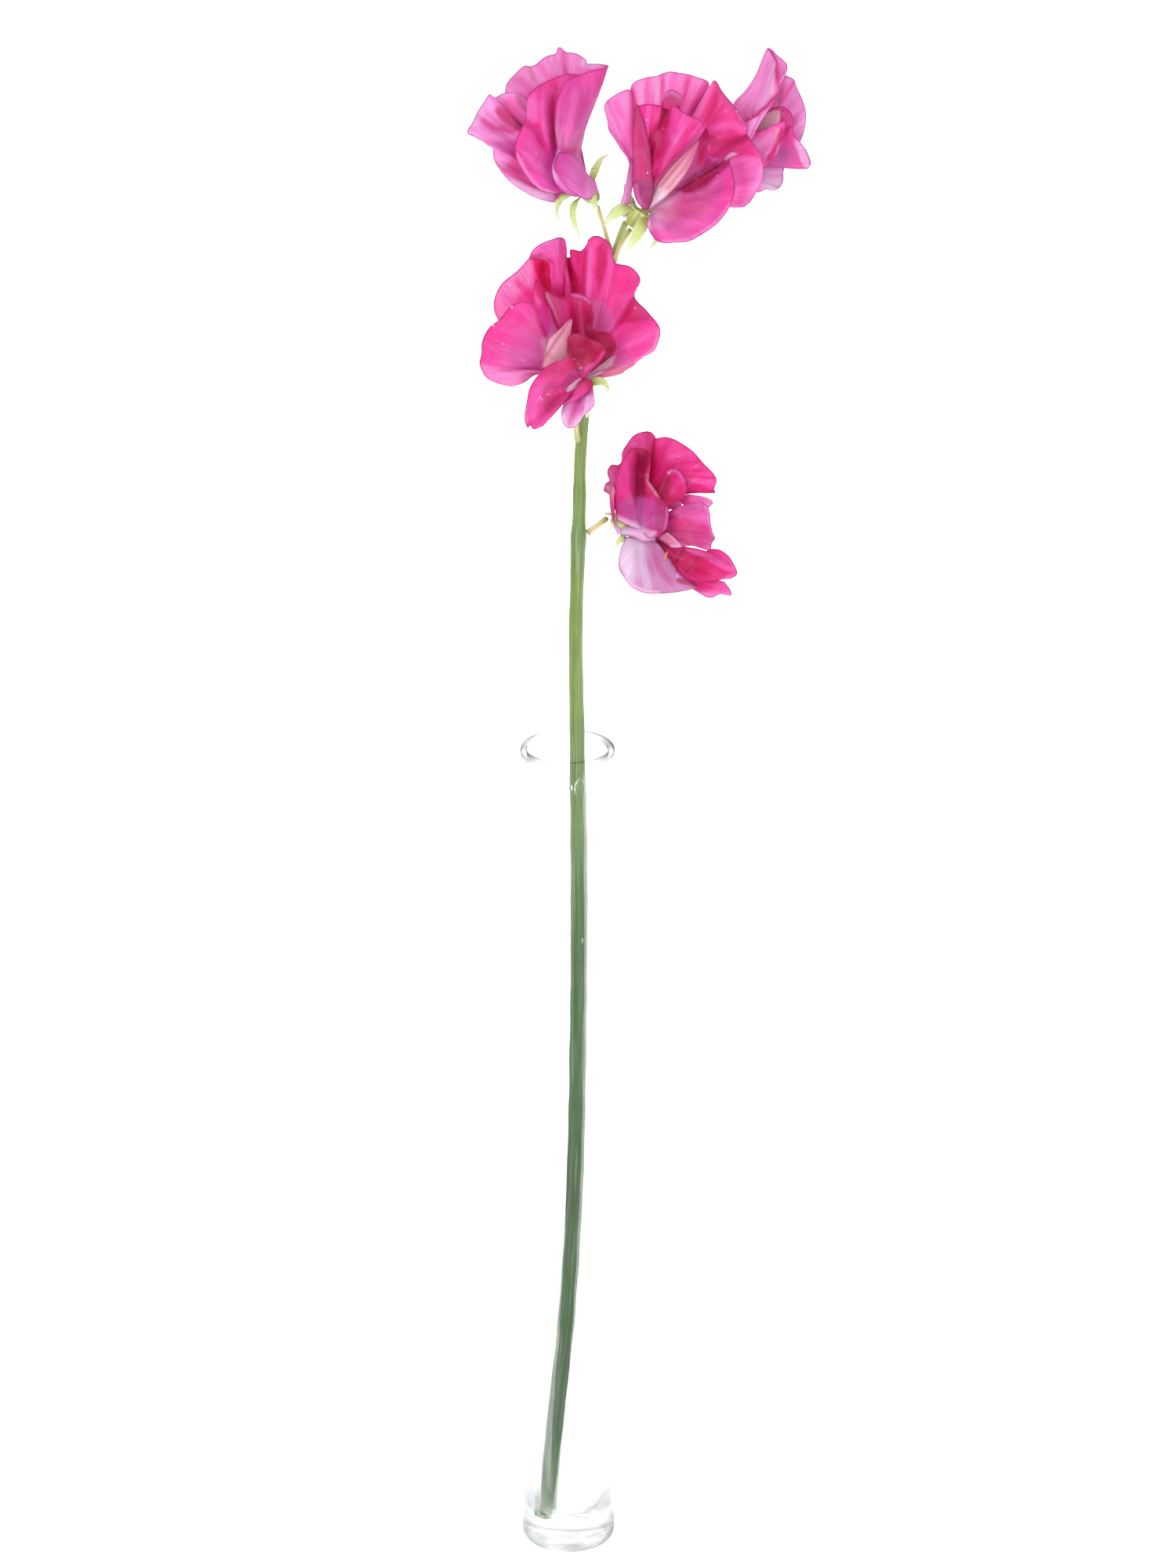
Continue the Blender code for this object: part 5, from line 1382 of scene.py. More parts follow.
    def wing_far(self) -> Petal:
        """The far wing, reaching out to the left with a pale ruffled margin."""
        ribs = [
            (-9.6, -2.6, -1.4, 0, 0), (-14, -1.4, -1.8, -0.3, 0), (-18, 0.7, -2, -0.5, 0),
            (-21.5, 3.3, -2.4, -0.8, -0.3), (-24, 6.3, -2.8, -1, -0.5), (-25.4, 9, -3, -1.2, -0.8),
            (-25.7, 12, -2.6, -1.2, -0.6), (-28, 13.7, -1.6, -1.2, -0.2), (-32.2, 15.9, -1, -1.2, 0),
            (-31, 18.5, -2.4, -1.2, -0.6), (-29.5, 21.6, -3.2, -1.2, -1.4), (-28.1, 23.6, -1.2, -1.2, -1),
            (-26.5, 25.9, -0.8, -1.2, -1), (-25, 25.2, -2.8, -1.2, -1.6), (-23, 26.2, -2.2, -1.4, -1),
            (-21, 26.5, -1.6, -1.6, -0.8), (-19, 26.4, -2.6, -1.8, -1.4), (-17, 25.4, -4, -2, -1.6),
        ]
        marks = [
            Stroke(Tone.CRIMSON, [(-24.2, 21.8), (-21, 18.8), (-18, 17.2)], 1.8, 1.2, 0.75),
            Wash(Tone.MAGENTA, [(-22, 7), (-20, 10), (-17.5, 9), (-17.5, 3.5), (-19.5, 4)], 2.0, 0.7),
            Stroke(Tone.SHELL, [(-32, 16), (-26, 15), (-19, 15)], 1.0, 1.5, 0.6),
            Stroke(Tone.MAGENTA, [(-29, 19.5), (-25, 16.8), (-20, 16.5)], 0.6, 1.2, 0.6),
            Wash(Tone.SHELL, [(-24.4, 6.4), (-26, 12), (-23.5, 11), (-22.5, 7)], 1.5, 0.6),
            Wash(Tone.LILAC, [(-22.5, 3), (-20, 4), (-15, 1.4), (-9.5, 0.2), (-9.5, -2.8), (-14, -2),
                (-19, 0)], 1.0, 0.8),
            Stroke(Tone.MAGENTA, [(-23, 6), (-15, 2), (-10, 0.8)], 0.5, 0.9, 0.7),
            Wash(Tone.HOT, [(-24.5, 23.5), (-21, 25.5), (-18, 25), (-17.5, 19), (-21, 20)], 2.0, 0.5),
            Wash(Tone.LILAC, [(-31.5, 17.8), (-30, 22), (-28, 23), (-28.4, 20), (-30, 17)], 1.2, 0.6),
        ]
        pleats = [
            Pleat([(-24.5, 22), (-21, 18.8), (-17, 16.5)], 0.9, -1.0),
            Pleat([(-31.5, 16.3), (-24, 14.8), (-17, 13)], 1.1, 0.9),
            Pleat([(-23, 5.5), (-15, 2), (-9, 0.8)], 0.8, -0.7),
        ]
        sheet = Sheet([(-3.2, 0.8, -1.6)], ribs, (Tone.ORCHID, Tone.FUCHSIA, Tone.SHELL), marks, pleats,
            ruffle=0.65)
        return Petal("wing_far", "pink_petal", Finish.ORCHID, sheet)

    def keel(self) -> Petal:
        """The hidden keel between the wings."""
        ribs = [
            (-9.6, 7, -0.6, 0.3, 0.3), (-13, 12, -0.6, 0.5, 0.5), (-14.4, 17, -0.6, 0.5, 0.5),
            (-13.6, 20, -0.6, 0.5, 0.4), (-11.6, 18.6, -0.6, 0.3, 0.3), (-8.8, 14, -0.6, 0.2, 0.2),
        ]
        sheet = Sheet([(-3.6, 2, -0.4)], ribs, (Tone.CREAM, Tone.BLUSH, Tone.CLAY), swell=0.45, ruffle=0.0,
            rows=34, between=5)
        return Petal("keel", "cream_petal", Finish.CREAM, sheet)


class FrontBloom(Bloom):
    """Top bloom at the front, turned to the left, with its wings open over a pale keel."""

    def stalk(self) -> Tube:
        """The bloom's own stalk."""
        route = [
            (-6.2, -13.2, -11, 0.7), (-5.5, -11, -8.4, 0.6), (-4.5, -8.6, -5, 0.55),
            (-3.3, -6.4, -2.8, 0.6), (-2, -4.35, -1.05, 0.75),
        ]
        return Tube(route, [(0.0, Tone.SPRIG), (0.5, Tone.STRAW), (1.0, Tone.PALM)])

    def cup(self) -> Cup:
        """The bloom's cup."""
        lobes = [
            [(1.6, -3.6, 2.4), (0.4, -5.8, 2.8), (-1.5, -8.2, 2.8), (-3.1, -10.4, 2.4)],
            [(-3, 1.6, 0.6), (-5, 1.2, 0.6), (-7, -0.6, 0.4), (-8.6, -3.2, 0.2)],
            [(4.6, -2.6, -1), (5.4, -5, -1.4), (4.8, -7.6, -1.6), (2.8, -9.5, -1.8)],
            [(-1.8, 3.2, -4.2), (-2.8, 5.4, -6.6), (-3.6, 8, -8.4)],
            [(3.6, 2.2, -4.2), (5.2, 4, -6.8), (6.4, 6.2, -8.8)],
        ]
        return Cup((-1.6, -3.4, -0.6), (1, 0.6, 0), 2.9, lobes)

    def petals(self) -> list[Petal]:
        """The bloom's petals."""
        return [self.standard(), self.wing_right(), self.keel(), self.wing_left()]

    def standard(self) -> Petal:
        """The banner: a pale pleated fan that folds down into a valley on the right, with painted crimson
        shade along the fold.
        """
        ribs = [
            [(-1.2, 8, -2.9), (-2.1, 13.4, -3.2), (-4.7, 17, -3.4)],
            [(-1.1, 8.2, -2.9), (-2.2, 13.8, -3.2), (-7.4, 21.3, -4)],
            [(-1, 8.3, -2.9), (-2.3, 14.2, -3.3), (-8.2, 25, -4.2)],
            [(-0.9, 8.4, -3), (-2.3, 14.8, -3.4), (-8.7, 28.2, -4.4)],
            [(-0.8, 8.5, -3), (-2.2, 15.4, -3.5), (-7, 30.3, -4.4)],
            (-3, 32.3, -3.8, -0.8, 0.6), (-2, 32.2, -5.4, -0.8, -0.4), (-1, 34.2, -5.2, -0.8, -0.2),
            (2, 35.5, -5.6, -0.8, 0), (5, 36, -6.6, -0.8, -0.6), (8, 37.1, -6.2, -0.8, 0),
            (11, 36.8, -7, -0.8, -0.4), (15, 36, -6.4, -0.8, 0.2), (18.6, 34.4, -6.4, -0.8, 0),
            (18.6, 32.6, -7.8, -0.8, -1.2), (20.6, 34.6, -3.8, -0.8, 0), (22, 32.3, -3.2, -0.8, 0.6),
            (25, 28.4, -3.8, -0.8, 0.6), (28.3, 24, -4.6, -0.6, 0.4), (28.9, 22, -5.2, -0.6, 0),
            (28.9, 20.6, -6.6, -0.6, -1.6), (31, 17.5, -5.2, -0.6, -0.8), (32.8, 14.5, -4.2, -0.6, 0),
            (33.2, 11.5, -4.2, -0.6, 0.4), (32.5, 8, -4.8, -0.6, 0.4), (30.5, 4, -5.4, -0.6, 0),
            (28.5, 2, -5.8, -0.6, 0), (26.5, 1.3, -6, -0.4, 0),
        ]
        marks = [
            Wash(Tone.SHELL, [(-9, 18), (-9, 30), (-2, 34), (8, 38), (18, 36), (14, 31), (4, 31), (-3, 24),
                (-4.5, 17)], 3.0, 0.7, (0, 16)),
            Wash(Tone.PINK, [(9, 29), (12, 36), (15, 35), (16, 29), (13, 25)], 2.5, 0.4, (0, 15)),
            Stroke(Tone.MAGENTA, [(-1.6, 33), (-0.6, 29.5), (-0.8, 24)], 0.5, 0.8, 0.8, (0, 9)),
            Stroke(Tone.MAGENTA, [(6.6, 36.5), (6.5, 31), (6.2, 26)], 0.5, 0.8, 0.7, (0, 15)),
            Stroke(Tone.PINK, [(2.6, 35), (2.6, 28)], 0.5, 0.9, 0.6, (0, 15)),
            Stroke(Tone.LILAC, [(5, 35.8), (5.2, 29)], 0.8, 0.9, 0.7, (0, 15)),
            Stroke(Tone.LILAC, [(0.8, 34), (0.9, 28)], 0.6, 0.9, 0.6, (0, 15)),
            Stroke(Tone.MAGENTA, [(13.6, 36.2), (12.5, 31), (11, 26)], 0.5, 0.8, 0.7, (0, 15)),
            Stroke(Tone.MAGENTA, [(18, 34.2), (16, 30), (13.5, 25.5)], 0.6, 0.9, 0.7, (0, 15)),
            Stroke(Tone.PINK, [(9.8, 36.5), (9.2, 31), (8.6, 27)], 0.5, 1.0, 0.5, (0, 15)),
            Stroke(Tone.PINK, [(-6, 29), (-4, 25)], 0.5, 1.0, 0.5, (0, 9)),
            Wash(Tone.HOT, [(20.5, 34.8), (16, 25), (17, 23), (18.5, 20), (19, 15), (33, 14), (34, 12),
                (29, 22), (25, 28.8), (22, 33)], 1.6, 0.9, (14, 99)),
            Wash(Tone.MAGENTA, [(17.6, 23), (20, 27), (24, 25), (27, 19), (22, 17), (18.5, 18.5)], 2.4,
                0.75, (14, 99)),
            Stroke(Tone.CRIMSON, [(21.4, 32.4), (20, 28), (18.2, 24)], 0.5, 0.6, 0.8, (14, 99)),
            Stroke(Tone.CRIMSON, [(23.4, 30), (21, 26), (18.8, 23)], 0.4, 0.5, 0.7, (14, 99)),
            Wash(Tone.DUSK, [(20.6, 35), (22.7, 32.2), (28.8, 24), (28.9, 22), (26, 24), (22.5, 29),
                (20.5, 32)], 1.4, 0.7, (14, 99)),
            Wash(Tone.CRIMSON, [(19, 29), (18, 26), (17.2, 23.5), (19, 25), (21.5, 29), (20.8, 33)], 1.6,
                0.8, (14, 99)),
            Stroke(Tone.ROSE, [(19, 22), (24, 23.5), (27.5, 22)], 0.7, 1.2, 0.5, (14, 99)),
            # Painted shade: a crimson line along the fold between the lobes.
            Stroke(Tone.CRIMSON, [(18.5, 19.5), (22, 18), (25, 18.5), (28.6, 20)], 1.6, 1.2, 0.8, (14, 99)),
            Wash(Tone.MAGENTA, [(18, 13), (19, 18), (25, 17.5), (30, 17), (31, 14.5), (25, 13.8)], 1.6, 0.6,
                (14, 99)),
            Wash(Tone.ROSE, [(34, 12), (33, 6), (29, 1), (24.5, 1.5), (25.5, 8), (24.5, 13.5), (28, 15),
                (34, 14)], 1.6, 0.75, (18, 99)),
            Stroke(Tone.SHELL, [(33.2, 12), (32.4, 8), (30.5, 4), (28, 2)], 1.6, 1.5, 0.8, (18, 99)),
            Stroke(Tone.PINK, [(27, 13), (28, 8), (27, 3)], 0.6, 1.3, 0.5, (18, 99)),
        ]
        pleats = [
            Pleat([(-1.4, 33), (-0.8, 25), (-1.6, 16)], 0.7, -0.9, (0, 12)),
            Pleat([(6.6, 36.5), (6.3, 29), (4.6, 20)], 0.7, -0.8, (0, 15)),
            Pleat([(3.8, 36), (3.6, 28)], 0.8, 0.7, (0, 15)),
            Pleat([(13.6, 36), (12.2, 30), (9.6, 23)], 0.7, -0.8, (0, 15)),
            Pleat([(10.2, 36.6), (9.4, 29)], 0.8, 0.7, (0, 15)),
            Pleat([(17.6, 34), (15.6, 29), (12.6, 23)], 0.7, -0.7, (0, 15)),
            Pleat([(23.5, 28.5), (19.4, 20), (15, 12)], 1.0, 0.8, (14, 99)),
            Pleat([(28.4, 20), (22, 18.2), (15, 12)], 0.9, -0.9, (14, 99)),
            Pleat([(30.5, 8), (24, 7)], 1.0, 0.7, (18, 99)),
        ]
        sheet = Sheet([(0.2, 2.6, -2.2)], ribs, (Tone.ORCHID, Tone.ROSE, Tone.SHELL), marks, pleats,
            ruffle=0.6)
        claws = [(-3.9, -0.9, -2.2), (-3.4, -1.1, -2.1), (-2.9, -0.6, -2.2)]
        ribs = [
            [(-4.5, 2, -1.4), (-3.6, 5.5, -1.2), (-2.8, 9.5, -1.6), (-1.8, 14.5, -2.2)],
            [(-3.6, 1.6, -0.9), (-2.6, 5, -0.6), (-2, 9.3, -1.1), (-1.4, 13.8, -2)],
            [(-2.5, 1.2, -1.3), (-1.6, 5, -1.2), (-1.1, 9, -1.6), (-0.8, 13, -2.3)],
        ]
        marks = [Stroke(Tone.ORCHID, [(-3.2, 1), (-2.4, 6), (-1.8, 12)], 0.4, 0.6, 0.6)]
        strip = Sheet(claws, ribs, (Tone.WHITE, Tone.LILAC, Tone.ORCHID), marks, ruffle=0.2, rows=40)
        return Petal("standard", "pale_pink_petal", Finish.PALE, sheet, [strip])

    def wing_left(self) -> Petal:
        """The left wing: a tall hood, dusky at its neck, rolled open at the top."""
        ribs = [
            [(0.4, 5, 3.8), (-0.5, 11, 4), (-0.5, 17, 4), (-1, 24.5, 4)],
            [(1.2, 6, 4.8), (0.8, 12, 5), (0.3, 19, 5), (-0.4, 27.3, 4.5)],
            [(2, 7, 5.2), (2, 13, 5), (1.5, 20, 4.5), (1.5, 28.4, 5)],
            [(2.7, 8, 5.4), (3, 13, 4.6), (3.2, 19, 3.2), (4, 28.3, 5)],
            [(3.2, 8.3, 5.6), (3.9, 13, 5.2), (4.9, 19, 4.5), (6.5, 28, 5)],
            [(3.6, 8.4, 5.8), (4.6, 13, 5.8), (6, 19, 4.2), (8.2, 28.7, 2.5)],
            [(3.8, 8.4, 5.9), (5.2, 13, 6.6), (7, 19, 5.5), (9.4, 28.8, 4.5)],
            [(4, 8.4, 6), (6, 13, 7), (8.5, 19, 6.8), (11.5, 26.7, 6.5)],
            [(4.1, 8.3, 6), (6.8, 13, 7.3), (10.3, 19, 7.8), (13.7, 25.3, 7.8)],
            [(4.2, 8.2, 6), (7.3, 12.8, 7.4), (11.5, 18.3, 8.2), (16, 24.5, 8.2)],
            [(4.3, 8, 6), (7.7, 12.6, 7.4), (12, 17.6, 8.2), (17.3, 22.9, 8.2)],
            [(4.4, 7.6, 6), (7.7, 12.2, 7.4), (11.7, 16.9, 8), (15.8, 20.8, 8)],
        ]
        marks = [
            Wash(Tone.PINK, [(9, 24), (11, 27.2), (13.7, 25.8), (16.5, 25), (17.6, 23), (14.5, 20),
                (10, 17), (8.5, 20)], 1.8, 0.8),
            Wash(Tone.HOT, [(-1, 28.5), (4, 29.5), (6.5, 28.5), (3, 22), (1.5, 19), (-1, 22)], 1.6, 0.8),
            Stroke(Tone.CRIMSON, [(8.5, 29), (5.5, 23), (2.8, 18.5)], 0.8, 1.0, 0.8),
            Stroke(Tone.CRIMSON, [(8, 26.5), (6.5, 21), (5.2, 15)], 1.1, 1.2, 0.8),
            Stroke(Tone.ROSE, [(3, 28.5), (2.6, 23.5), (1.8, 18)], 0.5, 0.9, 0.5),
            Stroke(Tone.ROSE, [(12.6, 25.5), (10.5, 20), (7, 13)], 0.5, 1.0, 0.5),
            Stroke(Tone.MAGENTA, [(15, 23.5), (11, 17.5), (7.4, 12.4)], 0.6, 1.0, 0.6),
            Wash(Tone.DUSK, [(-1.5, 28), (0.2, 27.5), (1.4, 22), (3, 16.5), (3.6, 12), (3.4, 8.5), (1, 9),
                (-1.6, 8), (-2.4, 14), (-2.2, 24)], 0.8, 0.9, (0, 6)),
            Stroke(Tone.MAGENTA, [(0.2, 20), (0.8, 14), (1.2, 9.5)], 0.8, 1.0, 0.6, (0, 4)),
            Wash(Tone.PLUM, [(0, 8.5), (3, 8.8), (4.4, 6.5), (4.3, 3.5), (2.6, 1.2), (1, 3), (0.1, 6)], 1.2,
                0.9),
            Stroke(Tone.ORCHID, [(1.4, 3.4), (1, 6), (1.2, 8)], 0.4, 0.7, 0.6),
        ]
        pleats = [
            Pleat([(8.4, 28.5), (5.6, 22), (3.2, 15)], 0.7, -0.9),
            Pleat([(3.2, 28), (2.6, 21), (2, 14)], 0.8, 0.8),
            Pleat([(12.6, 26), (9.8, 19), (6, 12)], 0.9, 0.8),
        ]
        sheet = Sheet([(2.5, 1.3, 3.3)], ribs, (Tone.PLUM, Tone.MAGENTA, Tone.PINK), marks, pleats,
            ruffle=0.45)
        claws = [(6.4, 27.6, 4.2), (8, 27, 4.6), (10.2, 26.4, 5.4)]
        ribs = [
            [(6.2, 28.8, 3.6), (6.8, 30, 3.2)],
            [(7, 29.4, 4.2), (7.6, 31.6, 3.4)],
            [(8.4, 29.2, 5.2), (9, 32.2, 4.2)],
            [(9.8, 28.8, 6), (10.2, 31.7, 5.2)],
            [(10.8, 28.2, 6.4), (11.4, 30.6, 6)],
            [(11, 27.4, 6.6), (11.4, 28.8, 6.6)],
        ]
        marks = [Stroke(Tone.ORCHID, [(6.9, 30.2), (9, 32), (11.2, 30.4)], 0.5, 0.6, 0.7)]
        curl = Sheet(claws, ribs, (Tone.MAGENTA, Tone.DUSK, Tone.CLAY), marks, ruffle=0.3, rows=20)
        claws = [(1.6, 0.9, 5.6), (2.2, 0.7, 5.8), (2.8, 0.9, 5.6)]
        ribs = [
            [(-0.2, 3, 5.6), (-1.2, 6.2, 5.6), (-1.4, 12.9, 5.4), (-1.3, 20.9, 5.2), (-0.2, 28.4, 5)],
            [(1, 3, 6.6), (0.6, 6.2, 6.8), (0.2, 12.6, 6.4), (-0.2, 20, 6.2), (0, 28.3, 5.4)],
            [(2.6, 3, 6.8), (2.6, 6, 6.9), (2.2, 12, 6.5), (1.7, 18, 6.2), (0.2, 28.1, 5.5)],
            [(3.8, 3.2, 6.2), (4.2, 5.4, 6.4), (3.9, 10.4, 6.2), (3.4, 16, 5.9), (0.4, 27.8, 5.4)],
        ]
        marks = [
            Wash(Tone.PLUM, [(-1.4, 8.6), (4.3, 8.4), (4.3, 3), (2, 0.4), (-0.4, 3)], 1.0, 0.85),
            Stroke(Tone.MAGENTA, [(0.6, 24), (0.8, 17), (1.2, 10)], 0.7, 1.0, 0.5),
            Stroke(Tone.CRIMSON, [(3.2, 16), (3.8, 11), (4, 8.4)], 0.3, 0.5, 0.6),
            Stroke(Tone.ORCHID, [(0.8, 2.4), (-0.2, 5), (-0.4, 7.4)], 0.5, 0.7, 0.6),
        ]
        neck = Sheet(claws, ribs, (Tone.PLUM, Tone.DUSK, Tone.DUSK), marks, ruffle=0.2, rows=44,
            claw_radius=0.5)
        return Petal("wing_left", "magenta_petal", Finish.DEEP, sheet, [curl, neck])

    def wing_right(self) -> Petal:
        """The right wing: white at its claw, deep rose at its lobe, rolled under the banner."""
        ribs = [
            (2.6, -3.2, 3.6, 1, 0.8), (4.3, -7, 4.2, 1, 1.2), (6.5, -8, 4.6, 0.6, 1.2),
            (10, -7.6, 5.6, 0.6, 1.6), (13.5, -7.3, 6.2, 0.6, 1.8), (18, -4.9, 6.6, 0.6, 1.8),
            (21.5, -2, 6.6, 0.6, 1.8), (24.3, 2, 6.2, 0.4, 1.5), (25.5, 6.5, 5.6, 0, 1),
            (25, 10.5, 5, -0.3, 0.2), (24.2, 13.6, 4.4, -0.6, -1.2), (26.8, 15.2, 2.6, -0.6, -1.4),
            (24.5, 16.3, 2.2, -0.5, -1.2), (22, 14.6, 2.4, -0.4, -1.2), (19.6, 15, 1.6, -0.2, -0.8),
            (18.2, 16.8, 1.6, 0, -0.2), (18.7, 20, 2, 0, 0), (18.2, 22.6, 2.2, 0, 0),
        ]
        marks = [
            Wash(Tone.LILAC, [(1, 1.5), (4, 3.5), (8, 3.2), (10, -0.5), (7, -3.5), (3, -4), (1, -2)], 2.5,
                0.85),
            Wash(Tone.PLUMBERRY, [(10, 6), (14, 5), (18, 6), (22, 12), (18, 15), (17, 12), (14, 9.5)], 1.8,
                0.85),
            # Painted shade: a wine line along the valley of the fold.
            Stroke(Tone.WINE, [(12.5, 5.8), (16, 7.6), (20, 10.5), (23.5, 13.2)], 1.3, 1.2, 0.85),
            Wash(Tone.MAGENTA, [(17, 12), (18.9, 20), (18.3, 23), (17, 21), (15.5, 17)], 1.2, 0.85),
            Stroke(Tone.CRIMSON, [(16, 13), (17.5, 17.5), (18.2, 21.5)], 0.8, 0.8, 0.7),
            # Painted shadow: a dusky wash over the lower middle of the wing.
            Wash(Tone.DUSK, [(5, 1), (8, 2), (12, 4.5), (18, 4.5), (22, 7), (19, 1), (12, -2.5), (7, -2)],
                3.0, 0.6),
            Wash(Tone.ROSE, [(5, -6), (9, -3.5), (14, -2.5), (19, 1), (22, 0), (18, -6), (10, -9)], 3.0,
                0.35),
            Wash(Tone.PINK, [(21, 0), (22.5, 6), (22, 11), (26, 11), (26.5, 5), (24.5, 1)], 2.0, 0.6),
            Stroke(Tone.SHELL, [(6.5, -7.6), (13.5, -7), (18, -4.6), (21.5, -1.7), (24.2, 2.2)], 0.5, 0.8,
                0.7),
            Stroke(Tone.LILAC, [(23.4, 14.2), (25.2, 15.4), (27.6, 14.6)], 0.7, 0.6, 0.9),
            Stroke(Tone.DUSK, [(22.4, 13.2), (24.8, 14.2), (27.4, 13.4)], 0.4, 0.4, 0.8),
            Stroke(Tone.ORCHID, [(5, -2), (10, -5), (14, -6)], 0.6, 1.2, 0.5),
        ]
        pleats = [
            Pleat([(12, 5.5), (16, 7.4), (23.5, 13.2)], 0.9, -0.9),
            Pleat([(9, 2), (17, 3), (24.5, 6)], 1.3, 0.8),
            Pleat([(6, -1), (12, -3.5), (18, -4)], 1.1, -0.5),
        ]
        sheet = Sheet([(3.3, 1.2, 1.4)], ribs, (Tone.WHITE, Tone.ORCHID, Tone.FUCHSIA), marks, pleats,
            ruffle=0.55)
        return Petal("wing_right", "pink_petal", Finish.BRIGHT, sheet)

    def keel(self) -> Petal:
        """The pale pointed keel."""
        ribs = [
            [(4.6, 6.5, 4), (8.4, 12, 5.2), (12, 15.6, 5.8), (15.8, 19.2, 6.2)],
            [(5.4, 6, 4), (9.4, 11.4, 5.2), (13, 15.4, 5.8), (16, 18.8, 6.2)],
            [(6.4, 5.2, 4), (10.8, 10.2, 5.2), (13.6, 14.2, 5.8), (15.9, 18, 6.2)],
            [(7.4, 4.2, 4), (11.6, 8.8, 5.2), (14.2, 13, 5.8), (15.8, 17.2, 6.2)],
        ]
        marks = [
            Wash(Tone.WHITE, [(1, 1), (2, 4), (6, 4.8), (9, 4.5), (6, -0.3), (3, -1)], 2.0, 0.8),
            Stroke(Tone.DUSK, [(6, 7), (11, 13), (15.5, 18.5)], 0.4, 0.6, 0.6),
            Stroke(Tone.DUSK, [(8, 6.5), (12.5, 12), (15.7, 17.5)], 0.4, 0.6, 0.5),
        ]
        sheet = Sheet([(2.6, 0.6, 2)], ribs, (Tone.WHITE, Tone.CREAM, Tone.CLAY), marks, swell=0.5,
            ruffle=0.0, rows=40, between=8)
        return Petal("keel", "cream_petal", Finish.CREAM, sheet)


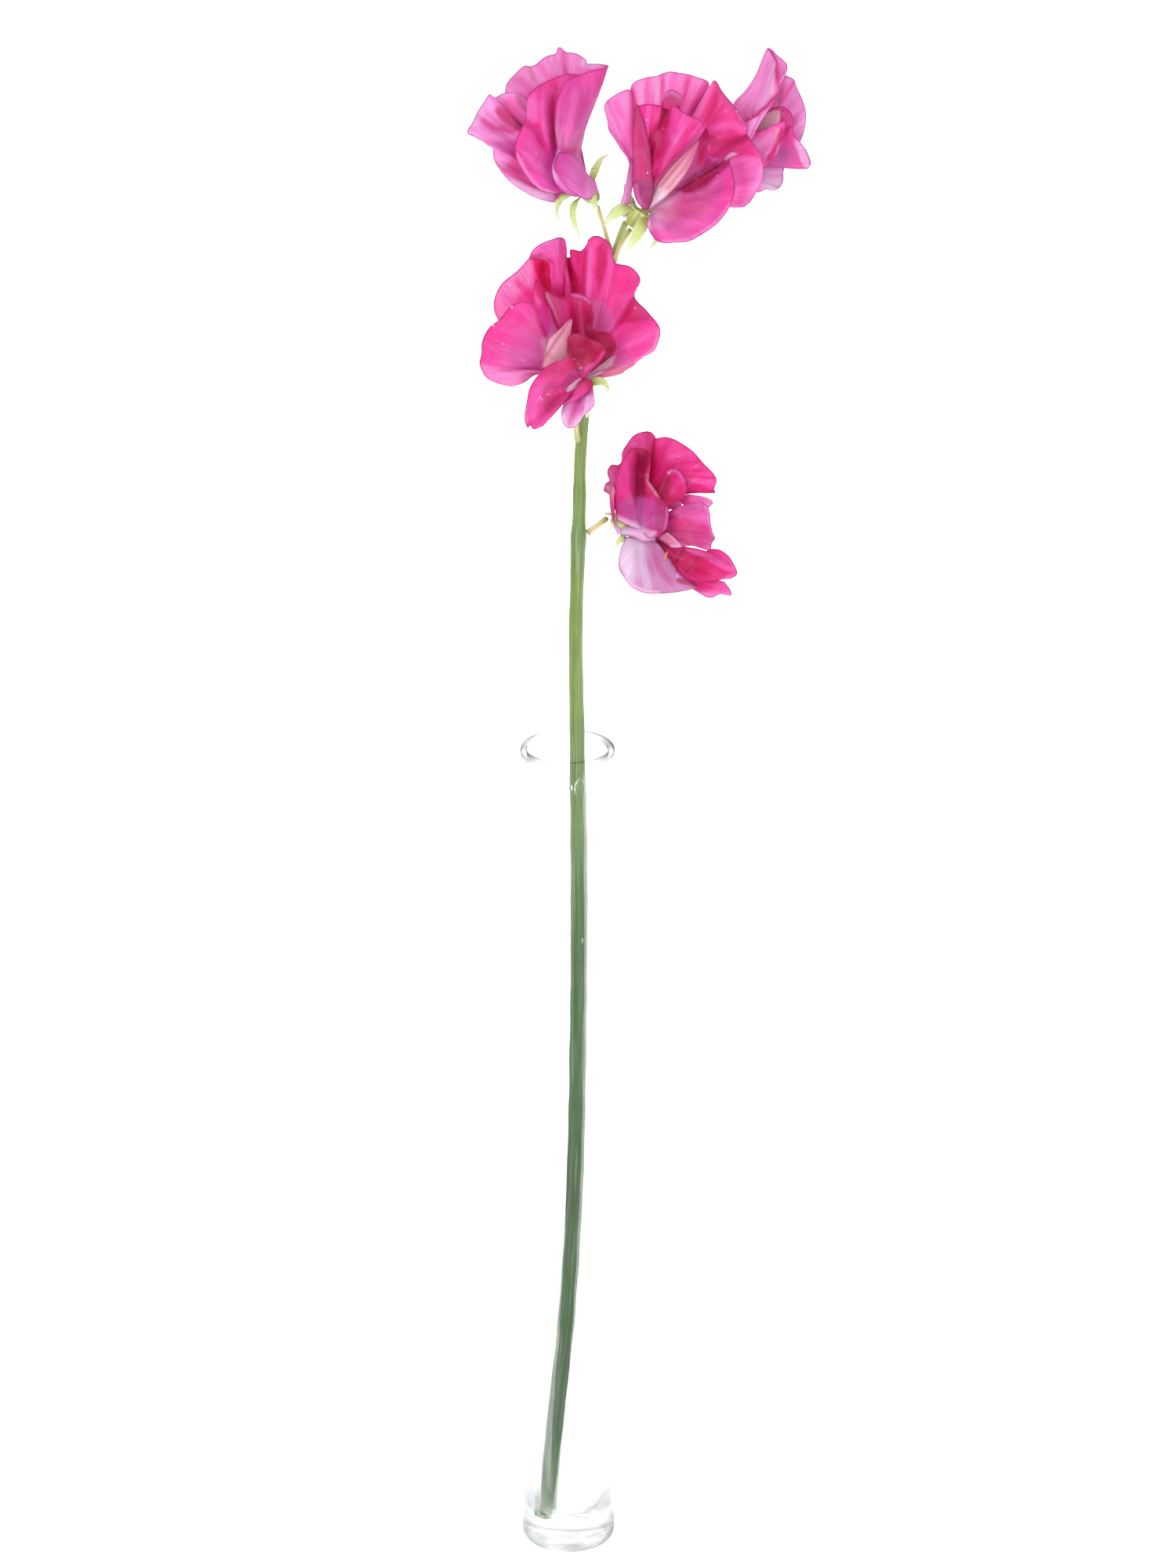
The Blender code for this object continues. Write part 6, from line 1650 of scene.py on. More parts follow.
class BackBloom(Bloom):
    """Top bloom at the back, half hidden behind the front one and turned to the right."""

    def stalk(self) -> Tube:
        """The bloom's own stalk."""
        route = [
            (-31.2, -8.6, 8, 0.8), (-28, -7.2, 7.2, 0.7), (-20, -5.2, 5, 0.6), (-13, -3.4, 2.6, 0.6),
            (-8.9, -1.9, 1.3, 0.8),
        ]
        return Tube(route, [(0.0, Tone.SPRIG), (0.5, Tone.SPRIG), (1.0, Tone.PALM)])

    def cup(self) -> Cup:
        """The bloom's cup."""
        lobes = [
            [(-6.6, 4.4, 0.2), (-8, 6.4, 0.4), (-8.6, 9, 0.4)],
            [(-4, 2.6, 3.4), (-3.2, 5, 4.6), (-1.8, 7.4, 5)],
            [(-1.8, -0.6, 1.2), (-0.6, -3, 1.4), (-1.6, -6, 1.4)],
            [(-3.2, 0, -3), (-2.4, -2.6, -4.4), (-3.4, -5.4, -5)],
            [(-5.8, 3.2, -3.2), (-6.2, 5.8, -5), (-6, 8.6, -6)],
        ]
        return Cup((-7.8, -1.4, 1), (-4.6, 1.6, 0), 2.5, lobes)

    def petals(self) -> list[Petal]:
        """The bloom's petals."""
        return [self.standard(), self.wing_far(), self.keel(), self.wing_near()]

    def standard(self) -> Petal:
        """The banner: an orchid flap in front and a pale strip behind, with a dark line between."""
        claws = [(-3.8, 2.6, 1.5), (-5, 3.4, 0), (-3.8, 2.2, -2)]
        ribs = [
            (-0.3, 16.3, 5, 1.4, 1), (2.8, 18, 6, 1.4, 1), (4.5, 19.8, 6, 1.4, 1), (6, 21.5, 6, 1.4, 1),
            (7.2, 23.5, 6, 1.4, 1), (8, 26, 5.5, 1.4, 1), (8.2, 29, 4.5, 0.4, 0.4), (7.8, 32, 3, 0.4, 0.4),
            [(-6, 8, 1), (-5.6, 14, 1.6), (-3.3, 21.3, 2), (0, 24.6, 2), (3.5, 30.5, 1.4),
             (5.8, 35.1, 0.5)],
            [(-4.8, 10, -3.4), (-2.4, 19, -4.2), (2, 27, -3.6), (6.8, 35.1, -1.6)],
            (8.2, 33.7, -2, -2.6, -2.2), (9.8, 32.3, -2.5, -2.6, -2.2), (11, 30.6, -3, -2.6, -2.2),
            (10.1, 28.8, -5, -2.6, -2.2), (12.4, 27.5, -4.4, -2.6, -2.2), (13.3, 25.2, -5, -2.6, -2.2),
            (14.8, 22, -5, -2.6, -2.2), (15.7, 19, -5, -2.6, -2.2), (15.6, 16, -5, -2.6, -2.2),
            (14.6, 12, -5.2, -2.6, -2.2), (12.4, 7, -5.4, -2.2, -1.8), (9.9, 3.6, -5, -1.8, -1.6),
            (9.6, 0.4, -4.2, -1, -0.8), (8.2, -1.5, -4, -0.8, -0.6), (6, -1.4, -4.4, -0.8, -0.6),
            (3, -2.5, -4, -0.6, -0.4),
        ]
        marks = [
            Wash(Tone.MALLOW, [(-8, 5), (0, 16), (5, 19), (8.5, 26), (8.5, 33), (5.5, 36), (-4, 24),
                (-8, 14)], 2.0, 0.8, (0, 9)),
            Wash(Tone.PINK, [(8, 36), (7, 30), (9, 24), (10, 16), (16, 15), (15, 24), (10.5, 33)], 2.0, 0.3,
                (8, 99)),
            Wash(Tone.SHELL, [(9.5, 33), (9.5, 26), (11, 17), (14, 9), (16.5, 16), (15.5, 23), (12, 29)],
                2.5, 0.8, (9, 99)),
            Stroke(Tone.MAGENTA, [(0, 16.3), (4.5, 19.6), (7.2, 23.4), (8.1, 28), (7.8, 32), (6, 35)], 0.4,
                0.5, 0.85),
            Stroke(Tone.MAGENTA, [(9.3, 21.5), (10.5, 24), (12.3, 26.5)], 0.5, 0.8, 0.7, (9, 99)),
            Stroke(Tone.LILAC, [(4, 21), (6.4, 25), (6.8, 31)], 0.7, 1.2, 0.6, (0, 8)),
            Wash(Tone.LILAC, [(4, -3), (3, 4), (9, 6), (12.5, 6.5), (9.9, 0), (8.2, -2)], 2.0, 0.8,
                (12, 99)),
            Wash(Tone.WHITE, [(4.5, -2), (5, 1.8), (9, 1.5), (9, -1.5)], 1.4, 0.7, (12, 99)),
            Stroke(Tone.LILAC, [(15.8, 19), (15.6, 15.5), (14.4, 11.8)], 0.5, 0.8, 0.7, (9, 99)),
        ]
        pleats = [
            Pleat([(11, 29), (9, 20), (6, 12)], 0.9, 0.8, (9, 99)),
            Pleat([(14.6, 20), (8, 13)], 0.9, -0.7, (9, 99)),
            Pleat([(6.6, 28), (3.5, 20), (-1, 12)], 0.9, 0.7, (0, 8)),
        ]
        sheet = Sheet(claws, ribs, (Tone.LILAC, Tone.MALLOW, Tone.SHELL), marks, pleats, ruffle=0.55)
        return Petal("standard", "pale_pink_petal", Finish.AIRY, sheet)

    def wing_near(self) -> Petal:
        """The near wing, small and orchid pink, with a narrow slit."""
        ribs = [
            (4.6, 4.2, 3.2, 0.4, 0.8), (6.3, 5.8, 3.6, 0.4, 0.8), (8, 8.2, 3.4, 0.4, 0.8),
            (9, 11, 3, 0.4, 0.6), (9.8, 13.6, 2.6, 0.4, 0.4), (10, 16.2, 2.4, 0.4, 0.4),
            (7, 15.5, 2.6, 0.3, 0.3), (4.5, 14.2, 2.4, 0.2, 0.2), (1.4, 14, 2.2, 0, 0),
        ]
        marks = [
            Stroke(Tone.CREAM, [(7.6, 10.4), (7.9, 12.4), (8, 14.2)], 0.7, 0.6, 0.85),
            Stroke(Tone.MAGENTA, [(9.2, 14.2), (7.6, 9.5), (5.4, 5.8)], 0.7, 0.8, 0.75),
            Stroke(Tone.LILAC, [(8.9, 10), (8, 6.6), (6.2, 4.2)], 0.7, 0.8, 0.7),
        ]
        pleats = [Pleat([(9.2, 14.2), (7.2, 9.5), (4.6, 6)], 0.7, -0.6)]
        sheet = Sheet([(-2.6, 3.6, 0.4)], ribs, (Tone.LILAC, Tone.MALLOW, Tone.PINK), marks, pleats,
            ruffle=0.4)
        return Petal("wing_near", "pink_petal", Finish.AIRY, sheet)

    def wing_far(self) -> Petal:
        """The far wing, darker, with a rolled pale edge."""
        ribs = [
            (4, 18.6, -2, -0.4, -0.6), (7, 20, -1.8, -0.4, -0.8), (9.2, 20.3, -1.6, -0.4, -1),
            (11.2, 19, -1.4, -0.4, -1.2), (12.3, 16.5, -1.2, -0.4, -1.4), (12.4, 13.4, -1, -0.4, -1.6),
            (14.3, 10.3, -0.2, 0, -1.6), (15.7, 8.4, 0.2, 0, -1.4), (16.8, 5.2, 0.6, 0, -1),
            (15.8, 3.9, 0.8, 0, -0.8),
        ]
        marks = [
            Stroke(Tone.LILAC, [(13.2, 11), (14.6, 8.2), (15.8, 4.6)], 1.2, 0.9, 0.85),
            Stroke(Tone.MAGENTA, [(11.6, 15), (9, 12), (4, 8)], 0.6, 1.0, 0.6),
            Wash(Tone.PINK, [(5, 18.5), (9, 20.6), (12, 17.5), (9, 15)], 2.0, 0.5),
        ]
        pleats = [Pleat([(12.2, 15), (6, 10)], 0.9, 0.6)]
        sheet = Sheet([(-2.2, 4.6, -1.6)], ribs, (Tone.MALLOW, Tone.ORCHID, Tone.PINK), marks, pleats,
            ruffle=0.5)
        return Petal("wing_far", "pink_petal", Finish.AIRY, sheet)

    def keel(self) -> Petal:
        """The pale keel between the wings."""
        ribs = [
            (4, 17.8, -0.2, 0.2, 0.3), (6.4, 19.2, -0.1, 0.2, 0.3), (8.6, 19.4, 0, 0.2, 0.3),
            (8.8, 17.4, 0, 0.2, 0.3), (8, 14.8, 0, 0.2, 0.3), (6, 12.2, -0.1, 0.2, 0.3),
        ]
        sheet = Sheet([(-1.6, 6, -0.8)], ribs, (Tone.WHITE, Tone.IVORY, Tone.CREAM), swell=0.45, ruffle=0.0,
            rows=34, between=5)
        return Petal("keel", "cream_petal", Finish.CREAM, sheet)


class MiddleBloom(Bloom):
    """Middle bloom, seen face on, with its banner spread behind the wings."""

    def stalk(self) -> Tube:
        """The bloom's own stalk."""
        route = [
            (-1, -17, -14.2, 0.85), (-1.4, -14.6, -11.2, 0.7), (-1.4, -11.8, -7.6, 0.65),
            (-1.2, -9.5, -5, 0.75),
        ]
        return Tube(route, [(0.0, Tone.SPRIG), (0.5, Tone.STRAW), (1.0, Tone.PALM)])

    def cup(self) -> Cup:
        """The bloom's cup."""
        lobes = [
            [(-3.6, -4, -0.6), (-4.8, -4.8, -0.2), (-5.6, -6, 0)],
            [(2.6, -2.4, -2), (4.6, -1.2, -1.8), (6.4, -1.8, -1.6), (7, -4.8, -1.4)],
            [(-3, -1.4, -4.2), (-4.6, 0.8, -6.6), (-5.4, 3.2, -7.6)],
            [(1.2, -0.4, -4.8), (1.6, 1.8, -7.4), (1.2, 4.4, -8.6)],
            [(0.9, -5, 0.7), (1.6, -8, 0.2), (1.4, -10.8, -0.8)],
        ]
        return Cup((-1, -8, -4.2), (-0.2, -2.4, -1.7), 2.8, lobes)

    def petals(self) -> list[Petal]:
        """The bloom's petals."""
        return [
            self.standard(), self.wing_left(), self.wing_right(), self.keel(),
            self.lower_petal(), self.small_petal(),
        ]

    def standard(self) -> Petal:
        """The banner: pale at its outer left, with painted crimson shade in its folds, white at its claw."""
        ribs = [
            (-9, 5, -5.6, -0.4, -0.4), (-17, 10, -6.2, -0.6, -1), (-22, 15, -6.2, -0.6, -0.4),
            (-23.2, 19, -5.2, -0.6, 0), (-21.3, 24, -4.6, -0.6, 0.4), (-17, 27.8, -4.4, -0.6, 0.4),
            (-14, 31, -4.6, -0.6, -0.6), (-11.8, 33.8, -2.6, -0.8, -3.4), (-8.8, 35.6, -2, -0.8, -2.4),
            (-5.3, 36.5, -2.6, -0.6, 0.8), (-4.3, 33.5, -4.2, -0.6, 0.2), (-3.3, 31.3, -5.6, -0.6, -0.8),
            (-2.8, 33.4, -4.6, -0.6, -0.6), (0, 33.1, -4.4, -0.6, -1), (1.3, 35.8, -2.8, -0.2, 1),
            (4, 37, -2.4, -0.2, 1), (8.2, 33.8, -3.6, -0.6, 0), (8.5, 30.2, -4.4, -0.6, -0.7),
            (13, 28.8, -3.4, -0.6, -0.2), (15.3, 26, -3.4, -0.4, 0.6), (14, 21, -5, -0.4, -0.8),
            (17.5, 17, -4, -0.4, 0), (20.8, 12, -2, 0.4, 1.6), (19, 7, -1.4, 0.6, 2),
            (14, 3.2, -2.2, 0.6, 1.4), (10, 0.9, -3.6, 0.2, 0.4), (4, -1.6, -4.4, 0, 0),
        ]
        marks = [
            Wash(Tone.SHELL, [(-23.6, 19), (-21.5, 24.4), (-17, 28.2), (-14, 31), (-12.5, 29), (-13, 24),
                (-17, 21), (-19, 17), (-22, 15)], 2.4, 0.75),
            Stroke(Tone.HOT, [(-17, 25), (-14, 22), (-11.5, 19.5)], 0.8, 1.2, 0.7),
            Stroke(Tone.ROSE, [(-20.5, 21.5), (-16, 18.5)], 0.8, 1.2, 0.6),
            Wash(Tone.HOTROSE, [(-12.7, 31.7), (-10.5, 32.4), (-8.4, 31.4), (-7.6, 28.5), (-8.1, 22),
                (-11, 24.2), (-12.5, 28)], 0.8, 1.0),
            # Painted shade: crimson deepening the pocket under the fold.
            Wash(Tone.CRIMSON, [(-10.6, 30.4), (-9, 30.6), (-8.1, 28), (-8.4, 23.4), (-9.6, 26)], 0.9, 0.5),
            Wash(Tone.ROSE, [(-13.5, 31), (-11.8, 34.4), (-5.5, 37), (-4.6, 34.5), (-8, 32.5), (-11, 32.2)],
                1.2, 0.7),
            Wash(Tone.MAGENTA, [(-7.5, 30), (-5, 31.5), (-3.3, 31.5), (0, 24), (-0.2, 20), (-5, 20.5),
                (-8, 23)], 1.4, 0.8),
            Stroke(Tone.PINK, [(-6.6, 29), (-4.6, 24), (-3, 21)], 0.4, 0.6, 0.6),
            Stroke(Tone.PINK, [(-5, 30.3), (-3.2, 25), (-2, 21)], 0.4, 0.6, 0.6),
            Stroke(Tone.PINK, [(-7.4, 26), (-5.6, 23)], 0.4, 0.6, 0.6),
            Stroke(Tone.CRIMSON, [(-4, 31), (-2, 26), (-0.8, 20.5)], 1.1, 0.8, 0.8),
            Wash(Tone.MAGENTA, [(-2.8, 33.6), (1.2, 33.5), (2.2, 30), (1.5, 21), (0.5, 21), (-1, 27)], 1.2,
                0.75),
            # Painted highlight: a rose line along the raised rib.
            Stroke(Tone.ROSE, [(2.4, 34), (2, 27), (1.6, 21)], 0.6, 0.7, 0.8),
            Wash(Tone.CRIMSON, [(3.8, 34), (6, 35.2), (7, 30), (5.5, 25), (4.5, 22), (3.4, 27)], 1.4, 0.8),
            Stroke(Tone.ROSE, [(8.2, 33.5), (7.6, 27), (6, 21)], 0.5, 0.9, 0.6),
            Wash(Tone.HOT, [(8.5, 30), (13, 28.8), (13.5, 22), (8, 19), (7.5, 25)], 2.0, 0.5),
            # Painted shade: crimson in the hollow at the right.
            Wash(Tone.CRIMSON, [(10.5, 14), (13, 20), (14, 21.5), (13.5, 17), (17, 15.3), (14, 14)], 2.0,
                0.8),
            Wash(Tone.DUSK, [(14, 20.5), (18.5, 15.7), (13.5, 15.8), (13, 18)], 1.6, 0.7),
            Wash(Tone.ORCHID, [(3, 20), (5, 20), (8, 17), (9, 11.5), (6, 11.6), (2.5, 13)], 1.6, 0.8),
            Wash(Tone.PINK, [(9, 12), (18, 14), (21, 12), (19.4, 7), (13, 5), (8, 7)], 2.6, 0.6),
            Stroke(Tone.ROSE, [(7, 6), (13, 9.5), (19.5, 11.5)], 1.0, 1.8, 0.6),
            Wash(Tone.ORCHID, [(5, 4.2), (8, 6), (12, 6), (14, 3.5), (10, 2.5), (7, 2.6)], 1.6, 0.8),
            Wash(Tone.CLAY, [(2.5, 0.2), (5, 2.2), (8, 3), (12, 3.2), (16, 4), (13, 2), (9, 0.4), (5, -1.8),
                (3, -2.4)], 1.0, 0.85),
            Wash(Tone.WHITE, [(-2.4, -3.2), (-1.2, -1.2), (2.5, 2), (6, 4.2), (9, 5.4), (8, 2.8), (4, 0.2),
                (0, -2.8)], 0.6, 0.95),
            Stroke(Tone.SHELL, [(20.6, 12), (19.2, 7.4), (14.4, 3.5)], 0.5, 0.8, 0.7),
        ]
        pleats = [
            Pleat([(-10.2, 31), (-9.2, 25), (-5.5, 16)], 1.2, -1.2),
            Pleat([(-4, 31), (-1.6, 24), (-0.6, 16)], 0.9, -0.9),
            Pleat([(2.2, 34), (1.8, 25), (1.2, 16)], 0.7, 0.8),
            Pleat([(5.4, 33), (4.6, 24), (3.2, 16)], 1.1, -1.1),
            Pleat([(8, 32), (7.2, 25), (5.4, 18)], 0.9, 0.9),
            Pleat([(-17, 25), (-10, 18)], 1.0, -0.7),
            Pleat([(14, 20.5), (9, 13)], 1.1, -0.9),
            Pleat([(19.6, 11.5), (12, 9), (6, 5)], 1.3, 0.9),
        ]
        sheet = Sheet([(0, -0.9, -3)], ribs, (Tone.LILAC, Tone.PINK, Tone.PINK), marks, pleats, ruffle=0.6)
        claws = [(-4.6, 21, -3.4), (-6.4, 21.6, -3.2), (-8.2, 22.6, -3.2)]
        ribs = [
            [(-4.8, 25, -2.4), (-4.3, 30, -2.2), (-4.4, 34.2, -3)],
            [(-5.4, 25.6, -1.8), (-5.2, 31, -1.4), (-5.6, 36.4, -2)],
            [(-6.4, 25.6, -1.4), (-6.6, 31, -1.2), (-7.6, 36.1, -1.8)],
            [(-7.2, 25.6, -1.2), (-7.6, 30.4, -1), (-10.5, 35, -2)],
            [(-7.8, 25.8, -1.4), (-8.2, 30, -1.4), (-12.8, 33.2, -2.6)],
            [(-8.1, 25.8, -1.8), (-8.6, 29.8, -2), (-13.9, 31, -3.6)],
        ]
        marks = [
            Stroke(Tone.DUSK, [(-5.6, 36), (-5.4, 31), (-5.2, 26)], 0.5, 0.7, 0.7),
            Stroke(Tone.CRIMSON, [(-8.1, 30.2), (-10.6, 32), (-13.4, 31.2)], 0.5, 0.8, 0.7),
            Stroke(Tone.SHELL, [(-12.8, 33.2), (-10.5, 34.9), (-7.6, 36)], 0.5, 0.6, 0.6),
        ]
        fold = Sheet(claws, ribs, (Tone.MAGENTA, Tone.PINK, Tone.ROSE), marks, ruffle=0.3, rows=36)
        return Petal("standard", "magenta_petal", Finish.BRIGHT, sheet, [fold])

    def wing_left(self) -> Petal:
        """The left wing, broad and satin, with a pale rolled margin below."""
        ribs = [
            [(-7.5, 0, 0.2), (-12.3, 0.2, 1.9), (-15, -1.6, 3.2), (-18.3, -2.6, 2.8)],
            [(-7.5, 0.3, 0.3), (-12.8, 0.8, 2.2), (-17.5, -0.8, 4), (-22, -1.9, 3)],
            [(-7.5, 0.7, 0.4), (-13.4, 1.5, 2.6), (-19.5, 0.9, 4.4), (-25, -0.2, 2.6)],
            (-26.8, 3.3, 2.4, 0.6, 1.6), (-26.3, 6, 2.8, 0.6, 1.6), (-26.2, 9, 3, 0.6, 1.6),
            (-24.3, 12.8, 2.6, 0.6, 1.4), (-21.5, 15, 2.2, 0.6, 1.2), (-19, 18, 2, 0.4, 1),
            (-16, 19.7, 2, 0.4, 0.8), (-13, 19.2, 1, 0.2, 0.4), (-12, 25.6, -0.6, 0, 0),
            (-9.8, 21, -1.2, 0, 0), (-7.4, 14, -1.6, 0, 0),
        ]
        marks = [
            Wash(Tone.ORCHID, [(-13, 8), (-10.5, 10), (-10, 5), (-12, 1), (-15, -1), (-18, -1.5), (-14, 4)],
                3.0, 0.7),
            Wash(Tone.SHELL, [(-26.4, 3), (-25, -1), (-18, -3.4), (-13, -1), (-12.5, 1.5), (-19, 1.5)], 2.0,
                0.8),
            Stroke(Tone.CRIMSON, [(-12.2, 25.8), (-10.8, 22), (-9.3, 18.5)], 0.7, 0.8, 0.85),
            Stroke(Tone.VIOLET, [(-10.4, 18.2), (-9.6, 14), (-9.4, 11)], 1.1, 1.2, 0.8),
            Wash(Tone.LILAC, [(-10.5, 10), (-8, 10), (-7.5, 5), (-10, 5)], 1.8, 0.7),
            Stroke(Tone.HOT, [(-24, 11.5), (-18, 9), (-12, 8)], 1.0, 2.0, 0.3),
            Stroke(Tone.HOT, [(-18.5, 16.5), (-14, 13), (-10.5, 11.5)], 1.0, 2.0, 0.5),
            Stroke(Tone.MAGENTA, [(-12.4, 19.4), (-11.6, 16), (-10.6, 13)], 0.5, 0.9, 0.6),
            Wash(Tone.HOT, [(-11.7, 25.4), (-10, 21), (-8.4, 17), (-7.2, 14), (-9, 13.6), (-10.6, 19)], 1.0,
                0.6),
        ]
        pleats = [
            Pleat([(-12.4, 19.6), (-10.8, 14.5), (-7, 6)], 0.8, -0.8),
            Pleat([(-24, 10), (-16, 7.5), (-8, 4)], 1.8, 0.8),
            Pleat([(-23, -0.4), (-16, 1), (-10, 1.5)], 1.1, -0.7),
        ]
        sheet = Sheet([(-1.5, -0.6, -2)], ribs, (Tone.LILAC, Tone.ORCHID, Tone.PINK), marks, pleats,
            ruffle=0.5)
        return Petal("wing_left", "pink_petal", Finish.BRIGHT, sheet)

    def wing_right(self) -> Petal:
        """The right wing: deep crimson, with a dusky triangle and ridge."""
        ribs = [
            (-6.9, 15.2, -0.3, 0, 0), (-8.4, 19, 0, 0, 0), (-9.6, 22.3, 0.2, 0, 0.2),
            (-7, 21.3, 0.6, 0, 0.2), (-4.7, 20.2, 1, 0, 0), (-3.3, 21.5, 2.2, -0.2, -1.4),
            (-1.8, 21.9, 2.8, -0.2, -1.8), (0.5, 21.2, 2.8, -0.2, -1.8), (2.6, 19.7, 2.4, -0.2, -1.6),
            (2.9, 17, 1.8, -0.2, -1.2), (2.4, 13.2, 2.2, -0.2, -1), (4, 11.8, 2.6, -0.2, -1),
            (6.3, 11.6, 3, -0.4, -1.4), (8.3, 10.5, 3, -0.4, -1.6), (9.2, 8.5, 2.8, -0.4, -1.6),
            (9, 7, 2.2, -0.4, -1.2), (8, 5.6, 1.2, -0.2, -0.6),
        ]
        marks = [
            Wash(Tone.DUSK, [(-9.8, 22.8), (-4.7, 20.4), (-3, 18), (-5.5, 13), (-8, 10.5), (-8.3, 15)], 1.2,
                0.85),
            Stroke(Tone.CLAY, [(-9.4, 22), (-7.6, 18), (-6.4, 14)], 0.5, 0.8, 0.5),
            Wash(Tone.MAGENTA, [(-4, 21.4), (-2, 19.4), (-2.5, 15), (-5, 13), (-5.5, 17)], 1.2, 0.7),
            Wash(Tone.DUSK, [(-1.8, 20), (0, 19.8), (0.3, 16), (1.5, 13.5), (4, 12), (2, 10.5), (-0.3, 11),
                (-0.8, 15)], 1.2, 0.7),
            Stroke(Tone.ORCHID, [(-2.6, 21.6), (0.4, 21), (2.4, 19.5)], 0.4, 0.6, 0.7),
            Wash(Tone.RUBY, [(1.5, 12), (6, 12), (10, 8.6), (9, 5), (5, 3.4), (2, 3)], 0.8, 0.95),
            Stroke(Tone.MAGENTA, [(3.5, 11.9), (6.4, 11.8), (9.4, 8.6)], 0.3, 0.4, 0.7),
        ]
        pleats = [
            Pleat([(-2.9, 20.5), (-1.8, 12), (0, 4)], 0.8, -0.8),
            Pleat([(-0.6, 20.5), (0, 13), (0.6, 6)], 0.9, 0.8),
            Pleat([(-6.6, 20.5), (-4.6, 12)], 1.0, 0.7),
        ]
        sheet = Sheet([(0.8, -0.2, -2)], ribs, (Tone.MAGENTA, Tone.CRIMSON, Tone.CRIMSON), marks, pleats,
            ruffle=0.4)
        return Petal("wing_right", "crimson_petal", Finish.DEEP, sheet)

    def keel(self) -> Petal:
        """The blush keel at the heart of the bloom."""
        ribs = [
            [(-8, 2.2, 3.2), (-10.6, 2.2, 3.4)],
            [(-7.4, 3.4, 3.2), (-10.2, 4.6, 3.6)],
            [(-6.6, 5, 3.4), (-9.4, 7.6, 3.8)],
            [(-5.8, 6, 3.4), (-8.4, 10.2, 4)],
            [(-4.8, 7.4, 3.4), (-6, 12.2, 4)],
            [(-4, 8, 3.4), (-2.6, 15.2, 4.2)],
            [(-3.6, 7, 3.2), (-3.2, 10, 3.6)],
        ]
        marks = [
            Wash(Tone.CLAY, [(-3, 16), (-1, 10), (0, 4), (-4, 6), (-4.5, 11)], 2.0, 0.7),
            Stroke(Tone.DUSK, [(-2.8, 15), (-7, 9), (-9.6, 5), (-11, 2.3)], 0.3, 0.5, 0.7),
        ]
        sheet = Sheet([(-0.5, -0.5, 0.3)], ribs, (Tone.CLAY, Tone.BLUSH, Tone.CREAM), marks, swell=0.5,
            ruffle=0.05, rows=40, between=6)
        return Petal("keel", "cream_petal", Finish.CREAM, sheet)

    def lower_petal(self) -> Petal:
        """The petal below: a crimson cup over a pink apron."""
        ribs = [
            (-10, -13.1, 6.4, 2, 1.6), (-12.8, -13.8, 6.6, 1.6, 1.4), (-13.4, -12.9, 6.6, 0.3, 0.8),
            (-14.1, -13.5, 6.6, 0.3, 0.8), (-14.9, -11.8, 6.4, 0.3, 0.8), (-14.8, -9.2, 6.4, 0.3, 0.8),
            (-14.2, -6, 6.4, 0.3, 0.8), (-13.6, -3, 6.4, 0.3, 0.8), (-12.3, -0.7, 6.4, 0.4, 0.8),
            (-10, 1.5, 6.6, 0.5, 0.8), (-7.4, 3.6, 6.8, 0.6, 0.8), (-5, 4.6, 7, 0.6, 0.8),
            (-3.5, 5.8, 7, 0.2, 0.2), (-3.5, 8.2, 7.4, -0.4, -1.2), (-2.8, 10.3, 7.8, -0.8, -1.8),
            (0, 10.8, 8, -1, -2.2), (2.7, 10, 8, -1, -2.2), (4.8, 8.8, 7.4, -1, -2),
            (6, 7, 6.4, -0.6, -1.4), (5.2, 4.6, 5, -0.2, -0.4),
        ]
        marks = [
            Wash(Tone.CRIMSON, [(-3.7, 8), (-3, 10.6), (0, 11.2), (3, 10.4), (5, 9), (6.3, 7), (3, 4),
                (0, 1.5), (-3, 1.5), (-3.8, 4)], 0.7, 1.0),
            Wash(Tone.RUBY, [(-3.4, 8), (-2.6, 10.6), (0, 11.2), (3, 10.4), (6, 7.4), (3.4, 3.8), (0, 3),
                (-3, 5)], 0.7, 0.95),
            Stroke(Tone.MAGENTA, [(-3, 10.4), (0, 11.2), (3, 10.4), (5.8, 8.2)], 0.3, 0.35, 0.7),
            Wash(Tone.CRIMSON, [(-12, -0.5), (-7.4, 3.6), (-3.5, 5), (-3, 1), (-7, -1)], 1.8, 0.65),
            Wash(Tone.PLUM, [(-3, 1.5), (0, 2.5), (1, 1), (-1, -1), (-4, -3.5), (-6, -2.5)], 1.6, 0.7),
            Stroke(Tone.WHITE, [(-0.5, -1), (-2, -2.4), (-3.5, -3.6)], 0.7, 0.7, 0.8),
            Stroke(Tone.DUSK, [(-8, -2), (-8.6, -5), (-9, -8)], 2.0, 1.6, 0.6),
            Stroke(Tone.ROSE, [(-11, -3), (-12.5, -7), (-12.8, -11)], 1.0, 1.5, 0.5),
            Stroke(Tone.SHELL, [(-14.6, -6.4), (-15, -10), (-14.6, -12)], 0.5, 0.8, 0.6),
        ]
        pleats = [
            Pleat([(-12.5, -6), (-6, -3.5)], 1.3, 0.7),
            Pleat([(-9.5, -9), (-5, -5)], 1.0, -0.6),
            Pleat([(-8, 2.5), (-4, 0.5)], 0.9, -0.7),
        ]
        sheet = Sheet([(0, -1.6, 1.2)], ribs, (Tone.MAGENTA, Tone.ROSEWOOD, Tone.PINK), marks, pleats,
            ruffle=0.5)
        return Petal("lower_petal", "crimson_petal", Finish.DEEP, sheet)

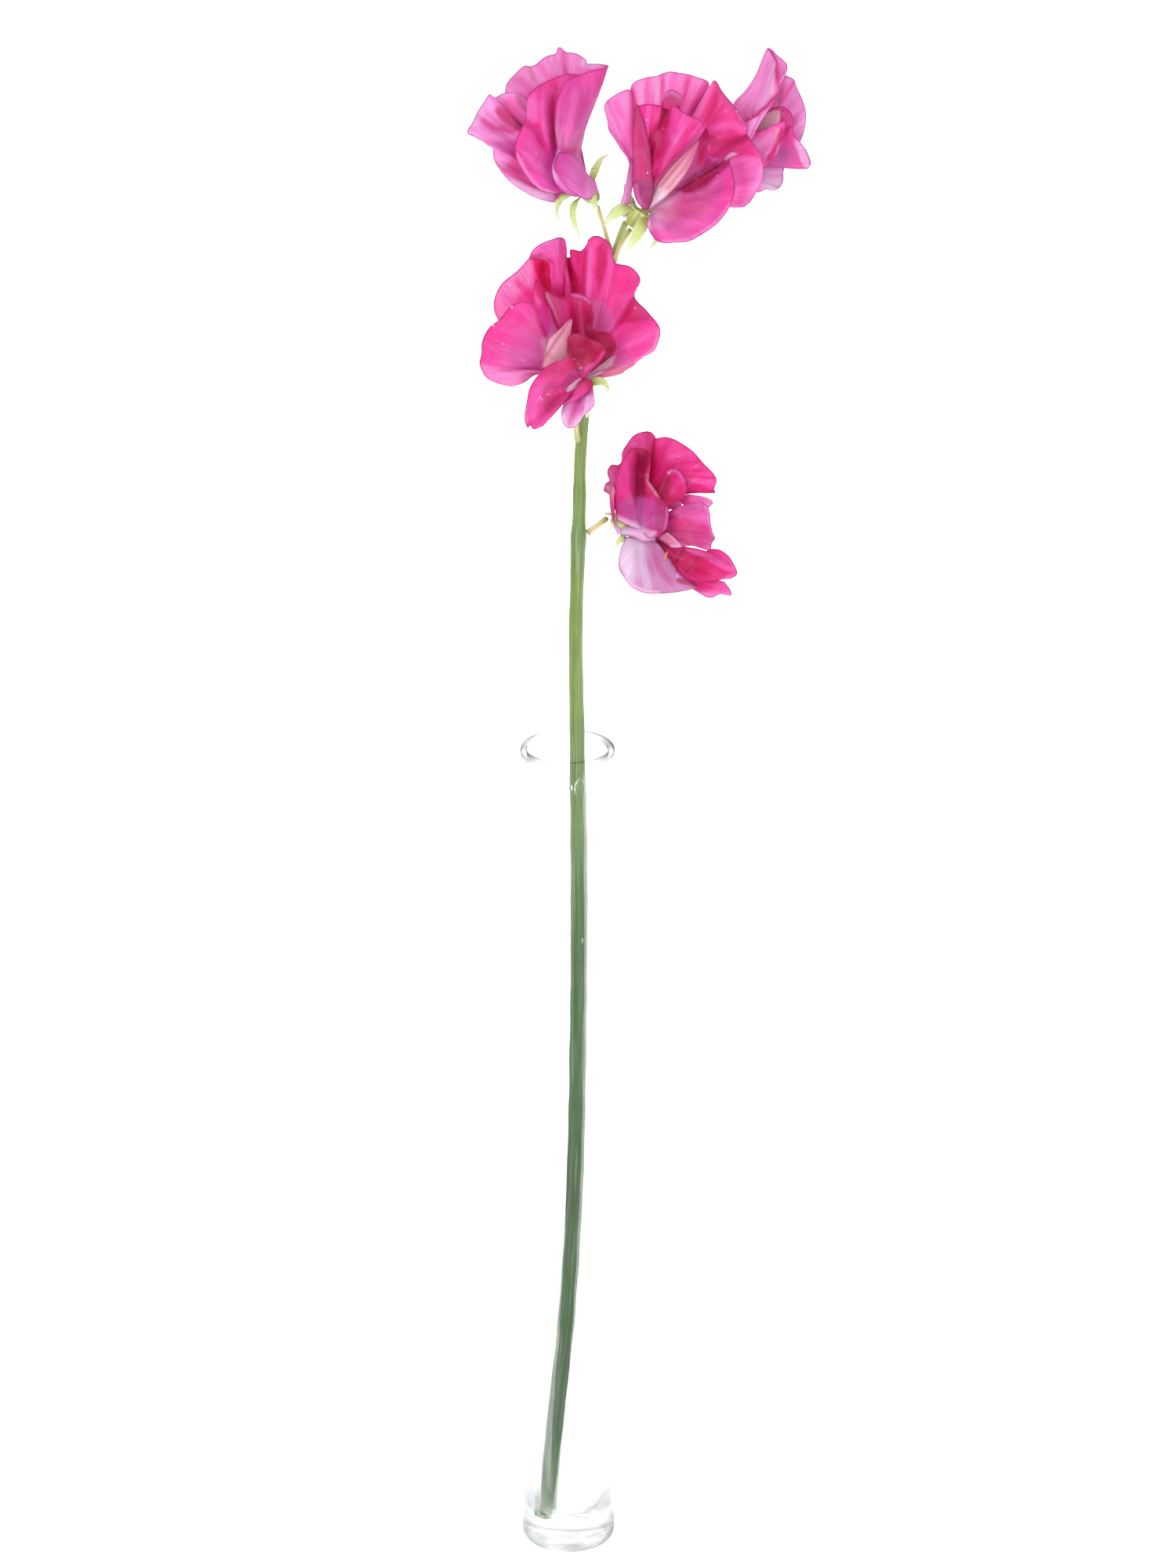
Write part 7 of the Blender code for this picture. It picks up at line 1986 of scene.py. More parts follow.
    def small_petal(self) -> Petal:
        """The small orchid lobe that hangs under the bloom."""
        ribs = [
            [(-1, -3.3, 1.9), (-3.5, -5, 2.5), (-4.9, -7, 2.8)],
            (-5.3, -9.5, 3.4, 0.4, 0.8), (-5, -12, 3.4, 0.4, 0.8), (-4, -13.4, 3.4, 0.4, 0.8),
            (-2.3, -13.6, 3.4, 0.4, 0.8), (-0.8, -12.5, 3.4, 0.4, 0.8), (0.2, -11, 3.4, 0.4, 0.8),
            (1.3, -9.5, 3.2, 0.4, 0.6), (2.7, -8.4, 3, 0.3, 0.6), (3.4, -7, 2.6, 0.3, 0.4),
            (3.3, -5.2, 2.2, 0.2, 0.2), (2.9, -3.4, 1.8, 0.1, 0.1),
        ]
        marks = [
            Wash(Tone.LILAC, [(0.8, -5), (3.6, -5.2), (3.6, -8), (1.5, -9.8), (0.5, -8)], 1.2, 0.8),
            Stroke(Tone.DUSK, [(-0.5, -5.5), (-2, -9), (-3.2, -12.5)], 0.5, 0.9, 0.5),
            Stroke(Tone.WHITE, [(-5.2, -9.4), (-4.9, -12), (-3.9, -13.2)], 0.4, 0.6, 0.7),
        ]
        pleats = [Pleat([(-0.6, -5), (-3, -12)], 0.8, -0.5)]
        sheet = Sheet([(1.9, -1.9, 0.6)], ribs, (Tone.ORCHID, Tone.ORCHID, Tone.LILAC), marks, pleats,
            ruffle=0.35, rows=40)
        claws = [(-4.8, -7.2, 3.3), (-4.2, -6.8, 3.5), (-3.2, -7, 3.4)]
        ribs = [
            [(-3.4, -5.6, 3.4), (-1.6, -3.2, 3), (-1, -1.9, 2.4), (-0.4, -1.2, 2)],
            [(-2.8, -5.9, 3.8), (-0.8, -3.9, 3.4), (0.6, -2.2, 2.8), (1.6, -0.5, 2)],
            [(-2.2, -6.2, 3.8), (0, -4.6, 3.4), (1.6, -2.9, 2.8), (2.6, -1.2, 1.9)],
            [(-1.4, -6.4, 3.4), (0.4, -5.2, 3.2), (2, -4, 2.6), (2.9, -2.7, 1.8)],
        ]
        marks = [Stroke(Tone.CRIMSON, [(2.2, -0.5), (2.4, -3.4)], 0.6, 0.8, 0.7)]
        fold = Sheet(claws, ribs, (Tone.ORCHID, Tone.ROSEWOOD, Tone.CRIMSON), marks, ruffle=0.25, rows=30,
            claw_radius=0.4)
        return Petal("small_petal", "lilac_petal", Finish.MILKY, sheet, [fold])


class LowBloom(Bloom):
    """Lowest bloom, reaching out to the right, with its pale keel hanging open."""

    def stalk(self) -> Tube:
        """The bloom's own stalk."""
        route = [
            (-9.1, -1.9, 1.6, 0.95), (-7.6, -0.8, 1.2, 0.75), (-5.6, 0.7, 0.2, 0.72), (-4, 1.9, -1, 0.8),
        ]
        return Tube(route, [(0.0, Tone.BARK), (0.15, Tone.STRAW), (0.6, Tone.STRAW), (1.0, Tone.PALM)])

    def cup(self) -> Cup:
        """The bloom's cup."""
        lobes = [
            [(0.6, -2.8, 0.6), (-0.9, -4.2, 1.2), (-1.8, -5.8, 1.4)],
            [(3.4, -3, -2.2), (4.6, -4.8, -4), (4.6, -7.6, -5.2)],
            [(0.4, 0.6, 2), (-1.4, 0.6, 2.6), (-3.4, -0.2, 2.4)],
            [(3, 1.2, -4.6), (3.2, 3.4, -7.6), (2.6, 6, -9.6)],
            [(0.8, 1.8, -4.2), (-1.4, 3, -5.2), (-4.6, 3.2, -4.6)],
        ]
        return Cup((-2.4, 1.9, -2), (2.2, -0.6, -0.8), 2.3, lobes)

    def petals(self) -> list[Petal]:
        """The bloom's petals."""
        return [
            self.standard(), self.curled_lobe(), self.under_wing(), self.tail_petal(),
            self.wing_far(), self.keel(), self.wing_near(),
        ]

    def build(self) -> None:
        """Makes every piece of the bloom, its stamen too."""
        super().build()
        route = [(11.2, -9, 2.9, 0.3), (11.7, -7.9, 2.6, 0.28), (12, -6.9, 2.4, 0.35)]
        stamen = Tube(route, [(0.0, Tone.AMBER), (0.6, Tone.AMBER), (1.0, Tone.DUSK)], ribbing=0.03,
            columns=17, pitch=0.12)
        piece = stamen.make("low_stamen_skin", self.to_world, self.seed + 95)
        Maker.settle(piece, "low_stamen", "stamen_skin", Finish.STAMEN)

    def standard(self) -> Petal:
        """The banner: a bright upright fan with small dusky flaps on its left."""
        ribs = [
            [(1, 4.6, -4.6), (-2, 7.4, -5.8), (-4.9, 9.3, -6)],
            (-4.4, 11.2, -6.6, -1, -0.6), (-3.4, 12, -6.8, -1, -0.6), (-4, 13.6, -6.2, -1, -0.6),
            (-3.6, 15.3, -6, -1, -0.6), (-2.4, 16.3, -6, -1, -0.6), (-1, 16.2, -5.4, -1, -0.6),
            (-0.5, 17.2, -3.4, -1, -0.8), (0.2, 19.8, -1.8, -1, -1), (1.3, 22, -1.6, -1, -1.4),
            (2.6, 23.6, -1.4, -1, -1.6), (4.6, 24.6, -1, -1, -1.6), (6.9, 25.1, -0.6, -0.8, -1),
            (8.3, 24.6, -1.4, -0.6, -0.6), (8.8, 23.1, -3.4, -0.6, -0.6), (10, 23.3, -2.8, -0.4, -0.2),
            (11.5, 23.7, -2, -0.2, 0.2), (14, 23, -1.6, 0, 0.4), (16.5, 21.6, -1.4, 0, 0.4),
            (19.2, 19.6, -0.8, 0, 0.6), (21.8, 16.6, -0.4, 0, 0.6),
            [(9.6, 5.9, -1.7), (17, 10.4, -0.2), (24.5, 13.8, 0)],
            [(9.7, 5.7, -1.7), (17, 9.6, -0.3), (25.3, 12, -0.4)],
            [(9.7, 5.5, -1.8), (17, 8.9, -0.4), (24.6, 9.8, 0)],
            [(9.6, 5.3, -1.8), (16.8, 8.2, -0.6), (25, 8.7, 0)],
        ]
        marks = [
            Wash(Tone.ROSE, [(0, 18), (1.3, 22.3), (4.6, 25), (6.2, 24.4), (6, 20.5), (2, 20.3)], 1.6, 0.7,
                (0, 14)),
            Stroke(Tone.DUSK, [(7.2, 25), (7, 21.5), (8, 18)], 0.9, 0.8, 0.8),
            Stroke(Tone.CRIMSON, [(8.7, 23.4), (8.2, 20), (8.6, 16)], 0.5, 0.7, 0.7),
            Wash(Tone.HOT, [(7.5, 17), (7, 12), (9, 11), (12, 11), (12, 16), (10.5, 21), (9, 21)], 1.8,
                0.8),
            Stroke(Tone.CRIMSON, [(7.6, 18.5), (7.2, 15), (8, 12.5)], 0.7, 0.9, 0.8),
            Wash(Tone.PINK, [(11, 23.8), (16.5, 22), (22, 17), (19, 13), (12, 17)], 2.5, 0.5),
            Wash(Tone.MAGENTA, [(17.3, 11.5), (20, 11.5), (25, 9.2), (24.5, 8.6), (17.5, 8.2)], 1.0, 0.8),
            Stroke(Tone.MAGENTA, [(15, 13.4), (24.5, 12.6)], 0.4, 0.6, 0.7),
            Stroke(Tone.MAGENTA, [(14.5, 14.6), (23.2, 14.6)], 0.4, 0.6, 0.6),
            Stroke(Tone.MAGENTA, [(13.5, 16.4), (20.8, 17.2)], 0.4, 0.6, 0.6),
            Stroke(Tone.ROSE, [(13, 18.4), (18.6, 19.6)], 0.5, 0.9, 0.6),
            Stroke(Tone.ROSE, [(15, 12.2), (24.6, 11.6)], 0.5, 0.8, 0.6),
            Wash(Tone.ORCHID, [(-5.2, 9), (-4.6, 14), (-2.4, 16.6), (0, 14), (0, 9)], 2.0, 0.7),
            Wash(Tone.LILAC, [(-5.4, 8.6), (-4.6, 11.6), (-2.6, 10.4), (-2.4, 8)], 1.4, 0.7),
        ]
        pleats = [
            Pleat([(8.6, 23), (7.8, 15), (6.2, 7)], 0.8, -0.9),
            Pleat([(5, 24), (5.6, 16), (5, 8)], 1.0, 0.8),
            Pleat([(12.6, 22.5), (10.6, 15), (7.5, 8)], 1.1, 0.8),
            Pleat([(22, 15.5), (14, 10.5)], 0.9, -0.7),
            Pleat([(17.6, 19.6), (12, 13)], 0.9, -0.5),
        ]
        sheet = Sheet([(4.6, 1.6, -2.2)], ribs, (Tone.MAGENTA, Tone.ROSEWINE, Tone.PINK), marks, pleats,
            ruffle=0.55)
        claws = [(15, 7.6, -1.2), (15.6, 6.8, -1.2), (15.8, 6, -1.4)]
        ribs = [
            [(18, 8.2, -0.4), (20, 8, 0), (23, 7.4, 0.2)],
            [(18.2, 7.6, 0), (21, 7, 0.4), (24.3, 6.2, 0.3)],
            [(18, 6.2, 0), (20.6, 5.8, 0.4), (23.4, 5, 0.3)],
            [(17.4, 5, -0.4), (18.8, 4.2, 0), (20, 3, 0)],
        ]
        flap = Sheet(claws, ribs, (Tone.PINK, Tone.ROSE, Tone.SHELL), ruffle=0.25, rows=26)
        return Petal("standard", "magenta_petal", Finish.BRIGHT, sheet, [flap])

    def wing_near(self) -> Petal:
        """The near wing: white below, wine in its upper folds, its edge rolled back."""
        ribs = [
            (-1.3, 1.5, 3.2, 0.4, 0.6), (-1.9, 5, 3.8, 0.8, 0.8), (-2.2, 9, 4, 1, 0.8),
            (-1.6, 12.3, 3.8, 1, 0.6), (-0.4, 15.2, 3.8, 1, 0.2), (0.8, 18.5, 3.6, 0.8, -1),
            (2, 20.4, 3.4, 0.6, -2), (4.2, 20.6, 3.2, 0.6, -2.4), (6.4, 20.4, 3.2, 0.6, -2.2),
            (7.8, 19.4, 3.8, 0.8, -1.4), (7.8, 17.8, 4.2, 1, -0.6), (6.8, 15, 4.8, 1, 0.2),
            (6.8, 12.8, 5.2, 1, 0.6), (8.2, 10.6, 5.2, 0.8, 0.6), (10.2, 7.8, 5.2, 0.6, 0.6),
            (12.3, 5, 5, 0.4, 0.6), (12.4, 2, 4.6, 0.4, 0.4), (11.8, -0.8, 4, 0.2, 0.2),
            (10, -2.7, 3.4, 0.1, 0.1), (7.2, -3.3, 2.8, 0, 0),
        ]
        marks = [
            Wash(Tone.PINK, [(-2, 8), (-1.8, 13), (0.8, 19), (3, 20.6), (2.5, 14), (1.5, 8)], 1.8, 0.6),
            Wash(Tone.CRIMSON, [(1.5, 20.6), (7.6, 20.2), (7.9, 18), (6.5, 14), (6.6, 9), (5, 6), (2.5, 8),
                (3, 14), (1.4, 18)], 1.4, 0.85),
            Wash(Tone.WINE, [(3.5, 20.2), (7.7, 19.6), (7.1, 17), (5.8, 13.5), (6.5, 9.5), (7.5, 8),
                (4, 6.5), (3, 10), (4.5, 15)], 1.4, 0.85),
            Stroke(Tone.PINK, [(2.4, 20), (2.6, 15), (3.2, 9)], 0.4, 0.7, 0.6),
            Wash(Tone.VIOLETTE, [(-1.5, 6), (2, 7.4), (6, 7.4), (10, 6), (11.6, 1), (9, -1.5), (4, -0.8),
                (0, 2.4)], 2.4, 0.85),
            Wash(Tone.LILAC, [(-1.7, 3), (0, 2.2), (4, 0.6), (6, -1.1), (9, -1.6), (8.5, -3.6), (5, -3.2),
                (2, -1.4), (-1.4, 1.5)], 1.6, 0.9),
            Wash(Tone.PEARL, [(-1.6, 1.6), (1.6, -0.2), (4, -1.6), (5, -3.4), (2, -2.4), (-1, -0.6)], 1.0,
                0.9),
            Wash(Tone.PLUMBERRY, [(6.6, 13), (7, 10), (9, 6.5), (10.5, 4), (12.5, 5), (10.4, 7.8),
                (8.4, 10.6)], 0.9, 0.9),
            Stroke(Tone.CLAY, [(6.6, 13.5), (7.5, 11), (9.5, 8)], 0.5, 0.5, 0.8),
            Wash(Tone.PLUM, [(9, 6), (12, 4), (12.4, -0.5), (10, -2.7), (9, 0)], 1.6, 0.7),
            Stroke(Tone.ORCHID, [(12.2, 4.6), (12.3, 1.8), (11.6, -0.8)], 0.5, 0.7, 0.6),
        ]
        pleats = [
            Pleat([(5.4, 20), (4.4, 13), (3.8, 6)], 0.8, -0.9),
            Pleat([(2.2, 19.8), (2, 12), (3, 5)], 0.8, 0.8),
            Pleat([(10.5, 4.5), (7.5, 3)], 0.9, -0.6),
        ]
        sheet = Sheet([(5, -1.4, 2)], ribs, (Tone.PEARL, Tone.MAGENTA, Tone.MAGENTA), marks, pleats,
            ruffle=0.45)
        claws = [(-1, -2.6, 2.8), (-0.6, -1.8, 3), (-0.4, -0.8, 3.2)]
        ribs = [
            [(-2, 0, 3.4), (-3, 5.5, 4.2), (-3.2, 9, 4.4), (-2.2, 11.7, 4.6)],
            [(-1.9, 0.2, 3.9), (-2.6, 5.5, 4.8), (-2.7, 8.6, 5), (-2, 10.4, 5)],
            [(-1.5, 0.4, 4), (-1.9, 5.3, 4.9), (-2, 7.6, 5), (-1.8, 9, 5)],
        ]
        flap = Sheet(claws, ribs, (Tone.LILAC, Tone.DUSK, Tone.CLAY), ruffle=0.2, rows=36)
        claws = [(-1, -0.4, 1.6), (-0.8, -1.4, 2), (-0.4, -2.4, 1.8)]
        ribs = [
            [(3, 0.2, 1.6), (6, -0.4, 1.7), (9.4, -1.2, 1.6)],
            [(3, -1.4, 2.4), (6, -2, 2.5), (9.2, -2.6, 2.2)],
            [(2.8, -3, 2.7), (5.6, -4.3, 2.7), (9, -4, 2.4)],
        ]
        foot = Sheet(claws, ribs, (Tone.PEARL, Tone.LILAC, Tone.MAUVE), ruffle=0.2, rows=36)
        return Petal("wing_near", "magenta_petal", Finish.DEEP, sheet, [flap, foot])

    def wing_far(self) -> Petal:
        """The far wing, reaching right, plum in the shade of the near one."""
        ribs = [
            (14.6, 5.4, 1.4, 0.1, 0.2), (19, 5.8, 1.8, 0.1, 0.3), (21, 6.2, 2, 0.1, 0.3),
            (22.6, 5.4, 2.4, 0.1, 0.3), (23.4, 3.5, 2.6, 0.1, 0.3), (23.6, 1, 2.6, 0.1, 0.3),
            (24.2, -1.8, 2.6, 0.1, 0.3), (24.8, -3.3, 2.6, 0.1, 0.3), (23.9, -4.8, 2.6, 0.1, 0.3),
            (23.7, -6.2, 2.6, 0.1, 0.3), (22.3, -6.4, 2.4, 0.1, 0.3), (20.3, -5.6, 2.2, 0.1, 0.2),
            (17.6, -5.4, 2, 0, 0.1), (15.4, -5.9, 1.8, 0, 0), (13, -5.8, 1.6, 0, 0), (11, -4.2, 1.2, 0, 0),
        ]
        marks = [
            Wash(Tone.PLUM, [(9.5, 5.4), (14, 5.7), (15, 3), (14, -2), (12, -3.5), (9.5, -2)], 2.0, 0.7),
            Wash(Tone.DUSK, [(16, -1), (24, 0), (24.6, -3), (22, -6.2), (16, -5.6)], 2.0, 0.6),
            Stroke(Tone.ROSE, [(14, 3.6), (18.5, 3), (23.2, 2.4)], 0.8, 1.4, 0.6),
            Stroke(Tone.MAGENTA, [(13, 1.4), (18.5, 0.4), (23.6, -1)], 0.5, 1.0, 0.6),
            Stroke(Tone.SHELL, [(22.4, 5.3), (23.4, 3.4), (23.6, 1), (24.4, -2.4)], 0.5, 0.7, 0.7),
        ]
        pleats = [Pleat([(23.4, 3), (12, 2)], 0.9, 0.6), Pleat([(23.8, -1.6), (12, -0.6)], 0.9, -0.6)]
        sheet = Sheet([(6.2, -0.6, 1.1)], ribs, (Tone.DUSK, Tone.DUSKROSE, Tone.ORCHID), marks, pleats,
            ruffle=0.5)
        claws = [(9.8, -2.8, 2.2), (10.3, -3.4, 2.2), (10.8, -4, 2)]
        ribs = [
            [(11, -2, 2.6), (12.2, -1.7, 2.8)],
            [(12.2, -3, 2.8), (14, -3.2, 3)],
            [(13, -4, 2.8), (16, -5.6, 2.8)],
            [(12.2, -4.8, 2.4), (13, -5.8, 2.4)],
        ]
        triangle = Sheet(claws, ribs, (Tone.ORCHID, Tone.CLAY, Tone.LILAC), ruffle=0.15, rows=20)
        claws = [(8.6, 6.6, 0.2), (8.8, 5, 0.4), (9, 3, 0.6)]
        ribs = [
            [(10.4, 7.6, 0.2), (12.6, 9, 0), (15, 9, -0.2)],
            [(10.8, 6.2, 0.4), (13, 6.9, 0.2), (15.6, 7.4, 0)],
            [(11, 4, 0.6), (13.4, 4.4, 0.4), (16, 4.8, 0)],
        ]
        shoulder = Sheet(claws, ribs, (Tone.DUSKROSE, Tone.DUSKROSE, Tone.ORCHID), ruffle=0.2, rows=26)
        return Petal("wing_far", "pink_petal", Finish.BRIGHT, sheet, [triangle, shoulder])

    def curled_lobe(self) -> Petal:
        """The curled lobe between the banner and the far wing."""
        ribs = [
            (11.6, 12.4, 1.2, 0, 0), (12.4, 14.6, 1.6, 0, -0.2), (14, 15.3, 2, 0, -0.6),
            (15.6, 14.3, 2.4, 0, -0.8), (16.9, 12, 2.8, 0, -0.8), (17.3, 10, 2.8, 0, -0.6),
            (16.8, 8.2, 2.4, 0, -0.4), (15.4, 7.2, 2, 0, 0),
        ]
        marks = [
            # Painted highlight: a rose line of light along the curl's top edge.
            Stroke(Tone.ROSE, [(12.4, 14.4), (14, 15.1), (15.6, 14.1), (16.8, 12)], 0.6, 0.7, 0.8),
            # Painted shadow: wine on the lobe's left side.
            Wash(Tone.WINE, [(11.4, 12.6), (12.6, 14), (12.6, 9), (10, 6)], 1.2, 0.7),
            Stroke(Tone.PINK, [(15.8, 12.8), (13, 8.6)], 0.6, 1.0, 0.5),
        ]
        pleats = [Pleat([(14, 14), (10, 7)], 0.9, 0.6)]
        sheet = Sheet([(6.6, 1.2, 1.8)], ribs, (Tone.WINE, Tone.CRIMSON, Tone.MAGENTA), marks, pleats,
            ruffle=0.3)
        return Petal("curled_lobe", "crimson_petal", Finish.DEEP, sheet)

    def keel(self) -> Petal:
        """The hanging keel: whitish on its left, orchid on its right, pointed, with painted wine shadow at
        its tip.
        """
        ribs = [
            (1.2, -3, 1.2, 0, 0), (-0.3, -6.2, 1.4, 0.2, 0.2), (-0.9, -11, 1.6, 0.4, 0.4),
            (0.2, -13.3, 1.6, 0.4, 0.4), (2.6, -16.3, 1.6, 0.4, 0.4), (6, -17.9, 1.6, 0.4, 0.4),
            (10, -18.1, 1.6, 0.4, 0.4),
            [(9.4, -10, 1.4), (13, -15.4, 1.6), (16, -17.5, 1.6)],
            [(9.8, -8.6, 1.2), (14.4, -14.4, 1.6), (20.2, -16.2, 1.6)],
            [(9.6, -6, 1), (12.4, -9.6, 1.2), (16, -14.4, 1.6)],
            [(8.8, -4.4, 0.8), (10.6, -7, 1), (12.4, -9.4, 1.2)],
        ]
        marks = [
            Wash(Tone.PEARL, [(0.6, -3), (4, -3.4), (3.4, -8), (4, -13), (2, -16), (-1.4, -11), (-0.8, -6)],
                3.0, 1.0),
            Wash(Tone.WHITE, [(-0.6, -7), (2.4, -6), (2.4, -13), (-0.4, -12.6)], 2.0, 0.5),
            Wash(Tone.HEATHER, [(-1.6, -9), (-0.4, -10), (1.4, -14.6), (0.4, -15.4), (-2, -12)], 1.6, 0.4),
            Wash(Tone.HEATHER, [(6, -4), (9, -4), (12, -9.5), (16, -14.5), (12, -15), (7, -12)], 2.4, 0.7),
            Stroke(Tone.DUSK, [(1.5, -2.4), (4, -2.3), (6.5, -3.5), (8.5, -3.6)], 0.5, 0.6, 0.7),
            Stroke(Tone.PEARL, [(4.8, -4.5), (5, -10), (6.8, -16)], 0.7, 1.8, 0.7),
            Stroke(Tone.DUSK, [(8.4, -5), (9.6, -11), (13.4, -15.6)], 0.4, 1.0, 0.5),
            # Painted shadow: a wine line under the tip.
            Stroke(Tone.WINE, [(15, -14.6), (18, -15.2), (20.5, -16.1)], 0.8, 0.8, 0.8),
            Stroke(Tone.WHITE, [(0.6, -13.6), (2.8, -16), (6, -17.5), (10, -17.8)], 0.4, 0.6, 0.6),
        ]
        pleats = [Pleat([(4.4, -5), (4.6, -10), (6.4, -16)], 1.0, -0.5)]
        sheet = Sheet([(5.4, -3.2, 0.6)], ribs, (Tone.PEARL, Tone.MAUVE, Tone.MAUVE), marks, pleats,
            swell=0.9, ruffle=0.15, rows=50, between=6)
        return Petal("keel", "lilac_petal", Finish.MILKY, sheet)

    def under_wing(self) -> Petal:
        """The crimson petal below the far wing."""
        claws = [(9.3, -2.9, 0), (8.9, -3.1, -0.4), (8.4, -3.2, -0.8)]
        ribs = [
            [(10.9, -4.2, -0.4), (14, -5.8, -0.6), (17, -5.6, -0.2), (20, -6.1, 0), (22, -6.9, -0.2),
             (24, -6.2, 0), (26, -6.3, 0)],
            [(10.8, -4.3, -0.4), (13.7, -6.3, -0.6), (17.2, -6.6, -0.2), (21.5, -7.8, 0), (25, -7.3, 0.2),
             (28, -7.5, 0)],
            [(10.7, -4.4, -0.5), (13.4, -6.8, -0.6), (18, -8.2, 0), (24, -8.9, 0.3), (29.5, -9.5, 0)],
            [(10.6, -4.6, -0.6), (13.3, -7.2, -0.6), (19, -9.6, 0.2), (25, -11.2, 0.4), (30.8, -12.8, 0)],
            [(10.5, -4.7, -0.7), (13.1, -7.5, -0.7), (19, -10.8, 0.1), (24.5, -12.8, 0.3),
             (29.5, -14, -0.2)],
            [(10.4, -4.8, -0.8), (13, -7.8, -0.8), (18.4, -11.8, 0), (23, -13.7, 0.2), (27, -14.6, -0.4)],
            [(10.3, -4.9, -0.8), (12.9, -8.1, -1), (17.5, -12.6, -0.4), (22, -15, -0.8)],
            [(10.2, -5, -0.9), (12.8, -8.5, -1.2), (18.5, -14.6, -1.2)],
            [(9.9, -5.4, -1.2), (12, -8.8, -1.7), (15.4, -13, -1.8)],
            [(9.5, -5.6, -1.4), (11, -7.7, -2), (12.6, -9.8, -2.4)],
        ]
        marks = [
            Wash(Tone.ROSEWINE, [(12, -5), (17, -5.4), (20, -8), (17, -12), (14, -11)], 2.5, 0.7),
            Wash(Tone.PINK, [(23, -6.4), (27, -6.6), (29.8, -9.5), (31, -12.8), (28.5, -10), (26, -8.2)],
                1.6, 0.8),
            Stroke(Tone.WINE, [(16.3, -6), (15.4, -8.2), (13.9, -10.2)], 0.25, 0.3, 0.9),
            Stroke(Tone.WINE, [(20.9, -7.4), (19.4, -10), (17.2, -12.4)], 0.25, 0.3, 0.9),
            Stroke(Tone.ROSE, [(18, -6.4), (23, -8.2), (29, -11.6)], 0.6, 1.2, 0.6),
            Stroke(Tone.ROSE, [(29.4, -10), (30.6, -12.8), (27, -14.4)], 0.5, 0.7, 0.7),
        ]
        pleats = [
            Pleat([(16.6, -6.2), (14.2, -10)], 0.7, -0.6),
            Pleat([(29.5, -11), (20, -8.6), (13, -6.6)], 1.0, 0.7),
            Pleat([(27, -14), (18, -10.4)], 0.9, -0.6),
        ]
        sheet = Sheet(claws, ribs, (Tone.WINE, Tone.CRIMSON, Tone.MAGENTA), marks, pleats, ruffle=0.5)
        return Petal("under_wing", "crimson_petal", Finish.DEEP, sheet)

    def tail_petal(self) -> Petal:
        """The last small petal at the lower right."""
        ribs = [
            (18.6, -16.8, -1.8, 0, 0), (21, -18.2, -1.4, 0, 0), (22.6, -19, -1.2, 0, 0),
            (24.5, -19, -1.4, 0, 0), (26, -18.3, -1.6, 0, 0), (29.2, -18.6, -1.4, 0, 0),
            (28.9, -17, -1.6, 0, 0), (27.4, -14.8, -2.2, 0, 0),
        ]
        marks = [
            Stroke(Tone.SHELL, [(20.8, -18), (24.4, -18.8), (28.8, -18.3)], 0.5, 0.7, 0.7),
            Stroke(Tone.MAGENTA, [(18, -14.4), (24, -16.6)], 0.6, 1.0, 0.6),
        ]
        pleats = [Pleat([(17, -14), (25, -17.4)], 0.8, -0.5)]
        sheet = Sheet([(14.6, -12.4, -3)], ribs, (Tone.DUSK, Tone.ROSEWOOD, Tone.ROSE), marks, pleats,
            ruffle=0.4, rows=44)
        return Petal("tail_petal", "pink_petal", Finish.BRIGHT, sheet)


@dataclass
class Stem:
    """The cut stem, from the foot of the tube to the top bloom."""

    def route(self) -> list[tuple[float, float, float, float]]:
        """The points the stem runs through, each with its radius."""
        return [
            (-5.8, -4.3, 9.0, 2.15),
            (-4.4, -5.1, 28.0, 2.2),
            (-3.2, -5.8, 42.0, 2.2),
            (-1.0, -6.3, 64.0, 2.2),
            (1.0, -6.8, 92.0, 2.2),
            (2.2, -7.3, 121.0, 2.2),
            (2.8, -7.8, 156.0, 2.18),
            (3.0, -8.1, 190.0, 2.15),
            (2.9, -8.2, 212.0, 2.1),
            (2.6, -8.3, 234.0, 2.0),
            (2.5, -8.3, 246.0, 1.98),
            (2.2, -8.2, 262.0, 1.86),
            (2.1, -7.8, 273.0, 1.82),
            (2.5, -7.0, 289.0, 1.82),
            (2.9, -6.1, 302.0, 1.75),
            (3.1, -5.7, 309.0, 1.6),
            (3.4, -4.8, 323.0, 1.55),
            (4.4, -4.2, 334.3, 1.4),
            (6.0, -2.9, 345.0, 1.3),
            (8.0, -1.2, 355.2, 1.2),
            (9.8, 1.3, 364.0, 1.1),
            (12.3, 3.8, 375.9, 1.0),
            (13.9, 3.2, 381.4, 0.95),
            (15.4, 1.2, 386.3, 0.85),
        ]

    def build(self) -> None:
        """Makes the stem."""
        tube = Tube(
            self.route(),
            [
                (0.0, Tone.FOREST), (0.05, Tone.PINE), (0.25, Tone.PINE), (0.5, Tone.FOREST),
                (0.595, Tone.MOSS), (0.66, Tone.STALK), (0.735, Tone.STALK),
                (0.765, Tone.MOSS), (0.80, Tone.STALK), (0.88, Tone.STEM), (1.0, Tone.SPRIG),
            ],
            ribs=5, ribbing=0.07, columns=49, nodes=[(0.768, 0.35), (0.80, 0.15)],
        )
        piece = tube.make("stem_skin", lambda points: points, 3)
        Maker.settle(piece, "stem", "stem_skin", Finish.STEM)


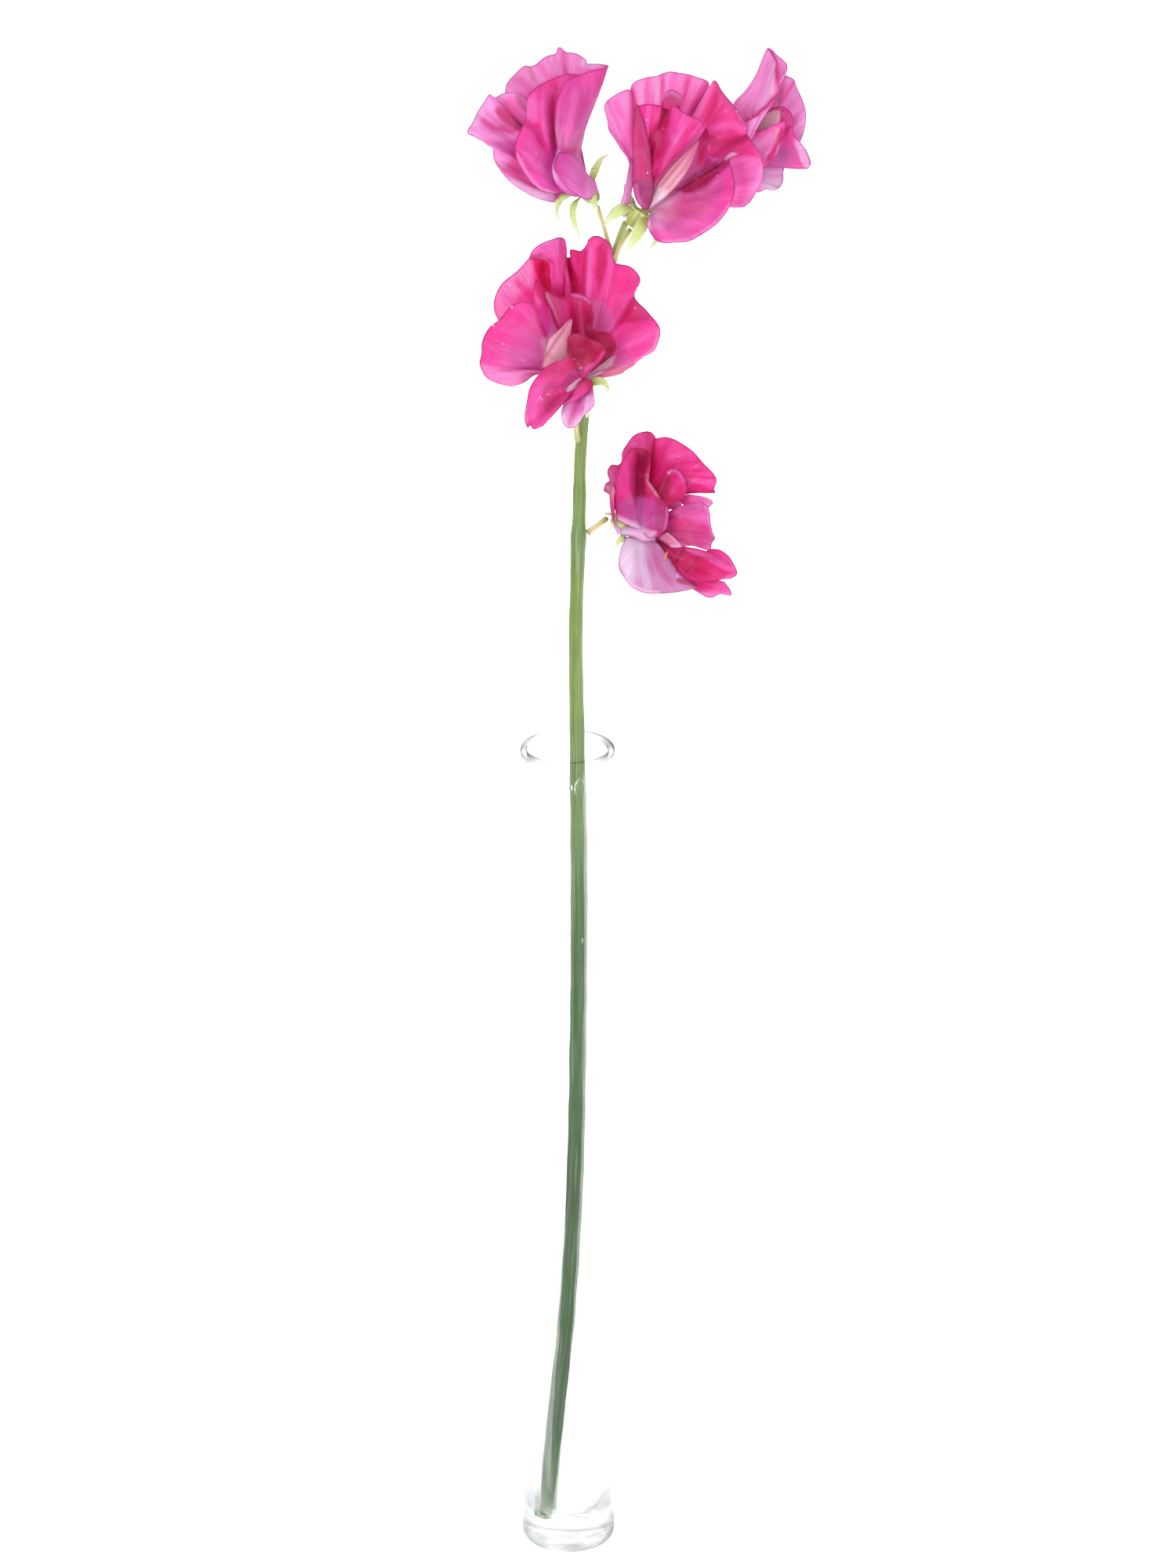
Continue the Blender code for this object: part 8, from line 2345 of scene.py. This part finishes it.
@dataclass
class Vase:
    """A drawn glass tube with a thick flat bottom and a fire-rounded rim, and beads of water on it."""

    height: float = 238.0
    foot_radius: float = 12.75
    neck_radius: float = 12.35
    lip_radius: float = 12.7
    bore_radius: float = 11.05
    floor: float = 8.0
    corner: float = 2.4
    columns: int = 161
    beads: tuple[Point, ...] = (
        (-75.0, 231.0, 1.4), (-104.0, 226.0, 0.7), (-97.0, 203.0, 0.5), (-70.0, 186.0, 0.45),
        (-112.0, 168.0, 0.5), (-86.0, 231.0, 0.45), (-60.0, 64.0, 0.4), (-118.0, 120.0, 0.35),
    )

    @staticmethod
    def arc(centre: Spot, radius: float, start: float, end: float, steps: int) -> list[Spot]:
        """Points on an arc of the profile.

        Args:
            centre: Its centre.
            radius: Its radius.
            start: The first angle in degrees.
            end: The last.
            steps: How many points.

        Returns:
            The points in order.
        """
        turns = np.radians(np.linspace(start, end, steps))
        return [(centre[0] + radius * math.cos(t), centre[1] + radius * math.sin(t)) for t in turns]

    def profile(self) -> list[Spot]:
        """The section from the axis on the floor, over the rim, to the axis underneath."""
        lip = (self.lip_radius - self.bore_radius) / 2
        middle = self.bore_radius + lip
        bowl = np.array([
            (0.0, -0.4), (2.4, -0.3), (4.6, 0.0), (6.6, 0.7), (8.3, 2.0), (9.6, 4.3), (10.4, 8.0),
            (10.8, 14.0), (11.0, 22.0),
        ])
        bowl[:, 1] += self.floor
        curve = smooth_curve(bowl, length_knots(bowl), np.linspace(0.0, 1.0, 28))
        inside = [(float(radius), float(height)) for radius, height in curve]
        inside += [(self.bore_radius, z) for z in np.linspace(38.0, self.height - lip - 1.0, 12)]
        rim = self.arc((middle, self.height - lip), lip, 180.0, 0.0, 13)
        outside = [(self.lip_radius - 0.08, self.height - 2.2), (self.neck_radius + 0.1, self.height - 4.0)]
        outside += [(self.neck_radius, self.height - 7.0)]
        outside += [(self.neck_radius + 0.1, z) for z in np.linspace(self.height / 2, 60.0, 4)]
        outside += [(self.foot_radius - 0.1, 30.0), (self.foot_radius, 10.0)]
        foot = self.arc((self.foot_radius - self.corner, self.corner), self.corner, 0.0, -90.0, 9)
        return inside + rim + outside + foot + [(5.0, 0.0), (0.0, 0.0)]

    def build(self) -> None:
        """Makes the glass and the water beads on it."""
        turns = np.linspace(0.0, math.tau, self.columns)
        profile = np.array(self.profile())
        radius, height = profile[:, 0][:, None], profile[:, 1][:, None]
        level = np.broadcast_to(height, (len(profile), len(turns)))
        points = np.stack([radius * np.cos(turns), radius * np.sin(turns), level], axis=2)
        tint = np.ones_like(points)
        piece = Maker.sheet("vase_glass", Patch(points * MM, tint, points))
        Maker.seal(piece)
        Maker.settle(piece, "vase", "clear_glass", Finish.GLASS)
        for number, bead in enumerate(self.beads, 1):
            self.bead(f"vase_bead_{number}", bead)

    def bead(self, name: str, place: Point) -> None:
        """One bead of water that clings to the outside of the wall.

        Args:
            name: The object's name.
            place: Its turn round the tube in degrees, its height and its half width.
        """
        turn, height, half = math.radians(place[0]), place[1], place[2]
        reach = self.neck_radius + 0.12
        rows, columns = np.meshgrid(np.linspace(0, math.pi, 25), np.linspace(0, math.tau, 33), indexing="ij")
        out = np.sin(rows) * np.cos(columns) * half * 0.35
        wide = np.sin(rows) * np.sin(columns) * half * (1 - 0.15 * np.cos(rows))
        tall = np.cos(rows) * half * 1.9
        points = np.stack(
            [
                (reach + out) * math.cos(turn) - wide * math.sin(turn),
                (reach + out) * math.sin(turn) + wide * math.cos(turn),
                height + tall,
            ],
            axis=2,
        )
        piece = Maker.sheet(name, Patch(points * MM, np.ones_like(points), points))
        Maker.seal(piece)
        Maker.add(piece, "clear_glass", Finish.WATER)


@dataclass
class Studio:
    """A white table, soft lights round it and the camera."""

    aim: Point = (0.0055, 0.0, 0.227)
    distance: float = 2.352
    tilt: float = 22.35
    lens: float = 200.0
    table_radius: float = 6.0

    def build(self) -> None:
        """Sets the stage."""
        self.table()
        self.sky()
        self.light("key_light", (-0.9, -1.3, 1.5), 1.1, 17.0)
        self.light("fill_light", (1.3, -0.9, 0.7), 1.2, 6.0)
        self.light("back_light", (0.5, 1.4, 1.3), 1.0, 12.0)
        self.camera()

    def table(self) -> None:
        """The white table."""
        Maker.alone()
        bpy.ops.mesh.primitive_circle_add(vertices=128, radius=self.table_radius, fill_type="NGON")
        table = bpy.context.object
        table.name = table.data.name = "white_table"
        table.data.materials.append(TableFinish().make())
        table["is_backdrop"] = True

    def sky(self) -> None:
        """White behind the glass, a soft glow on the blooms, and a dim room to reflect."""
        world = bpy.data.worlds.new("studio")
        bpy.context.scene.world = world
        paper = Paper(world)
        way = paper.add("ShaderNodeTexCoord")["Generated"]
        upward = paper.add("ShaderNodeSeparateXYZ", {}, {"Vector": way})["Z"]
        seen = paper.add("ShaderNodeLightPath")
        room = paper.blend((0.22, 0.22, 0.23, 1.0), (0.9, 0.9, 0.9, 1.0), upward.step(0.45, 0.95))
        soft = paper.blend((0.34, 0.34, 0.36, 1.0), (0.78, 0.78, 0.78, 1.0), upward.step(-0.3, 0.9))
        through = paper.blend(room, WHITE, seen["Is Transmission Ray"])
        lit = paper.blend(through, soft, seen["Is Diffuse Ray"])
        shown = paper.blend(lit, WHITE, seen["Is Camera Ray"])
        light = paper.add("ShaderNodeBackground", {}, {"Color": shown, "Strength": 1.0})
        paper.finish(light["Background"])

    def light(self, name: str, place: Point, size: float, power: float) -> None:
        """A soft square light that looks at the blooms.

        Args:
            name: Its name.
            place: Where it stands, in metres.
            size: Its side in metres.
            power: Its power in watts.
        """
        lamp = bpy.data.lights.new(name, "AREA")
        lamp.shape = "SQUARE"
        lamp.size = size
        lamp.energy = power
        item = bpy.data.objects.new(name, lamp)
        bpy.context.scene.collection.objects.link(item)
        item.location = place
        item.rotation_euler = self.look(place, (0.01, 0.0, 0.33))

    @staticmethod
    def look(place: Point, target: Point) -> Euler:
        """The rotation of something at a place that looks at a target."""
        way = Vector(target) - Vector(place)
        return way.to_track_quat("-Z", "Y").to_euler()

    def camera(self) -> None:
        """The camera, a little above and a long way off."""
        lens = bpy.data.cameras.new("camera")
        lens.lens = self.lens
        lens.sensor_width = 36.0
        item = bpy.data.objects.new("camera", lens)
        bpy.context.scene.collection.objects.link(item)
        turn = math.radians(self.tilt)
        place = Vector(self.aim) + self.distance * Vector((0.0, -math.cos(turn), math.sin(turn)))
        item.location = place
        item.rotation_euler = self.look(tuple(place), self.aim)
        bpy.context.scene.camera = item


def main() -> None:
    """Builds the glass, the stem, the five blooms and the studio."""
    logging.basicConfig(level=logging.INFO, format="%(message)s")
    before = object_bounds()
    bpy.context.scene.view_settings.view_transform = "Standard"
    Vase().build()
    Stem().build()
    for bloom in (
        BackBloom((47.5, 12.0, 393.5), "back", 18.5, 500),
        LeftBloom((6.0, 4.0, 393.5), "left", 18.5, 100),
        FrontBloom((18.5, -5.0, 391.0), "front", 18.5, 300),
        MiddleBloom((3.8, -15.0, 349.1), "middle", 19.5, 700),
        LowBloom((14.5, -4.0, 303.0), "low", 20.5, 900),
    ):
        bloom.build()
    Studio().build()
    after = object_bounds()
    [[list(map(float, corner)) for corner in box] for box in (before, after)]


if __name__ == "__main__":
    main()
